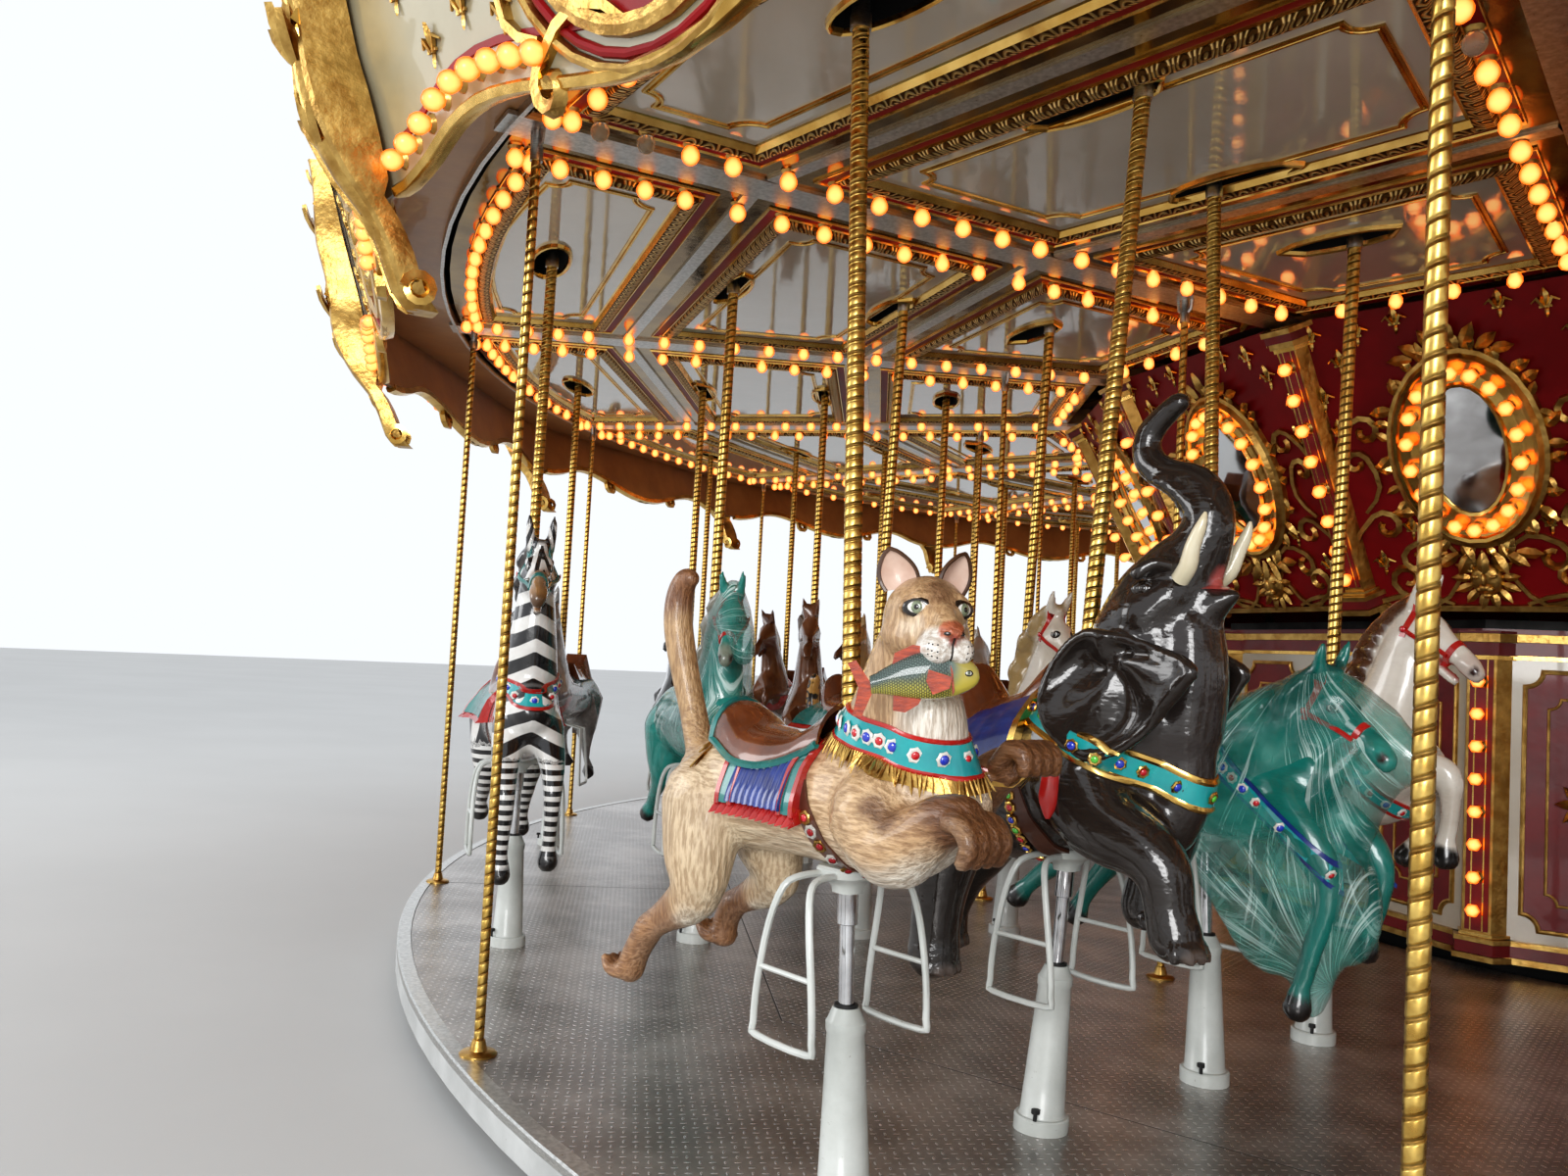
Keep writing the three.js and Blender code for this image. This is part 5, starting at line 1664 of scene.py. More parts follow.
class Harness(Piece):
    """The trappings of one figure, in the figure's own frame until they are done."""

    def __init__(self, carving, *finishes):
        super().__init__(carving.name + "_trappings", carving.name, *finishes, slot="gold")
        self.carving = carving

    def hit(self, centre, direction, reach=0.7):
        """Where a ray from inside leaves the skin, and the skin's direction there."""
        direction = Vector(direction).normalized()
        found, normal, _, _ = self.carving.tree.ray_cast(Vector(centre), direction, reach)
        if found is None:
            return Vector(centre) + direction * 0.05, direction
        return found, normal

    def belt(self, centre, axis, profile, finish, count, reach=0.7):
        """A band round a limb. Profile holds (across, proud) pairs; axis is the limb's direction."""
        axis = Vector(axis).normalized()
        first = Vector((0, 1, 0))
        first = (first - axis * first.dot(axis)).normalized()
        second = axis.cross(first)
        turns = [2 * math.pi * k / count for k in range(count)]
        rings = []
        for turn in turns:
            way = first * math.cos(turn) + second * math.sin(turn)
            row = []
            for across, proud in profile:
                found, _ = self.hit(Vector(centre) + axis * across, way, reach)
                row.append(found + way * proud)
            rings.append(row)
        self.skin(rings, finish, closed=False, loop=True)
        return [self.hit(centre, first * math.cos(t) + second * math.sin(t))[0] for t in turns]

    def stud(self, mesh, place, outward, proud=0.0, finish=None):
        self.add(mesh, facing(place + outward * proud, outward), finish)

    def hang(self):
        """Carries the trappings to the figure's place."""
        bmesh.ops.transform(self.bm, matrix=stand(self.carving.bay, self.carving.row), verts=self.bm.verts)
        return self.done(sharp=45)


def strap(half, proud):
    """A flat strap's section: half its width, and how proud of the skin it lies."""
    return [(-half, -0.003), (-half, proud), (half, proud), (half, -0.003)]


def flower_mesh(radius, petals):
    """A round petalled setting for a jewel."""
    piece = Piece("flower", "turntable")
    count = petals * 2
    rows = []
    for size, height in ((1.0, 0.0), (1.0, 0.003), (0.8, 0.006), (0.45, 0.005)):
        row = []
        for k in range(count):
            reach, a = radius * size * (1.0 if k % 2 else 0.84), 2 * math.pi * k / count
            row.append((reach * math.cos(a), reach * math.sin(a), height))
        rows.append(row)
    piece.skin(rows, caps=True)
    return piece.mesh()


def dome_mesh(radius):
    """A jewel: a low dome."""
    piece = Piece("dome", "turntable")
    profile = [(radius * math.cos(a), 0.001 + radius * 0.45 * math.sin(a)) for a in np.linspace(0, 1.35, 4)]
    lathe(piece, profile, 9)
    return piece.mesh()


def eye_set(piece, place, outward, size, iris, white, dark, almond=1.25):
    """An eye: a dark lid and a white cap, both almond-shaped, then an iris and a pupil."""
    at = facing(place, outward)
    long_way = at @ Matrix.Diagonal((almond, 0.86, 1, 1))
    for radii, finish, matrix in (
        (((1.62, -0.5), (1.58, 0.13), (1.3, 0.45), (0.96, 0.5)), dark, long_way),
        (((1.05, 0.3), (0.94, 0.5), (0.74, 0.62)), white, long_way),
        (((0.88, 0.48), (0.74, 0.67), (0.44, 0.75)), iris, at),
        (((0.42, 0.70), (0.32, 0.78), (0.05, 0.80)), dark, at),
    ):
        lathe(piece, [(r * size, h * size) for r, h in radii], 14, finish, matrix)


def cupped_ear(kit, pose, way, height, half, back, front, rim):
    """An ear: a curved back, a paler hollow in front, and a dark rolled rim."""
    spot = pose @ Matrix.Rotation(math.radians(25 * way), 4, "Z")
    edges = []
    for side in (-1, 1):
        edges.append([])
        for i in range(13):
            t = i / 12
            wide = half * (1 - t * t) ** 0.62 * (0.85 + 0.22 * math.sin(math.pi * t)) + 0.002
            edges[-1].append(Vector((0.0, side * wide + 0.012 * way * t, t * height)))
    for lift, finish in ((-0.011, back), (0.0, front)):
        rows = []
        for i in range(13):
            left, right = edges[0][i], edges[1][i]
            dish = 0.02 * math.sin(math.pi * min(1, i / 12 * 0.75 + 0.2))
            rows.append([spot @ (left.lerp(right,
                                           k / 8) + Vector(((lift - dish) * math.sin(math.pi * k / 8), 0,
                                                            0)))
                         for k in range(9)])
        kit.skin(rows, finish, closed=False)
    outline = edges[0] + edges[1][::-1]
    kit.skin(tube_rings([spot @ p for p in outline], 0.0052, 6), rim, caps=True)


def cloth(kit, centre, ends, turns, proud, finish, ripple=0.0, count=2, rows=12, pleats=11):
    """A cloth over the barrel between two stations, from one angle at the spine to another at the hem."""
    for way in (-1, 1):
        outer, inner = [], []
        for i in range(rows + 1):
            t = i / rows
            turn = turns[0] + (turns[1] - turns[0]) * t
            row = []
            for k in range(count + 1):
                s = k / count
                wave = ripple * t * abs(math.cos(math.pi * s * pleats)) ** 0.7
                out = Vector((0, way * math.sin(turn), math.cos(turn)))
                found, _ = kit.hit((ends[0] + (ends[1] - ends[0]) * s, 0, centre), out)
                row.append((found, out, proud + wave + 0.02 * t * t))
            outer.append([f + o * d for f, o, d in row])
            inner.append([f + o * 0.002 for f, o, d in row])
        kit.skin(outer, finish, closed=False)
        kit.skin([outer[-1], inner[-1]], finish, closed=False)
        for side in (0, -1):
            kit.skin([[r[side] for r in outer], [r[side] for r in inner]], finish, closed=False)


def saddle(kit, ends, centre, half, finish, cantle, pommel):
    """A seat that dips between a raised cantle behind and a low pommel in front."""
    shape = []
    for i in range(15):
        s = i / 14
        x = ends[0] + (ends[1] - ends[0]) * s
        rise = cantle * (1 - soft_step(s, 0.0, 0.34)) + pommel * soft_step(s, 0.62, 1.0) ** 2
        width = half * (0.72 + 0.28 * math.sin(math.pi * min(1, s * 1.1)))
        spine, _ = kit.hit((x, 0, centre), (0, 0, 1))
        row, below = [], []
        for k in range(15):
            a = (k / 14 - 0.5) * math.pi * 0.95
            y, drop = width * math.sin(a), width * 0.75 * (1 - math.cos(a))
            found, _ = kit.hit((x, 0, centre), (0, math.sin(a) * 0.8, math.cos(a)))
            high = max(found.z + 0.02, spine.z + 0.03 + rise * math.cos(a) ** 0.5 - drop)
            row.append(Vector((x, y, high)))
            below.append(Vector((x, y * 0.94, high - 0.014)))
        shape.append(row + below[::-1])
    kit.skin(shape, finish, caps=True)
    kit.edge = [r[0] for r in shape[::-1]] + shape[0][1:15] + [r[14] for r in shape[1:]]


def fringe(kit, centre, axis, length, finish, count, wide):
    """A band of gilt leaves that hang under a belt, laid on the skin from the belt down."""
    axis = Vector(axis).normalized()
    first = (Vector((0, 1, 0)) - axis * axis.y).normalized()
    half = 0.3 * length
    backing = [(-half, -0.003), (-half, 0.004), (half, 0.007), (half, -0.003)]
    kit.belt(centre - axis * length * 0.35, axis, backing, finish, 64)
    for k in range(count):
        turn = 2 * math.pi * k / count
        way = first * math.cos(turn) + axis.cross(first) * math.sin(turn)
        reach = length * (1.0 + 0.12 * math.sin(k * 2.1)) * (1.0 if k % 2 else 0.8)
        top, _ = kit.hit(Vector(centre), way)
        tip, _ = kit.hit(Vector(centre) - axis * reach, way)
        top, tip = top + way * 0.008, tip + way * (0.006 if k % 2 else 0.011)
        tip = top + (tip - top).normalized() * reach
        down = (tip - top).normalized()
        across = down.cross(way).normalized()
        spot = Matrix((across, down, across.cross(down))).transposed().to_4x4()
        spot.translation = top
        size = (tip - top).length
        shape = Matrix.Diagonal((size * wide, size, size * 0.35, 1))
        kit.add(leaf, spot @ Matrix.Rotation(0.22 * math.sin(k * 1.3), 4, "Z") @ shape, finish)


def jewelled(kit, line, centre, setting, colours, every=3, proud=0.007):
    """Settings and jewels along a belt's line, large and small in turn."""
    for k, place in enumerate(line[::every]):
        way = (place - Vector(centre)).normalized()
        kit.stud(petal_setting, place, way, proud, finish=setting)
        kit.stud(big_dome if k % 2 else small_dome, place, way, proud + 0.005,
                 finish=colours[k % len(colours)])


petal_setting, small_dome, big_dome = flower_mesh(0.0205, 7), dome_mesh(0.0105), dome_mesh(0.0125)
print("harness tools ready")

# %% [markdown]
# ## Poles, yokes and stirrups
# A figure hangs on a 48 mm twisted brass pole that leans as its crank carries it. Under the
# belly are the chrome rod that slides in the post, a white cast yoke, and two stirrups bent
# from white tube with a foot bar half way up. A steel fork joins the pole to its crank.
# %% Hangers


POLE, POLE_FOOT, POLE_TOP = 0.0242, 0.86, 3.44
half_stirrup = [(0.095, 0.198, 0.42), (0.108, 0.198, 0.45), (0.10, 0.198, 0.56), (0.075, 0.192, 0.70),
                (0.05, 0.172, 0.79), (0.034, 0.13, 0.815), (0.028, 0.06, 0.818)]
STIRRUP = [(-x, y, z) for x, y, z in half_stirrup[::-1]] + half_stirrup


def hanger(name, bay, row, fine):
    piece = Piece(name + "_hanger", name, pole_brass, chrome, post_white, brushed_strip, slot="brass_rods")
    spot = leaned(bay, row)
    twisted_bar(piece, spot, POLE, 0.0016, POLE_PITCH, POLE_FOOT, POLE_TOP, 10, fine)
    lathe(piece, [(0.02, 0.3), (0.02, 0.70)], 16, 1, spot)
    lathe(piece, [(0.022, 0.69), (0.027, 0.693), (0.027, 0.785), (0.03, 0.79), (0.03, 0.8)], 16, 1, spot)
    slope = lean_of(bay, row) / (CEILING - LEAN_PIVOT)
    base = stand(bay, row) @ Matrix.Translation((slope * 0.33, 0, 0))
    yoke = [(0.034, 0.034, 0.77), (0.036, 0.036, 0.785), (0.044, 0.048, 0.80), (0.062, 0.072, 0.812),
            (0.064, 0.075, 0.832), (0.06, 0.07, 0.838)]
    rings = []
    for x, y, z in yoke:
        corners = [(x, -y * 0.6), (x, y * 0.6), (x * 0.6, y), (-x * 0.6, y), (-x, y * 0.6), (-x, -y * 0.6),
                   (-x * 0.6, -y), (x * 0.6, -y)]
        rings.append([base @ Vector((a, b, z)) for a, b in corners])
    piece.skin(rings, 2, caps=True)
    for side in (-1, 1):
        path = [base @ Vector((x, side * y, z)) for x, y, z in smooth_path(STIRRUP, 3)]
        piece.skin(tube_rings(path, 0.0095, 8), 2, caps=True)
        bar = [base @ Vector((x, side * 0.197, 0.59)) for x in (-0.093, 0.093)]
        piece.skin(tube_rings(bar, 0.0075, 8), 2, caps=True)
    return piece


NEAR = [("puma", 0, 0), ("elephant", 0, 1), ("teal_horse", 0, 2), ("white_horse", 0, 3), ("zebra", 15, 0),
        ("wrapped_horse", 15, 1), ("leopard", 15, 2), ("pale_horse", 15, 3)]
fork = [(0.03, 3.06), (0.03, 3.1), (0.026, 3.11), (0.026, 3.2), (0.022, 3.21)]
for name, bay, row in NEAR:
    piece = hanger(name, bay, row, name in ("puma", "elephant", "zebra", "teal_horse"))
    lathe(piece, fork, 10, 3, leaned(bay, row))
    piece.done(sharp=45)
print("hangers ready")
# %% [markdown]
# ## The puma
# The puma leaps beside the deck's edge with a fish across its mouth. Its head turns outwards, so the
# head is carved in its own frame. Cream belly and chest, brown paws and a dark-tipped tail are airbrushed.
# %% Puma carving
puma = Carving("puma", 0, 0)
puma.form((-0.60, 0, 0.99, 0.12), (-0.47, 0, 0.985, 0.165), (-0.22, 0, 0.985, 0.155), (0.05, 0, 1.0, 0.172),
          (0.20, 0, 1.01, 0.176), (0.29, 0, 1.03, 0.13), wide=0.88)
puma.form((0.06, 0, 1.05, 0.16), (0.14, -0.005, 1.20, 0.145), (0.19, -0.03, 1.33, 0.118),
          (0.24, -0.05, 1.43, 0.098), wide=0.86)
puma.form((0.22, -0.01, 1.02, 0.125), (0.255, -0.02, 1.12, 0.108), (0.275, -0.04, 1.24, 0.088))
puma.form((-0.50, 0.085, 0.94, 0.14), (-0.46, 0.11, 0.82, 0.115), (-0.44, 0.12, 0.72, 0.08),
          (-0.54, 0.12, 0.66, 0.05), (-0.62, 0.12, 0.62, 0.042), wide=0.8)
puma.form((-0.52, -0.085, 0.94, 0.145), (-0.50, -0.11, 0.80, 0.12), (-0.50, -0.12, 0.69, 0.085),
          (-0.62, -0.12, 0.61, 0.052), (-0.70, -0.12, 0.56, 0.045), wide=0.8)
puma.form((-0.62, 0.12, 0.62, 0.045), (-0.655, 0.12, 0.56, 0.04), (-0.66, 0.12, 0.52, 0.044))
puma.form((-0.70, -0.12, 0.56, 0.046), (-0.76, -0.12, 0.48, 0.042), (-0.79, -0.12, 0.42, 0.046))
puma.form((0.18, -0.10, 0.99, 0.125), (0.27, -0.13, 0.93, 0.10), (0.35, -0.15, 0.965, 0.078),
          (0.43, -0.155, 1.015, 0.064), (0.485, -0.155, 1.03, 0.056))
puma.form((0.16, 0.10, 1.02, 0.115), (0.22, 0.13, 1.01, 0.088), (0.28, 0.14, 1.06, 0.068),
          (0.33, 0.14, 1.105, 0.058), (0.37, 0.14, 1.125, 0.055))
puma.form((-0.60, 0, 1.00, 0.07), (-0.665, 0, 1.07, 0.048), (-0.715, 0, 1.18, 0.043),
          (-0.755, -0.01, 1.30, 0.045),
          (-0.785, -0.02, 1.42, 0.047), (-0.79, -0.02, 1.51, 0.045), (-0.765, -0.02, 1.57, 0.038),
          (-0.735, -0.02, 1.575, 0.03), steps=4)
for y, (x, z), curled in ((-0.155, (0.49, 1.025), False), (0.14, (0.375, 1.13), True)):
    for across in (-0.046, -0.016, 0.016, 0.046):
        if curled:
            toe = [(x, y + across, z, 0.024), (x + 0.04, y + across * 1.15, z + 0.04, 0.026),
                   (x + 0.08, y + across * 1.2, z + 0.03, 0.024),
                   (x + 0.085, y + across * 1.2, z - 0.005, 0.02)]
        else:
            toe = [(x, y + across, z, 0.024), (x + 0.04, y + across * 1.15, z - 0.004, 0.026),
                   (x + 0.066, y + across * 1.2, z - 0.04, 0.024),
                   (x + 0.052, y + across * 1.2, z - 0.078, 0.02)]
        puma.form(*toe, fine=True, sides=8)
for y, x, z in ((0.12, -0.665, 0.515), (-0.12, -0.80, 0.41)):
    for across in (-0.036, -0.012, 0.012, 0.036):
        puma.form((x, y + across, z, 0.02), (x - 0.035, y + across * 1.2, z + 0.006, 0.019),
                  (x - 0.062, y + across * 1.2, z + 0.03, 0.014),
                  fine=True, sides=8)

puma.pose = pose_matrix((0.262, -0.055, 1.468), -30, 4)
puma.form((-0.06, 0, -0.005, 0.088), (0.0, 0, 0.012, 0.092), (0.06, 0, 0.006, 0.078),
          (0.10, 0, -0.012, 0.056), wide=1.06)
puma.form((0.0, 0.062, -0.04, 0.05), (0.065, 0.048, -0.052, 0.04), both=True)
puma.form((0.07, 0, -0.035, 0.058), (0.13, 0, -0.045, 0.05), (0.17, 0, -0.048, 0.042), wide=1.12)
puma.form((0.14, 0.028, -0.062, 0.038), (0.182, 0.025, -0.064, 0.035), fine=True, both=True)
puma.form((0.06, 0, 0.042, 0.03), (0.12, 0, 0.018, 0.025), (0.185, 0, -0.01, 0.021), fine=True, wide=1.1)
puma.form((0.19, 0, -0.016, 0.021), (0.210, 0, -0.022, 0.016), fine=True, wide=1.55)
puma.form((0.07, 0.026, 0.054, 0.018), (0.085, 0.052, 0.047, 0.016), (0.07, 0.082, 0.024, 0.012),
          fine=True, both=True)
puma.form((0.10, 0, -0.09, 0.032), (0.155, 0, -0.095, 0.026), fine=True, wide=1.1)
puma_skin = puma.skinned(0.0085, 8, 1, 0.62)
print("puma skin:", len(puma_skin.vertices), "vertices")

# %% [markdown]
# ## The puma's paint
# The fawn coat darkens at the paws and the tail's tip and pales under the belly and on the chest. Each
# spray is a line with an inner and an outer radius, as a real airbrush leaves a soft edge.
# %% Puma paint
brush = Airbrush(puma_skin, (0.60, 0.40, 0.22))
brush.lay(soft_step(-brush.normal[:, 2], 0.1, 0.75) * soft_step(-brush.at[:, 2], -1.02, -0.86),
          (0.80, 0.73, 0.61))
brush.spray((-0.40, 0, 0.98), (-0.1, 0, 0.96), 0.14, 0.24, (0.74, 0.58, 0.38), 0.55)
brush.spray((-0.50, -0.1, 0.92), (-0.40, -0.1, 0.78), 0.08, 0.22, (0.72, 0.60, 0.42), 0.7, both=True)
brush.spray((0.30, -0.02, 1.10), (0.36, -0.05, 1.30), 0.09, 0.15, (0.86, 0.80, 0.70))
brush.spray((0.10, -0.04, 0.84), (0.36, -0.08, 0.80), 0.09, 0.19, (0.86, 0.80, 0.70), 0.95)
brush.spray((0.10, -0.12, 0.98), (0.22, -0.12, 1.02), 0.08, 0.2, (0.70, 0.50, 0.30), 0.7, both=True)
brush.spray((0.36, -0.15, 1.0), (0.45, -0.155, 1.03), 0.04, 0.10, (0.34, 0.17, 0.075), 0.8)
brush.spray((0.25, -0.2, 1.03), (0.31, -0.2, 1.0), 0.015, 0.05, (0.16, 0.07, 0.03), 0.8)
brush.spray((0.48, -0.155, 1.05), (0.56, -0.155, 0.97), 0.06, 0.11, (0.17, 0.07, 0.026), 0.95)
brush.spray((0.31, 0.14, 1.09), (0.46, 0.14, 1.15), 0.08, 0.12, (0.19, 0.08, 0.03), 0.95)
brush.spray((-0.62, -0.12, 0.60), (-0.86, -0.12, 0.40), 0.07, 0.14, (0.34, 0.17, 0.075), 0.85)
brush.spray((-0.60, 0.12, 0.62), (-0.74, 0.12, 0.50), 0.07, 0.12, (0.30, 0.14, 0.06), 0.9)
brush.spray((-0.85, -0.12, 0.42), (-0.88, -0.12, 0.42), 0.02, 0.06, (0.14, 0.06, 0.03), 0.8)
brush.spray((-0.70, 0, 1.12), (-0.79, -0.02, 1.50), 0.05, 0.10, (0.50, 0.32, 0.16), 0.7)
brush.spray((-0.80, -0.02, 1.53), (-0.76, -0.02, 1.60), 0.05, 0.10, (0.24, 0.10, 0.04), 0.9)
brush.spray((-0.70, 0, 1.05), (-0.80, 0, 1.25), 0.05, 0.11, (0.52, 0.35, 0.19), 0.5)


def on_head(x, y, z):
    return tuple(puma.pose @ Vector((x, y, z)))


brush.spray(on_head(0.0, 0, 0.10), on_head(-0.1, 0, 0.0), 0.03, 0.10, (0.42, 0.26, 0.14), 0.6)
brush.spray(on_head(0.10, 0.0, 0.045), on_head(0.085, 0.0, 0.075), 0.012, 0.05, (0.20, 0.10, 0.05), 0.75)
for way in (1, -1):
    brush.spray(on_head(0.165, 0.03 * way, -0.06), on_head(0.205, 0.02 * way, -0.06), 0.034, 0.055,
                (0.88, 0.85, 0.79))
brush.spray(on_head(0.13, 0, -0.11), on_head(0.18, 0, -0.11), 0.02, 0.05, (0.86, 0.80, 0.70))
for way in (1, -1):
    cheek = on_head(0.07, 0.055 * way, -0.02)
    brush.spray(cheek, on_head(0.10, 0.04 * way, -0.02), 0.01, 0.045, (0.76, 0.62, 0.44), 0.8)
brush.spray(on_head(0.208, 0.018, -0.016), on_head(0.208, -0.018, -0.016), 0.017, 0.026,
            (0.50, 0.155, 0.075))
brush.spray(on_head(0.212, 0, -0.03), on_head(0.215, 0, -0.045), 0.008, 0.014, (0.42, 0.09, 0.06))
brush.spray(on_head(0.222, 0.0, -0.045), on_head(0.215, 0.0, -0.085), 0.003, 0.008, (0.10, 0.03, 0.02), 0.9)
for way in (-1, 1):
    inner_corner, outer_corner = on_head(0.10, 0.032 * way, 0.012), on_head(0.090, 0.048 * way, 0.022)
    brush.spray(inner_corner, on_head(0.106, 0.030 * way, 0.008), 0.006, 0.013, (0.04, 0.02, 0.012))
    brush.spray(outer_corner, on_head(0.074, 0.066 * way, 0.024), 0.016, 0.024, (0.05, 0.025, 0.015))
neck = brush.near((0.20, -0.03, 1.15), (0.30, -0.05, 1.4), 0.12, 0.2)
thighs = brush.near((-0.5, -0.12, 0.85), (-0.5, -0.12, 0.6), 0.1, 0.2, True)
tail = brush.near((-0.78, 0, 1.15), (-0.74, -0.03, 1.5), 0.06, 0.1)
brush.lie = np.clip(neck + thighs + tail, 0, 1)
stand_figure(puma, brush.keep(), fawn_coat, "fawn_coat", "puma")

# %% [markdown]
# ## The puma's trappings
# A jewelled collar with a gilt fringe lies on the neck, a leather saddle sits on a pleated blue cloth with
# a red border, and a belly strap runs under it. The fish in the mouth is a tapered form with fins.
# %% Puma trappings


def fish_skin():
    """Grey-blue scaled back, yellow belly: U runs round from the back, V along from tail to nose."""
    made = Finish("fish_skin", Coat_Weight=0.9, Roughness=0.24)
    u, v, _ = made.xyz(made.node("UVMap", {"uv_map": "wrap"}))
    low = (u - 0.5).of("ABSOLUTE") * 2.0
    patch = made.grain(30.0, 3.0)
    belly = (1 - low + 0.25 * (patch - 0.5)).between(0.42, 0.72)
    tone = made.blend(belly, (0.13, 0.19, 0.17), (0.62, 0.56, 0.10))
    scale_a = (u * 34.0 + (v * 46.0).of("FLOOR") * 0.5).of("FRACT") - 0.5
    scale_b = (v * 46.0).of("FRACT") - 0.5
    scale = (scale_a * scale_a + scale_b * scale_b).of("SQRT")
    body = 1 - v.between(0.70, 0.76)
    tone = made.blend(scale.between(0.3, 0.5) * body * 0.75, tone, (0.035, 0.05, 0.045))
    tone = made.blend(v.between(0.74, 0.86) * 0.7, tone, (0.60, 0.48, 0.08))
    made.feed(Base_Color=tone)
    made.bump(1 - scale.between(0.2, 0.5) * body, 0.002)
    return made.material


fin_red = paint("fin_red", (0.62, 0.10, 0.035), (0.30, 0.05, 0.03), 0.3, 25.0, 0.6, 0.002,
                stretch=(1, 1, 5))
kit = Harness(puma, trim_red, trim_turquoise, leaf_gold, trim_white, jewel_red, jewel_blue, saddle_leather,
              trim_blue, trim_teal, eye_green, eye_dark, strap_leather, fish_skin(), fin_red, ear_pink,
              fawn_plain, ear_rim)
(CRIMSON, TURQUOISE, GILT, IVORY, RUBY, SAPPHIRE, HIDE, NAVY, TEAL, IRIS, PUPIL, GIRTH, FISH, FIN, EAR_IN,
 EAR_BACK, EAR_EDGE) = range(17)
mouth = puma.pose @ pose_matrix((0.165, -0.042, -0.136), 80, -9) @ Matrix.Diagonal((0.76, 1.0, 1.12, 1))
# along the fish, half its height, half its thickness
fish_line = [(-0.165, 0.018, 0.010), (-0.14, 0.022, 0.014), (-0.09, 0.034, 0.022), (-0.03, 0.046, 0.03),
             (0.03, 0.05, 0.033), (0.08, 0.045, 0.031), (0.12, 0.034, 0.025), (0.145, 0.022, 0.018),
             (0.156, 0.010, 0.010)]
rings, wraps = [], []
for x, tall, thick in smooth_path(fish_line, 3):
    bend = -0.35 * x * x + 0.012
    row, wrap = [], []
    for k in range(15):
        a = 2 * math.pi * k / 14 + math.pi / 2
        row.append(mouth @ Vector((x, thick * math.cos(a), bend + tall * math.sin(a))))
        wrap.append((k / 14, (x + 0.165) / 0.321))
    rings.append(row)
    wraps.append(wrap)
kit.skin(rings, FISH, closed=False, caps=True, wrap=wraps)


def fin(points, matrix):
    """A thin fin: a closed outline with two faces, 8 mm apart."""
    rows = [[matrix @ Vector((x, y, z)) for x, z in points] for y in (-0.004, 0.004)]
    kit.skin(rows, FIN, caps=True)


fin([(-0.16, 0.004), (-0.20, 0.055), (-0.225, 0.05), (-0.20, 0.0), (-0.225, -0.055), (-0.20, -0.06),
     (-0.16, -0.012)], mouth)
fin([(-0.10, 0.03), (-0.085, 0.062), (-0.03, 0.075), (0.02, 0.066), (0.04, 0.05), (0.0, 0.045)], mouth)
fin([(-0.10, -0.02), (-0.105, -0.052), (-0.07, -0.058), (-0.03, -0.045), (-0.02, -0.035)], mouth)
side_fin = mouth @ Matrix.Translation((0, -0.036, -0.004)) @ Matrix.Rotation(math.radians(-10), 4, "Z")
fin([(0.07, 0.012), (0.005, 0.03), (-0.005, 0.008), (0.01, -0.02), (0.06, -0.01)], side_fin)
fin([(0.075, 0.018), (0.07, 0.03), (0.068, -0.03), (0.075, -0.022)],
    mouth @ Matrix.Translation((0, -0.03, 0.0)))
fish_eye = mouth @ Vector((0.122, -0.0225, 0.01))
eye_set(kit, fish_eye, mouth.to_3x3() @ Vector((0.2, -1, 0.15)), 0.0055, IRIS, IVORY, PUPIL)
print("fish done")

# %% [markdown]
# ## The puma's face
# The eyes, the whisker dots, the nostrils and the mouth's line are placed by rays from inside the head, so
# they sit on the carved skin wherever the smoothing has left it. The ears are cups at a fixed place.
# %% Puma face
puma_turn = puma.pose.to_3x3()
for way in (-1, 1):
    centre = puma.pose @ Vector((0.03, 0.012 * way, 0.005))
    aim = (puma.pose @ Vector((0.092, 0.050 * way, 0.024)) - centre).normalized()
    found, _ = kit.hit(centre, aim, 0.3)
    outward = (puma_turn @ Vector((0.86, 0.50 * way, 0.08))).normalized()
    eye_set(kit, found - outward * 0.0055, outward, 0.0175, IRIS, IVORY, PUPIL, 1.35)
    for k in range(9):
        aim = puma_turn @ Vector((0.045, way * (0.020 + 0.011 * (k % 3)), -0.004 - 0.011 * (k // 3)))
        spot, _ = kit.hit(puma.pose @ Vector((0.15, 0.008 * way, -0.046)), aim, 0.2)
        kit.add(small_dome, facing(spot, aim) @ Matrix.Scale(0.22, 4), PUPIL)
    base = puma.pose @ pose_matrix((-0.015, 0.060 * way, 0.066), 0, -4, -14 * way)
    cupped_ear(kit, base, way, 0.098, 0.045, EAR_BACK, EAR_IN, EAR_EDGE)

lip = [kit.hit(puma.pose @ Vector((0.16, 0, -0.052)), puma_turn @ Vector((0.05, 0, up)), 0.2)[0]
       for up in (0.016, 0.002, -0.012, -0.026, -0.042)]
kit.skin(tube_rings(lip, 0.0028, 5), PUPIL, caps=True)
for way in (-1, 1):
    spot, _ = kit.hit(puma.pose @ Vector((0.18, 0, -0.018)),
                      puma_turn @ Vector((0.035, 0.016 * way, -0.006)), 0.2)
    nostril = facing(spot, puma_turn @ Vector((1, 0.4 * way, 0))) @ Matrix.Diagonal((0.8, 0.45, 0.5, 1))
    kit.add(small_dome, nostril, PUPIL)
print("puma face done")

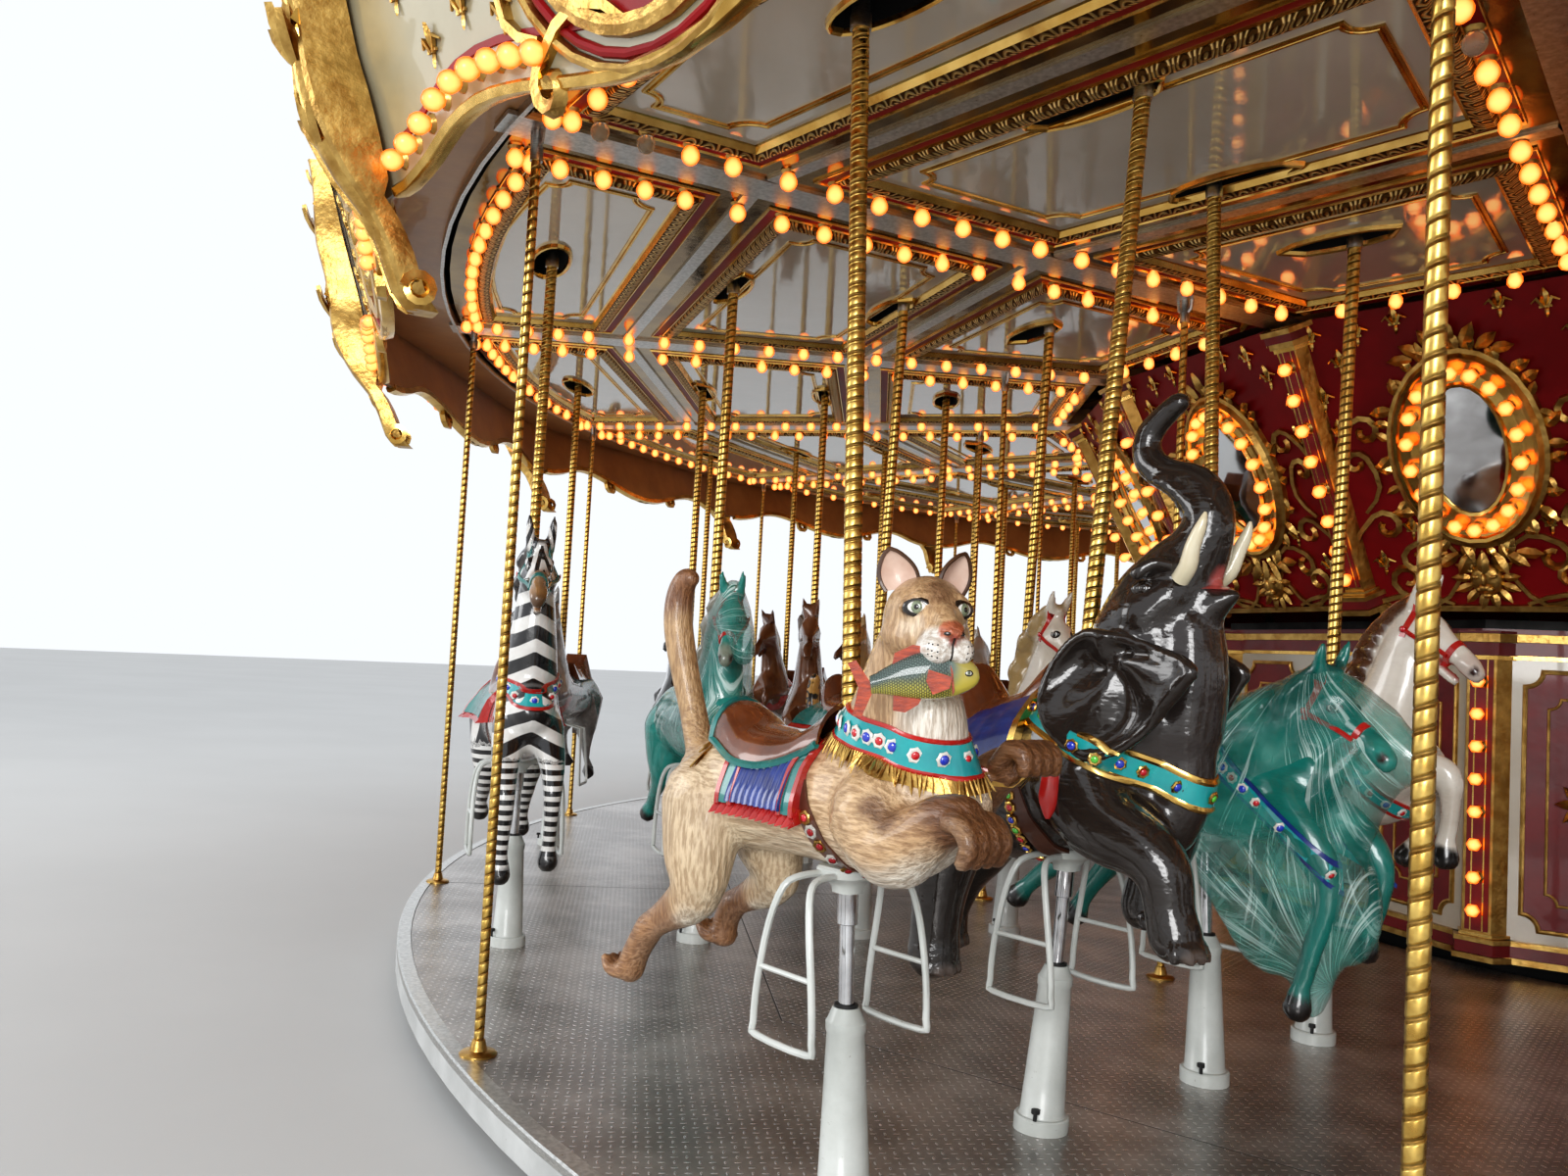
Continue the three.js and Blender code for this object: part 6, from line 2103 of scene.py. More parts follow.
# %% Puma collar, cloth and saddle
COLLAR = Vector((0.15, -0.012, 1.19))
COLLAR_AXIS = Vector((0.20, -0.08, 0.97))
cord = [(-0.006, -0.004), (-0.006, 0.006), (0.0, 0.010), (0.006, 0.006), (0.006, -0.004)]
line = kit.belt(COLLAR, COLLAR_AXIS, strap(0.034, 0.007), TURQUOISE, 64)
for shift in (-0.037, 0.037):
    kit.belt(COLLAR + COLLAR_AXIS.normalized() * shift, COLLAR_AXIS, cord, CRIMSON, 64)
jewelled(kit, line, COLLAR, IVORY, (RUBY, SAPPHIRE))
fringe(kit, COLLAR - COLLAR_AXIS.normalized() * 0.040, COLLAR_AXIS, 0.052, GILT, 112, 0.5)

cloth(kit, 0.985, (-0.315, -0.10), (0.3, 1.66), 0.008, NAVY, 0.016, 36, 12, 9)
for x0, x1 in ((-0.355, -0.31), (-0.105, -0.06)):
    cloth(kit, 0.985, (x0, x1), (0.3, 1.70), 0.012, TEAL, 0.004, 4, pleats=2)
for x in (-0.358, -0.308, -0.107, -0.058):
    cloth(kit, 0.985, (x - 0.008, x + 0.008), (0.25, 1.72), 0.016, CRIMSON)
cloth(kit, 0.985, (-0.37, -0.045), (1.60, 1.84), 0.014, CRIMSON, 0.022, 96, 5, pleats=12)
saddle(kit, (-0.48, -0.05), 0.985, 0.145, HIDE, 0.055, 0.05)
kit.skin(tube_rings(kit.edge, 0.011, 6), TEAL, caps=True)
kit.belt((-0.04, 0, 0.98), (1, 0, 0.55), strap(0.027, 0.007), GIRTH, 48)
for k in range(10):
    turn = math.pi * (0.55 + 0.09 * k)
    for way in (-1, 1):
        out = Vector((0, way * math.sin(turn), math.cos(turn)))
        out -= Vector((1, 0, 0.55)) * out.z * 0.55 / 1.3
        found, _ = kit.hit((-0.04, 0, 0.98), out)
        kit.stud(petal_setting, found, out, 0.007, IVORY if k % 2 else GILT)
        kit.stud(small_dome, found, out, 0.012, RUBY)
for k in range(34):
    a = math.pi * (0.1 + 0.8 * k / 33)
    found, _ = kit.hit((-0.44, 0, 1.0), (-0.35, math.cos(a), math.sin(a)))
    spot = facing(found, (-0.6, math.cos(a) * 0.6, 0.5)) @ Matrix.Rotation(random.uniform(2.2, 4.0), 4, "Z")
    kit.add(leaf, spot @ Matrix.Diagonal((0.075, 0.085, 0.04, 1)), GILT)
kit.hang()
# %% [markdown]
# ## The elephant
# The elephant rears, so its barrel slopes up to the head and the trunk curls over it in an S. The ears
# are thick folded flaps with rolled edges, carved as a grid laid on a fan of rings. It's lacquered nearly
# black and very glossy, so its folds show in the highlights.
# %% Elephant carving
elephant = Carving("elephant", 0, 1)
elephant.form((-0.40, 0, 0.90, 0.17), (-0.26, 0, 0.98, 0.225), (-0.04, 0, 1.04, 0.245),
              (0.14, 0, 1.12, 0.235), (0.25, 0, 1.23, 0.20), wide=0.96)
elephant.form((0.14, 0, 1.16, 0.21), (0.24, 0, 1.30, 0.19), (0.29, 0, 1.42, 0.17), wide=0.95)
elephant.form((0.26, 0, 1.46, 0.155), (0.29, 0, 1.56, 0.13), (0.33, 0, 1.62, 0.11), (0.38, 0, 1.67, 0.10))
elephant.form((0.38, 0, 1.64, 0.105), (0.43, 0, 1.73, 0.085), (0.452, 0, 1.82, 0.066),
              (0.41, 0, 1.895, 0.056),
              (0.32, 0, 1.925, 0.052), (0.25, 0, 1.975, 0.047), (0.245, 0, 2.045, 0.042),
              (0.295, 0, 2.10, 0.037), (0.345, 0, 2.135, 0.035), steps=4)
elephant.form((0.30, 0.075, 1.52, 0.09), (0.37, 0.06, 1.58, 0.07), both=True)
elephant.form((0.36, 0, 1.46, 0.09), (0.43, 0, 1.53, 0.06), (0.50, 0, 1.575, 0.036),
              (0.535, 0, 1.59, 0.02), wide=1.1)
elephant.form((0.40, 0, 1.20, 0.085), (0.40, 0, 1.05, 0.085), (0.36, 0, 0.94, 0.08))
elephant.form((0.42, 0, 1.50, 0.07), (0.43, 0, 1.36, 0.08), (0.42, 0, 1.20, 0.08), wide=1.3)
elephant.form((0.15, -0.12, 1.05, 0.15), (0.25, -0.15, 0.95, 0.12), (0.38, -0.155, 0.90, 0.092),
              (0.445, -0.155, 0.84, 0.078), (0.465, -0.155, 0.75, 0.068), (0.485, -0.155, 0.685, 0.075))
elephant.form((0.18, 0.12, 1.05, 0.15), (0.25, 0.15, 0.94, 0.11), (0.25, 0.15, 0.85, 0.085),
              (0.21, 0.15, 0.75, 0.072), (0.20, 0.15, 0.68, 0.078))
elephant.form((-0.34, -0.10, 0.92, 0.17), (-0.34, -0.13, 0.78, 0.12), (-0.35, -0.14, 0.64, 0.088),
              (-0.36, -0.14, 0.52, 0.080), (-0.36, -0.14, 0.46, 0.088))
elephant.form((-0.36, 0.10, 0.92, 0.17), (-0.42, 0.13, 0.78, 0.12), (-0.50, 0.14, 0.66, 0.085),
              (-0.56, 0.14, 0.54, 0.078), (-0.57, 0.14, 0.47, 0.086))
elephant.form((-0.52, 0, 1.02, 0.04), (-0.60, 0, 0.94, 0.026), (-0.63, 0, 0.80, 0.018),
              (-0.63, 0, 0.72, 0.026))
elephant.form((0.325, -0.15, 1.635, 0.022), (0.36, -0.13, 1.665, 0.02), (0.40, -0.10, 1.66, 0.016),
              fine=True)
for foot in ((0.495, -0.155, 0.65), (0.21, 0.15, 0.645), (-0.35, -0.14, 0.425), (-0.56, 0.14, 0.435)):
    for k in range(5):
        a = (k - 2) * 0.55
        nail = [(foot[0] + long * math.cos(a), foot[1] + across * math.sin(a), foot[2] + up, r)
                for long, across, up, r in ((0.058, 0.066, 0.012, 0.020), (0.066, 0.072, -0.008, 0.017))]
        elephant.form(*nail, fine=True, sides=8)
for k in range(9):
    t = k / 8
    x, z = 0.43 + 0.04 * math.sin(t * 3.0) - 0.10 * t * t, 1.70 + 0.20 * t
    fold = [(x - 0.07, -0.03, z + 0.01, 0.006), (x, -0.075 + 0.02 * t, z, 0.009),
            (x + 0.06, -0.03, z - 0.01, 0.006)]
    elephant.form(*fold, fine=True, sides=6)
print("elephant blocked out")

# %% [markdown]
# ## The elephant's ears
# An ear is a thick flap: rings run from a hub near the cheek out to its edge, a wave across the fan
# makes the folds, and the last rings stand proud as the rolled edge. The ear by the mast is smaller.
# %% Elephant ears
EAR = [(0.30, 1.46), (0.24, 1.465), (0.18, 1.43), (0.13, 1.36), (0.10, 1.28), (0.12, 1.21), (0.17, 1.165),
       (0.24, 1.13), (0.31, 1.145), (0.38, 1.19), (0.46, 1.27), (0.53, 1.345), (0.555, 1.375), (0.52, 1.40),
       (0.45, 1.42), (0.37, 1.445)]
edge = smooth_path(EAR, 3, loop=True)
hub = np.array([0.30, 1.38])
EAR_SIZE = {-1: np.array([1.0, 1.0]), 1: np.array([0.6, 0.9])}


def ear_flare(x, reach):
    """How far an ear leans out at x, on the ring at reach."""
    return 0.045 * reach * math.sin(min(1.0, abs(x - 0.42) / 0.3) * 1.5)


for way in (-1, 1):
    fronts, backs = [], []
    for i in range(8):
        reach = 0.02 + 0.98 * i / 7
        front, back = [], []
        for point in edge:
            x, z = hub + (point - hub) * reach * EAR_SIZE[way]
            fan = math.atan2(point[1] - hub[1], point[0] - hub[0])
            fold = 0.042 * math.sin(fan * 3.0 + 0.6 + 2.2 * reach) * reach * (1.25 - reach) * 1.5
            flare = 0.198 + ear_flare(x, reach) + fold
            roll = 0.016 * max(0.0, reach - 0.8) / 0.2
            front.append((x, way * (flare + 0.008 + roll), z))
            back.append((x, way * (flare - 0.022), z))
        fronts.append(front)
        backs.append(back)
    elephant.fine.skin(fronts + backs[::-1], caps=True)
    outline = [hub + (point - hub) * EAR_SIZE[way] for point in edge]
    rim = [(x, way * (0.205 + ear_flare(x, 1.0)), z) for x, z in outline]
    elephant.fine.skin(tube_rings(rim + rim[:1], 0.017, 8), caps=True)
    elephant.form((0.27, way * 0.12, 1.44, 0.05), (0.30, way * 0.20, 1.42, 0.03), fine=True)
elephant_skin = elephant.skinned(0.0115, 7, 1, 0.62)

# %% Elephant paint
brush = Airbrush(elephant_skin, (0.026, 0.020, 0.017))
brush.spray((0.40, 0, 1.10), (0.42, 0, 1.40), 0.08, 0.2, (0.042, 0.034, 0.032), 0.8)
brush.spray((0.44, 0, 1.59), (0.50, 0, 1.63), 0.02, 0.045, (0.50, 0.12, 0.11))
for foot in ((0.56, -0.155, 0.655), (0.275, 0.15, 0.65), (-0.285, -0.14, 0.43), (-0.495, 0.14, 0.44)):
    near, far = ((foot[0], foot[1] + across, foot[2] - 0.01) for across in (-0.05, 0.05))
    brush.spray(near, far, 0.012, 0.03, (0.16, 0.12, 0.10), 0.6)
stand_figure(elephant, brush.keep(), elephant_coat, "elephant_coat", "elephant")

# %% [markdown]
# ## The elephant's trappings
# A turquoise breast strap with gilt cords and jewels crosses the chest, and a studded girth runs under
# the barrel. The tusks and the tassels are bars whose radius changes along them.
# %% Elephant trappings
kit = Harness(elephant, bright_gold, trim_turquoise, trim_white, jewel_red, jewel_blue, jewel_green, ivory,
              mouth_pink, trim_red, strap_leather, trim_blue, eye_dark, saddle_leather)
GILT, TURQUOISE, _, RUBY, SAPPHIRE, EMERALD, TUSK, MOUTH, CRIMSON, GIRTH, NAVY, EYE, HIDE = range(13)
CHEST, SLOPE = Vector((0.15, 0, 1.185)), Vector((0.40, 0, 0.92))
line = kit.belt(CHEST, SLOPE, strap(0.032, 0.008), TURQUOISE, 72)
cord = [(-0.009, -0.004), (-0.009, 0.008), (0, 0.013), (0.009, 0.008), (0.009, -0.004)]
for shift in (-0.037, 0.037):
    kit.belt(CHEST + SLOPE.normalized() * shift, SLOPE, cord, GILT, 72)
jewelled(kit, line, CHEST, GILT, (RUBY, SAPPHIRE, EMERALD, SAPPHIRE), 3, 0.008)
kit.belt((-0.02, 0, 1.03), (0.95, 0, 0.3), strap(0.03, 0.009), GIRTH, 56)
for k in range(12):
    for way in (-1, 1):
        turn = math.pi * (0.45 + 0.05 * k)
        out = Vector((0, way * math.sin(turn), math.cos(turn)))
        found, _ = kit.hit((-0.02, 0, 1.03), out)
        kit.stud(petal_setting, found, out, 0.009, GILT)
        kit.stud(small_dome, found, out, 0.014, (RUBY, SAPPHIRE, EMERALD)[k % 3])


def tapered(points, stations, radii, sides, finish, flat=1.0):
    """A round bar through points whose radius changes from station to station, as shares of its length."""
    path = smooth_path(points, 3)
    sizes = np.interp(np.linspace(0, 1, len(path)), stations, radii)
    kit.skin(tube_rings(path, sizes, sides, flat), finish, caps=True)


for way in (-1, 1):
    tusk = [(0.42, 0.088 * way, 1.625), (0.452, 0.104 * way, 1.66), (0.47, 0.115 * way, 1.71),
            (0.495, 0.118 * way, 1.765), (0.505, 0.116 * way, 1.80)]
    tapered(tusk, (0, 0.3, 0.7, 1), (0.026, 0.025, 0.017, 0.004), 12, TUSK)
    eye, _ = kit.hit((0.32, 0.02 * way, 1.585), (0.10, way, 0.10))
    eye_set(kit, eye - Vector((0, 0.006 * way, 0)), (0.35, way, 0.1), 0.018, EYE, EYE, EYE)
    high, _ = kit.hit((0.16, 0, 1.10), (0, way, 0))
    low, _ = kit.hit((0.15, 0, 0.95), (0, way, 0))
    out = Vector((0, way * 0.024, 0))
    tassel = [high.lerp(low, share) + out for share in (0, 0.3, 0.7, 1)]
    tapered(tassel, (0, 0.15, 0.6, 1), (0.006, 0.022, 0.03, 0.006), 10, CRIMSON, 0.5)
kit.skin([ring(0.045, 14, 0, (0.475, 0, 1.60), 1.3), ring(0.03, 14, 0, (0.478, 0, 1.61), 1.3)], MOUTH,
         caps=True)
cloth(kit, 1.0, (-0.36, -0.02), (0.0, 1.35), 0.02, NAVY, 0.006, 16, 8, 5)
for x in (-0.37, -0.01):
    cloth(kit, 1.0, (x - 0.012, x + 0.012), (0.0, 1.42), 0.03, GILT)
cloth(kit, 1.0, (-0.38, 0.0), (1.28, 1.46), 0.032, GILT, 0.006, 20, 3, 9)
saddle(kit, (-0.36, -0.02), 1.0, 0.16, HIDE, 0.17, 0.07)
kit.hang()
# %% [markdown]
# ## The horses
# Five of the near figures and all of the far ones are of the horse kind, so one function blocks out a
# horse. What differs is passed to it: where the head is, how it nods, and the bones of each leg.
# %% Horse carving
GALLOP_FORE = [[(0.28, 1.0, 0.10), (0.40, 0.96, 0.072), (0.50, 0.94, 0.052), (0.49, 0.82, 0.036),
                (0.47, 0.72, 0.036)],
               [(0.28, 1.0, 0.10), (0.40, 1.02, 0.07), (0.51, 1.03, 0.052), (0.52, 0.91, 0.036),
                (0.50, 0.80, 0.036)]]
GALLOP_HIND = [[(-0.48, 0.96, 0.15), (-0.47, 0.80, 0.10), (-0.50, 0.70, 0.06), (-0.62, 0.60, 0.042),
                (-0.70, 0.53, 0.038)],
               [(-0.48, 0.96, 0.15), (-0.43, 0.79, 0.10), (-0.44, 0.68, 0.06), (-0.53, 0.56, 0.042),
                (-0.58, 0.48, 0.038)]]


def horse_leg(carving, bones, y):
    """A leg along (x, z, radius) bones, and its hoof. Returns the hoof's tip."""
    carving.form(*[(x, y * (0.75 if i == 0 else 1.0), z, r) for i, (x, z, r) in enumerate(bones)],
                 steps=4, wide=0.85)
    (x0, z0, _), (x1, z1, r) = bones[-2], bones[-1]
    way = np.array([x1 - x0, z1 - z0]) / math.hypot(x1 - x0, z1 - z0)
    tip = (x1 + way[0] * 0.055, z1 + way[1] * 0.055)
    carving.form((x1, y, z1, r * 0.95), (tip[0] + 0.008, y, tip[1], r * 1.28), fine=True, sides=10, steps=2)
    return (tip[0], y, tip[1])


def horse_carving(name, bay, row, head=(0.335, 1.565), nod=38, turn=0, fore=GALLOP_FORE, hind=GALLOP_HIND,
                  mane=1.0, ears=0.145, big=1.0, fall=-1, neck=0.7):
    """A horse's forms. The mane falls to the side of fall; neck is the neck's width for its depth."""
    horse = Carving(name, bay, row)
    horse.fall = fall
    x, z = head
    horse.form((-0.60, 0, 1.00, 0.13), (-0.47, 0, 1.01, 0.178), (-0.22, 0, 0.985, 0.168),
               (0.06, 0, 0.99, 0.175), (0.24, 0, 1.03, 0.17), (0.34, 0, 1.07, 0.12), wide=0.86)
    neck_x = 0.5 * (0.22 + x)
    horse.form((0.16, 0, 1.08, 0.165), (neck_x - 0.02, 0, 1.08 + 0.45 * (z - 1.08), 0.125),
               (x - 0.03, 0, z - 0.08, 0.088), (x, 0, z - 0.01, 0.07), wide=neck)
    horse.hooves = [horse_leg(horse, bones, y) for legs in (fore, hind) for bones,
                    y in zip(legs, (-0.095, 0.095))]
    crest = [(0.02, 1.16), (0.10, 1.10 + 0.35 * (z - 1.08)), (neck_x - 0.13, 1.12 + 0.72 * (z - 1.08)),
             (x - 0.09, z + 0.02), (x, z + 0.085)]
    horse.crest = smooth_path(crest, 3)
    for k, (cx, cz) in enumerate(horse.crest[1:]):
        sway = 0.02 * math.sin(k * 2.1)
        horse.form((cx + 0.03, 0, cz - 0.01, 0.036), (cx - 0.03 * mane, 0.035 * fall, cz - 0.01, 0.030),
                   (cx - 0.07 * mane, 0.055 * fall - sway, cz - 0.07, 0.026),
                   (cx - 0.10 * mane, 0.06 * fall + sway, cz - 0.14 * mane, 0.012), fine=True, sides=8)
    for sway, length in ((0.0, 0.46), (0.03, 0.40), (-0.03, 0.42)):
        horse.form((-0.60, 0, 1.06, 0.04), (-0.70, sway, 1.05, 0.045), (-0.77, sway * 1.5, 0.93, 0.045),
                   (-0.78, sway * 2, 0.80, 0.036), (-0.74, sway * 2.2, 1.10 - length, 0.012), fine=True,
                   sides=8)
    horse.pose = pose_matrix((x, 0, z), turn, nod, 0, big)
    horse.form((-0.03, 0, 0, 0.07), (0.06, 0, -0.008, 0.076), (0.15, 0, -0.012, 0.058),
               (0.24, 0, -0.008, 0.045), (0.30, 0, -0.014, 0.042), wide=0.7)
    horse.form((0.03, 0.026, -0.045, 0.056), (0.09, 0.022, -0.052, 0.045), both=True)
    horse.form((0.26, 0, -0.012, 0.042), (0.315, 0, -0.024, 0.034), fine=True, wide=0.9)
    horse.form((0.285, 0.018, -0.004, 0.020), (0.318, 0.016, -0.014, 0.016), fine=True, both=True)
    horse.form((0.08, 0, -0.085, 0.036), (0.18, 0, -0.092, 0.024), (0.262, 0, -0.094, 0.02), wide=0.85,
               fine=True)
    horse.form((0.055, 0.040, 0.030, 0.020), (0.09, 0.036, 0.030, 0.016), fine=True, both=True)
    horse.form((-0.03, 0.035, 0.045, 0.026), (-0.045, 0.045, 0.06 + ears * 0.5, 0.022),
               (-0.05, 0.048, 0.04 + ears, 0.007), fine=True, both=True, wide=0.8)
    return horse


def horse_brush(horse, skin, base, hair, muzzle):
    """The airbrush work that all horses share: mane, tail, muzzle, mouth and hooves."""
    brush = Airbrush(skin, base)
    for (x0, z0), (x1, z1) in zip(horse.crest, horse.crest[1:]):
        brush.spray((x0 - 0.06, 0.05 * horse.fall, z0 - 0.04), (x1 - 0.06, 0.05 * horse.fall, z1 - 0.04),
                    0.055, 0.085, hair)
        brush.spray((x0 + 0.02, 0, z0 + 0.01), (x1 + 0.02, 0, z1 + 0.01), 0.03, 0.05, hair)
    brush.spray((-0.66, 0, 1.06), (-0.78, 0, 0.95), 0.06, 0.09, hair)
    brush.spray((-0.79, 0, 0.95), (-0.75, 0, 0.66), 0.09, 0.13, hair)
    for x, y, z in horse.hooves:
        brush.spray((x, y, z), (x, y, z), 0.052, 0.062, (0.014, 0.012, 0.011))

    def on_face(start, end, *spray):
        brush.spray(horse.pose @ Vector(start), horse.pose @ Vector(end), *spray)

    on_face((0.30, 0, -0.02), (0.33, 0, -0.03), 0.04, 0.08, muzzle, 0.8)
    for way in (-1, 1):
        on_face((0.318, 0.026 * way, -0.004), (0.318, 0.028 * way, -0.014), 0.008, 0.02,
                (0.05, 0.02, 0.018))
    on_face((0.17, 0, -0.062), (0.30, 0, -0.062), 0.016, 0.03, (0.32, 0.05, 0.04))
    brush.lie = soft_step(0.92 - brush.at[:, 2], 0, 0.1)
    return brush


# the finishes of a horse's trappings, in the order that horse_kit gives them
(CRIMSON, TURQUOISE, IVORY, RUBY, SAPPHIRE, GILT, HIDE, CLOTH, BORDER, GIRTH, HORN, NAVY) = range(12)
BREAST_BAND = ((0.16, 0, 1.04), (0.62, 0, 0.78))


def bridle(kit, horse, straps=CRIMSON, edge=CRIMSON, band=BREAST_BAND, dark=HORN):
    """Cheek straps, a nose band and a brow band, with eyes and a jewelled breast strap."""
    face = horse.pose
    turn = face.to_3x3()
    ahead, up = turn @ Vector((1, 0, 0)), turn @ Vector((0, 0, 1))
    flat = strap(0.011, 0.005)
    kit.belt(face @ Vector((0.20, 0, -0.02)), ahead, flat, straps, 32, reach=0.13)
    kit.belt(face @ Vector((0.012, 0, 0.0)), ahead * 0.9 + up * 0.3, flat, straps, 32, reach=0.105)
    for way in (-1, 1):
        outward = turn @ Vector((0, way, 0))
        points = []
        for s in np.linspace(0.02, 0.20, 6):
            found, _ = kit.hit(face @ Vector((s, 0, -0.02)), turn @ Vector((0, way, -0.25)))
            points.append(found + outward * 0.003)
        kit.skin(tube_rings(smooth_path(points, 2), 0.009, 6), straps, caps=True)
        eye, _ = kit.hit(face @ Vector((0.085, 0, 0.012)), turn @ Vector((0.12, way, 0.18)))
        eye_set(kit, eye - outward * 0.006, turn @ Vector((0.25, way, 0.2)), 0.0145, dark, IVORY, dark)
        kit.stud(big_dome, points[0] + outward * 0.006, outward, finish=RUBY)
    centre, slope = Vector(band[0]), Vector(band[1])
    line = kit.belt(centre, slope, strap(0.026, 0.007), TURQUOISE, 60)
    for shift in (-0.028, 0.028):
        kit.belt(centre + slope.normalized() * shift, slope, strap(0.006, 0.009), edge, 60)
    jewelled(kit, line, centre, IVORY, (RUBY, SAPPHIRE))


def horse_kit(horse, cloth_finish, border, **bridle_settings):
    """Bridle, breast strap, saddle, cloth and girth."""
    kit = Harness(horse, trim_red, trim_turquoise, trim_white, jewel_red, jewel_blue, leaf_gold,
                  saddle_leather, cloth_finish, border, strap_leather, horn_black, trim_blue)
    bridle(kit, horse, **bridle_settings)
    cloth(kit, 1.0, (-0.44, -0.02), (0.2, 1.55), 0.018, CLOTH, 0.010, 14, 6, 7)
    cloth(kit, 1.0, (-0.47, 0.01), (1.45, 1.66), 0.028, BORDER, 0.012, 18, 2, 9)
    for x in (-0.455, -0.005):
        cloth(kit, 1.0, (x - 0.014, x + 0.014), (0.15, 1.6), 0.026, BORDER, rows=8)
    saddle(kit, (-0.44, -0.06), 1.0, 0.135, HIDE, 0.11, 0.06)
    kit.belt((-0.12, 0, 0.99), (1, 0, 0.1), strap(0.02, 0.006), GIRTH, 40)
    kit.hang()


print("horse tools ready")

# %% [markdown]
# ## The white horse
# It stands nearest to the mast with both forelegs raised, so only its legs, its head and its coat are
# given here. The mane falls to the mast's side.
# %% White horse
RAISED_FORE = [[(0.27, 1.03, 0.105), (0.38, 1.07, 0.074), (0.485, 1.065, 0.054), (0.50, 0.95, 0.037),
                (0.485, 0.83, 0.037)],
               [(0.27, 1.01, 0.10), (0.36, 1.01, 0.068), (0.42, 0.98, 0.050), (0.37, 0.87, 0.035),
                (0.30, 0.78, 0.035)]]
white_horse = horse_carving("white_horse", 0, 3, (0.335, 1.615), 36, -14, RAISED_FORE, big=0.95, fall=1,
                            neck=0.8)
skin = white_horse.skinned(0.012, 6, 1, 0.7)
brush = horse_brush(white_horse, skin, (0.74, 0.69, 0.61), (0.10, 0.042, 0.022), (0.58, 0.48, 0.42))
brush.spray((0.36, -0.1, 1.02), (0.48, -0.1, 0.95), 0.06, 0.10, (0.52, 0.44, 0.36), 0.5)
stand_figure(white_horse, brush.keep(), white_coat, "white_coat", "white_horse")
horse_kit(white_horse, trim_blue, trim_red)

# %% [markdown]
# ## Stretch film
# Two teal horses are wrapped in clear stretch film. The film spans from point to point, so its shell is
# a skin over broad forms that bridge the head, chest and knees. Fine white lines of painted highlight fan out
# across it from its peaks, and the shader lets the teal coat show between them.
# %% Film
FILM_PEAKS = ((0.34, 1.47), (0.44, 0.42))
FILM_LINES = 27.0


def film_finish():
    """Stretch film: fine white lines of painted highlight run straight out from the points that it is pulled
    over.
    """
    made = Finish("stretch_film", Coat_Weight=1.0, Coat_Roughness=0.08, Specular_IOR_Level=0.6)
    where = made.place("place")
    x, y, z = made.xyz(where)
    rays = []
    for peak_x, peak_z in FILM_PEAKS:
        across, up = x - peak_x, z - peak_z
        fan = made.node("CombineXYZ", {}, {
            "X": up.of("ARCTAN2", across) * FILM_LINES,
            "Y": (across * across + up * up).of("SQRT") * 1.6,
            "Z": y * 2.5 + 7.0 * peak_z,
        })
        rays.append(made.grain(1.0, 3.0, fan, rough=0.75))
    high = (z + made.grain(3.0, 2.0, where) * 0.5).between(0.95, 1.25)
    streak = rays[0] * high + rays[1] * (1 - high)
    crossed = rays[0].between(0.60, 0.68) * 0.6
    sheen = made.grain(3.2, 2.0, where).between(0.36, 0.62)
    # painted highlights: the glint lines are pale in the colour and more opaque
    glint = (streak.between(0.515, 0.63) + crossed).of("MINIMUM", 1.0) * (0.5 + 0.5 * sheen)
    depth = made.grain(6.0, 3.0, where).between(0.35, 0.65)
    tone = made.blend(depth, (0.012, 0.20, 0.165), (0.07, 0.40, 0.33))
    made.feed(Base_Color=made.blend(glint * 0.9, tone, (0.72, 0.88, 0.84)))
    made.feed(Alpha=0.36 + 0.22 * depth + 0.36 * glint)
    made.feed(Roughness=0.14 + 0.2 * streak)
    made.bump(streak, 0.0035)
    return made.material


stretch_film = film_finish()
# the film's lowest point over the post, so that the figure can slide down without meeting it
POST_CLEAR = 0.71


def film_wrap(carving, forms, voxel=0.015):
    """A taut shell round broad forms, with fine creases, lifted over the post."""
    shell = Carving(carving.name, carving.bay, carving.row)
    for points, wide in forms:
        shell.form(*points, wide=wide)
    skin = shell.skinned(voxel, 9, 2, 0.72)
    for vert in skin.vertices:
        p = vert.co
        crease = noise.noise(Vector((p.x * 3 + p.z * 14, p.y * 3, p.z * 3 - p.x * 12))) * 0.005
        crease += noise.noise(Vector((p.x * 20, p.y * 20, p.z * 3))) * 0.002
        vert.co = p + vert.normal * crease
        near_post = 1 - soft_step(math.hypot(p.x, p.y), 0.11, 0.18)
        vert.co.z += max(0.0, POST_CLEAR - vert.co.z) * near_post
    painted = Airbrush(skin, (0.1, 0.4, 0.35)).keep()
    stand_figure(carving, painted, stretch_film, "teal_coat", part="_film_wrap")


print("film ready")

# %% [markdown]
# ## The wrapped horses
# The nearer one reaches forward with its head low, and its film runs from the crest to the knees. The
# farther one's film runs up to its ears.
# %% Teal horse
REACHING_FORE = [[(0.28, 0.98, 0.105), (0.40, 0.86, 0.076), (0.46, 0.72, 0.052), (0.42, 0.55, 0.038),
                  (0.38, 0.40, 0.036)],
                 [(0.28, 0.98, 0.10), (0.44, 0.90, 0.072), (0.53, 0.80, 0.052), (0.53, 0.68, 0.037),
                  (0.50, 0.58, 0.036)]]
teal_horse = horse_carving("teal_horse", 0, 2, (0.385, 1.315), 30, -22, REACHING_FORE)
skin = teal_horse.skinned(0.0135, 6, 1, 0.65)
brush = horse_brush(teal_horse, skin, (0.010, 0.19, 0.16), (0.008, 0.09, 0.08), (0.05, 0.34, 0.29))
stand_figure(teal_horse, brush.keep(), teal_coat, "teal_coat", "teal_horse")
horse_kit(teal_horse, trim_teal, trim_red, edge=NAVY)
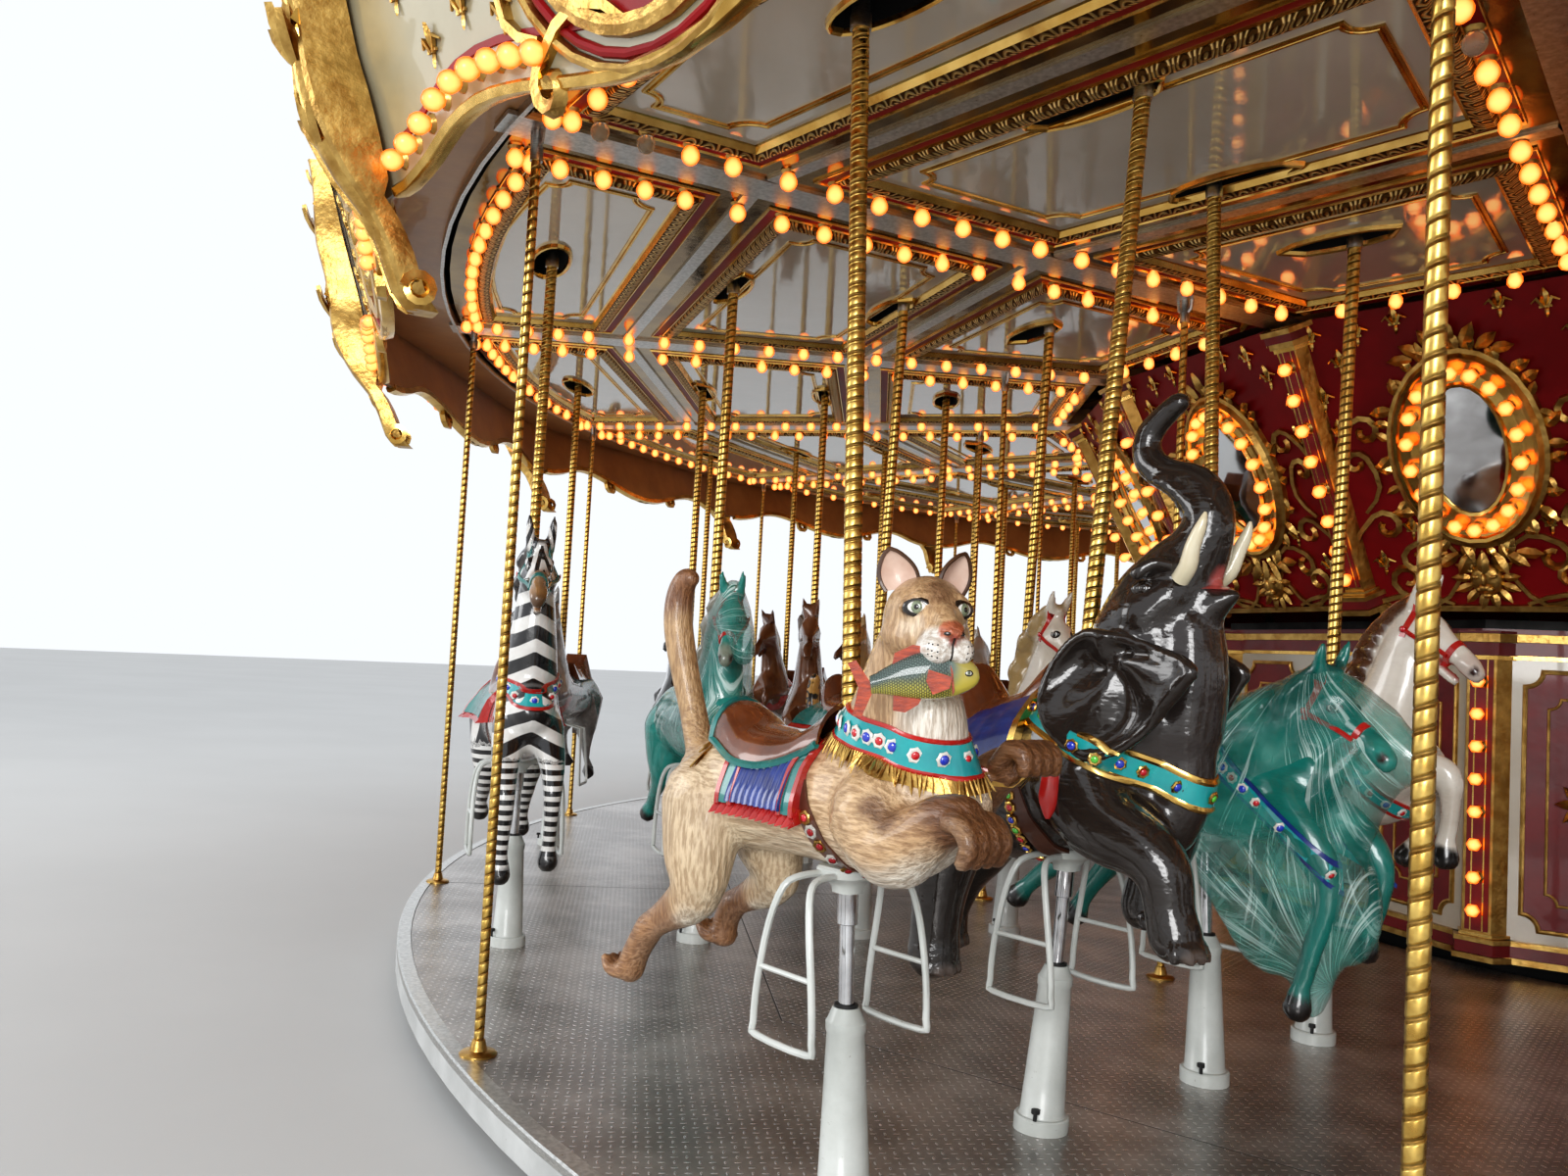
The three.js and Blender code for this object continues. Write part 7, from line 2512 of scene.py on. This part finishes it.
film_wrap(teal_horse, [
    ([(-0.34, 0, 1.03, 0.19), (-0.02, 0, 1.05, 0.20), (0.16, 0, 1.14, 0.19), (0.30, 0, 1.24, 0.15),
      (0.40, 0, 1.30, 0.12)], 0.95),
    ([(0.36, 0, 1.30, 0.125), (0.48, 0, 1.26, 0.11), (0.60, 0, 1.17, 0.095), (0.655, 0, 1.14, 0.08)], 0.8),
    ([(0.56, 0, 1.16, 0.12), (0.46, 0, 1.02, 0.13), (0.40, 0, 0.88, 0.14)], 0.95),
    ([(0.02, 0, 0.94, 0.23), (0.25, 0, 0.86, 0.21), (0.36, 0, 0.72, 0.18), (0.38, 0, 0.60, 0.15),
      (0.37, 0, 0.46, 0.09), (0.37, 0, 0.34, 0.05)], 0.85),
    ([(0.30, 0, 0.86, 0.16), (0.44, 0, 0.74, 0.13), (0.50, 0, 0.62, 0.085), (0.49, 0, 0.54, 0.06)], 1.1),
    ([(-0.06, 0, 0.88, 0.18), (0.10, 0, 0.68, 0.18), (0.24, 0, 0.52, 0.12)], 0.85),
])

# %% Second wrapped horse
wrapped_horse = horse_carving("wrapped_horse", 15, 1, (0.335, 1.55), 42, -20)
skin = wrapped_horse.skinned(0.016, 6, 1, 0.65)
brush = horse_brush(wrapped_horse, skin, (0.03, 0.30, 0.26), (0.25, 0.24, 0.20), (0.30, 0.28, 0.22))
stand_figure(wrapped_horse, brush.keep(), teal_coat, "teal_coat", "wrapped_horse")
kit = Harness(wrapped_horse, trim_red, trim_turquoise, trim_white, jewel_red, jewel_blue, horn_black)
bridle(kit, wrapped_horse, dark=5)
kit.hang()
film_wrap(wrapped_horse, [
    ([(-0.40, 0, 1.01, 0.19), (0.05, 0, 1.02, 0.20), (0.22, 0, 1.15, 0.18), (0.28, 0, 1.35, 0.13),
      (0.32, 0, 1.52, 0.115), (0.34, 0, 1.64, 0.06)], 0.9),
    ([(0.34, 0, 1.52, 0.11), (0.46, 0, 1.44, 0.09), (0.56, 0, 1.36, 0.07)], 0.85),
    ([(0.24, 0, 1.00, 0.18), (0.42, 0, 0.98, 0.14), (0.50, 0, 0.92, 0.10)], 1.0),
], 0.018)

# %% [markdown]
# ## The zebra
# The zebra stands at the edge of the deck in the bay behind. Its stripes are a number stored at each
# vertex, which climbs up the neck and legs and along the barrel, and the shader cuts it into bands.
# %% Zebra
ZEBRA_FORE = [[(0.27, 0.99, 0.10), (0.36, 0.84, 0.072), (0.44, 0.70, 0.052), (0.42, 0.54, 0.040),
               (0.40, 0.44, 0.038)],
              [(0.27, 0.99, 0.10), (0.38, 0.86, 0.070), (0.47, 0.74, 0.050), (0.46, 0.60, 0.038),
               (0.44, 0.50, 0.036)]]
zebra = horse_carving("zebra", 15, 0, (0.30, 1.69), 24, -6, ZEBRA_FORE, mane=0.6, ears=0.15, big=1.08,
                      neck=0.85)
skin = zebra.skinned(0.012, 6, 1, 0.66)
brush = horse_brush(zebra, skin, (0.74, 0.73, 0.70), (0.05, 0.04, 0.035), (0.20, 0.10, 0.035))
for start, end, inner, outer, colour, strength in (
    ((0.20, 0, -0.02), (0.34, 0, -0.02), 0.06, 0.10, (0.30, 0.16, 0.055), 0.9),
    ((0.325, 0, -0.03), (0.34, 0, -0.04), 0.025, 0.05, (0.07, 0.035, 0.02), 0.8),
):
    brush.spray(zebra.pose @ Vector(start), zebra.pose @ Vector(end), inner, outer, colour, strength)
for way in (-1, 1):
    tip = zebra.pose @ Vector((-0.05, 0.048 * way, 0.19))
    brush.spray(tip, tip, 0.03, 0.055, (0.03, 0.025, 0.02))
x, y, z = brush.at.T
front = soft_step(x, -0.02, 0.26)
flank = (x + 0.35 * np.maximum(0, 1.05 - z)) / 0.062
climb = (z + 0.48 * np.abs(y)) / 0.056
brush.band = flank * (1 - front) + climb * front
brush.band = np.where(z < 0.86, z / 0.021, brush.band)
brush.band = np.where(z > 1.62, (np.abs(y) + 0.3 * z) / 0.017, brush.band)
muzzle = brush.near(zebra.pose @ Vector((0.22, 0, -0.02)), zebra.pose @ Vector((0.34, 0, -0.02)), 0.07,
                    0.09)
brush.band = np.where(muzzle > 0.5, 0.0, brush.band)
stand_figure(zebra, brush.keep(), zebra_coat, "zebra_coat", "zebra")
horse_kit(zebra, trim_teal, trim_red, straps=CLOTH, band=((0.16, 0, 1.20), (0.30, 0, 0.95)))

# %% [markdown]
# ## The leopard
# The leopard is carved like the puma, but it stands farther off, so its voxels are larger. Its rosettes
# are drawn by the shader round the cells of a Voronoi pattern.
# %% Leopard
leopard = Carving("leopard", 15, 2)
leopard.form((-0.60, 0, 0.99, 0.12), (-0.45, 0, 0.985, 0.165), (-0.2, 0, 0.98, 0.155), (0.08, 0, 1.0, 0.17),
             (0.26, 0, 1.03, 0.155), (0.32, 0, 1.06, 0.12), wide=0.86)
leopard.form((0.16, 0, 1.07, 0.15), (0.26, 0, 1.20, 0.125), (0.33, 0, 1.31, 0.105), wide=0.9)
leopard.form((-0.58, 0, 1.02, 0.06), (-0.72, 0, 0.98, 0.045), (-0.83, 0, 1.02, 0.042),
             (-0.86, 0, 1.14, 0.042), (-0.83, 0, 1.24, 0.036))
for y, knee, paw in ((-0.11, (0.46, 0.92), (0.57, 0.82)), (0.11, (0.47, 0.98), (0.61, 0.91))):
    leopard.form((0.22, y * 0.8, 0.99, 0.11), (0.34, y, 0.93, 0.085), (knee[0], y, knee[1], 0.062),
                 (paw[0], y, paw[1], 0.056))
    leopard.form((paw[0], y, paw[1], 0.056), (paw[0] + 0.04, y, paw[1] - 0.02, 0.05), fine=True, wide=1.2)
for y, bend, heel, paw in ((-0.11, (-0.47, 0.72), (-0.62, 0.62), (-0.71, 0.53)),
                           (0.11, (-0.42, 0.73), (-0.54, 0.66), (-0.63, 0.59))):
    leopard.form((-0.50, y * 0.8, 0.95, 0.145), (-0.48, y, 0.82, 0.11), (bend[0], y, bend[1], 0.08),
                 (heel[0], y, heel[1], 0.05), (paw[0], y, paw[1], 0.05))
leopard.pose = pose_matrix((0.39, 0, 1.385), -10, 8)
leopard.form((-0.05, 0, 0, 0.088), (0.02, 0, 0.01, 0.09), (0.08, 0, -0.01, 0.066), wide=1.05)
leopard.form((0.07, 0, -0.035, 0.056), (0.14, 0, -0.045, 0.045), wide=1.15)
leopard.form((0.05, 0, 0.04, 0.03), (0.15, 0, -0.005, 0.022), fine=True)
leopard.form((-0.03, 0.062, 0.06, 0.026), (-0.04, 0.075, 0.10, 0.02), (-0.04, 0.08, 0.125, 0.01), fine=True,
             both=True, wide=1.3)
skin = leopard.skinned(0.0145, 6, 1, 0.68)
brush = Airbrush(skin, (0.60, 0.34, 0.10))
brush.lay(soft_step(-brush.normal[:, 2], 0.2, 0.8), (0.80, 0.70, 0.52))
stand_figure(leopard, brush.keep(), leopard_coat, "leopard_coat", "leopard")
kit = Harness(leopard, trim_red, trim_turquoise, trim_white, jewel_red, jewel_blue, leaf_gold,
              saddle_leather, trim_teal, trim_red, strap_leather, horn_black)
NECK = (0.22, 0, 1.16)
line = kit.belt(NECK, (0.45, 0, 0.9), strap(0.03, 0.007), CRIMSON, 48)
jewelled(kit, line, NECK, IVORY, (RUBY, SAPPHIRE), 4)
cloth(kit, 0.99, (-0.46, -0.04), (0.2, 1.5), 0.018, CLOTH, 0.01, 20, 8, 7)
cloth(kit, 0.99, (-0.48, -0.02), (1.42, 1.62), 0.028, BORDER, 0.012, 22, 2, 9)
saddle(kit, (-0.46, -0.08), 0.99, 0.135, HIDE, 0.10, 0.05)
leopard_turn = leopard.pose.to_3x3()
for way in (-1, 1):
    aim = leopard_turn @ Vector((0.06, 0.045 * way, 0.025))
    eye, _ = kit.hit(leopard.pose @ Vector((0.03, 0, 0.0)), aim, 0.3)
    outward = leopard_turn @ Vector((0.85, 0.5 * way, 0.1))
    eye_set(kit, eye - outward * 0.005, outward, 0.013, GILT, IVORY, HORN)
kit.hang()

# %% [markdown]
# ## The pale horse
# It is the plainest of the near horses: the shared forms with nothing changed.
# %% Pale horse
pale_horse = horse_carving("pale_horse", 15, 3)
skin = pale_horse.skinned(0.0165, 6, 1, 0.68)
brush = horse_brush(pale_horse, skin, (0.72, 0.66, 0.56), (0.42, 0.30, 0.14), (0.5, 0.4, 0.34))
stand_figure(pale_horse, brush.keep(), white_coat, "white_coat", "pale_horse")
horse_kit(pale_horse, trim_turquoise, trim_red)
print("near figures ready")

# %% [markdown]
# ## The far horse
# The other fourteen bays repeat one horse. It's carved once and thinned with a Decimate modifier. Its
# mane, hooves, saddle and cloth are different finishes on its faces, picked by where each face lies.
# %% Far horse
FAR_TRIANGLES = 850
pattern = horse_carving("far_pattern", 0, 0)
far_skin = pattern.skinned(0.026, 3, 0, 1.0)
thin = bpy.data.objects.new("thin", far_skin)
scene.collection.objects.link(thin)
less = thin.modifiers.new("less", "DECIMATE")
less.ratio = FAR_TRIANGLES / (len(far_skin.polygons) * 2)
far_horse = bpy.data.meshes.new_from_object(thin.evaluated_get(bpy.context.evaluated_depsgraph_get()))
bpy.data.objects.remove(thin)
HAIR, HOOF, SEAT, SADDLECLOTH, BREAST = range(1, 6)
for face in far_horse.polygons:
    x, y, z = face.center
    crest = min(math.hypot(x - cx + 0.05, z - cz + 0.03) for cx, cz in pattern.crest)
    finish = 0
    if (crest < 0.075 and y < 0.02) or x < -0.68 and z > 0.62:
        finish = HAIR
    if any(math.dist((x, y, z), hoof) < 0.075 for hoof in pattern.hooves):
        finish = HOOF
    if -0.45 < x < 0.0 and z > 0.93:
        finish = SEAT if z > 1.125 and -0.42 < x < -0.05 else SADDLECLOTH
    if abs(0.62 * (x - 0.16) + 0.78 * (z - 1.04)) < 0.035 and x > 0.02 and z > 0.85:
        finish = BREAST
    face.material_index = finish
print("far horse:", len(far_horse.polygons), "faces")

# %% [markdown]
# ## The far figures
# The horse is copied into the groups that share a crank bar, four or five bays to a group, with a
# saddle, a plain pole and its stirrups. The coat and the cloth change from one figure to the next.
# %% Far figures
seat = Piece("far_seat", "turntable")
rows = []
for s in np.linspace(0, 1, 6):
    x = -0.43 + 0.36 * s
    top = 1.17 + 0.11 * (1 - soft_step(s, 0, 0.4)) + 0.05 * soft_step(s, 0.6, 1)
    rows.append([(x, -0.12, 1.11), (x, -0.07, top), (x, 0.07, top), (x, 0.12, 1.11), (x, 0, 1.12)])
seat.skin(rows, caps=True)
far_seat = seat.mesh()
far_coats = [paint("far_white", (0.74, 0.70, 0.62), (0.60, 0.55, 0.47), 0.25, 4.0, 0.8),
             paint("far_chestnut", (0.20, 0.075, 0.028), (0.10, 0.035, 0.014), 0.25, 4.0, 0.8),
             paint("far_grey", (0.36, 0.35, 0.33), (0.16, 0.155, 0.15), 0.25, 11.0, 0.8),
             paint("far_palomino", (0.62, 0.42, 0.18), (0.46, 0.28, 0.10), 0.25, 4.0, 0.8),
             paint("far_black", (0.03, 0.026, 0.024), (0.014, 0.012, 0.011), 0.18, 4.0, 0.9)]
far_hair = paint("far_hair", (0.16, 0.08, 0.035), (0.07, 0.034, 0.016), 0.4, 22.0, 0.4)


# the finishes of a far group follow its five coats
FAR_HAIR, FAR_HOOF, FAR_SADDLE, FAR_BLUE, FAR_RED, FAR_TEAL, FAR_POLE, FAR_ROD, FAR_WHITE = range(5, 14)
half_loop = [(0.09, 0.198, 0.42), (0.105, 0.198, 0.46), (0.05, 0.175, 0.79), (0.03, 0.06, 0.815)]
far_stirrup = [(-x, y, z) for x, y, z in half_loop[::-1]] + half_loop


def far_hanger(spot, piece):
    """A plain pole, rod, yoke and pair of stirrups."""
    twisted_bar(piece, spot, POLE, 0.0, POLE_PITCH, POLE_FOOT, POLE_TOP, 8, False, FAR_POLE)
    lathe(piece, [(0.02, 0.3), (0.02, 0.78)], 8, FAR_ROD, spot, caps=False)
    lathe(piece, [(0.044, 0.775), (0.066, 0.81), (0.066, 0.836)], 8, FAR_WHITE, spot)
    for side in (-1, 1):
        loop = [spot @ Vector((x, side * y, z)) for x, y, z in far_stirrup]
        piece.skin(tube_rings(loop, 0.0095, 4), FAR_WHITE, caps=True)


kinds = np.empty(len(far_horse.polygons), dtype=np.int32)
far_horse.polygons.foreach_get("material_index", kinds)
GROUPS = ((1, 5), (6, 4), (10, 5))
for row, row_name in enumerate(ROW_NAMES):
    for index, (first, bays) in enumerate(GROUPS):
        name = f"{row_name}_figures_{index + 1}"
        piece = Piece(name + "_horses", name, *far_coats, far_hair, horn_black, saddle_leather, trim_blue,
                      trim_red, trim_teal, pole_brass, chrome, post_white, slot="white_coat")
        for bay in range(first, first + bays):
            tone = (bay * 3 + row * 2) % 5
            saddlecloth = FAR_BLUE if (bay + row) % 2 else FAR_TEAL
            swap = np.array([tone, FAR_HAIR, FAR_HOOF, FAR_SADDLE, saddlecloth, FAR_RED], dtype=np.int32)
            far_horse.polygons.foreach_set("material_index", swap[kinds])
            spot = stand(bay, row)
            piece.add(far_horse, spot)
            piece.add(far_seat, spot, FAR_SADDLE)
            far_hanger(spot, piece)
        piece.done(name, sharp=50)
print("far figures:", len(ROW_NAMES) * sum(bays for _, bays in GROUPS))
# %% [markdown]
# ## Finishes for the CAD solids that stay
# The mast, the joists and the sweeps are hardly seen, but each still gets a worked finish. The floor
# is a plain pale stage and isn't part of the ride.
# %% Remaining solids
# the drum's plinth takes the near-black that stands in for shade
shown = {
    "ground_base": dark_steel, "centre_mast": dark_steel, "drum_plinth": void_black,
    "drum_roof": dark_steel, "deck_joists": dark_steel, "sweeps_and_rods": board_back, "roof": canopy,
}
for name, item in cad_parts.items():
    if not item.hide_render:
        item.data.materials.clear()
        item.data.materials.append(shown.get(name, post_white))
print("solids that stay:", sum(not item.hide_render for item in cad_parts.values()))

# %% Floor
floor = bpy.data.meshes.new("floor")
shape = bmesh.new()
bmesh.ops.create_grid(shape, x_segments=1, y_segments=1, size=60)
shape.to_mesh(floor)
shape.free()
floor.materials.append(floor_pale)
ground = bpy.data.objects.new("floor", floor)
ground.location.z = -0.001
scene.collection.objects.link(ground)
print("floor laid")
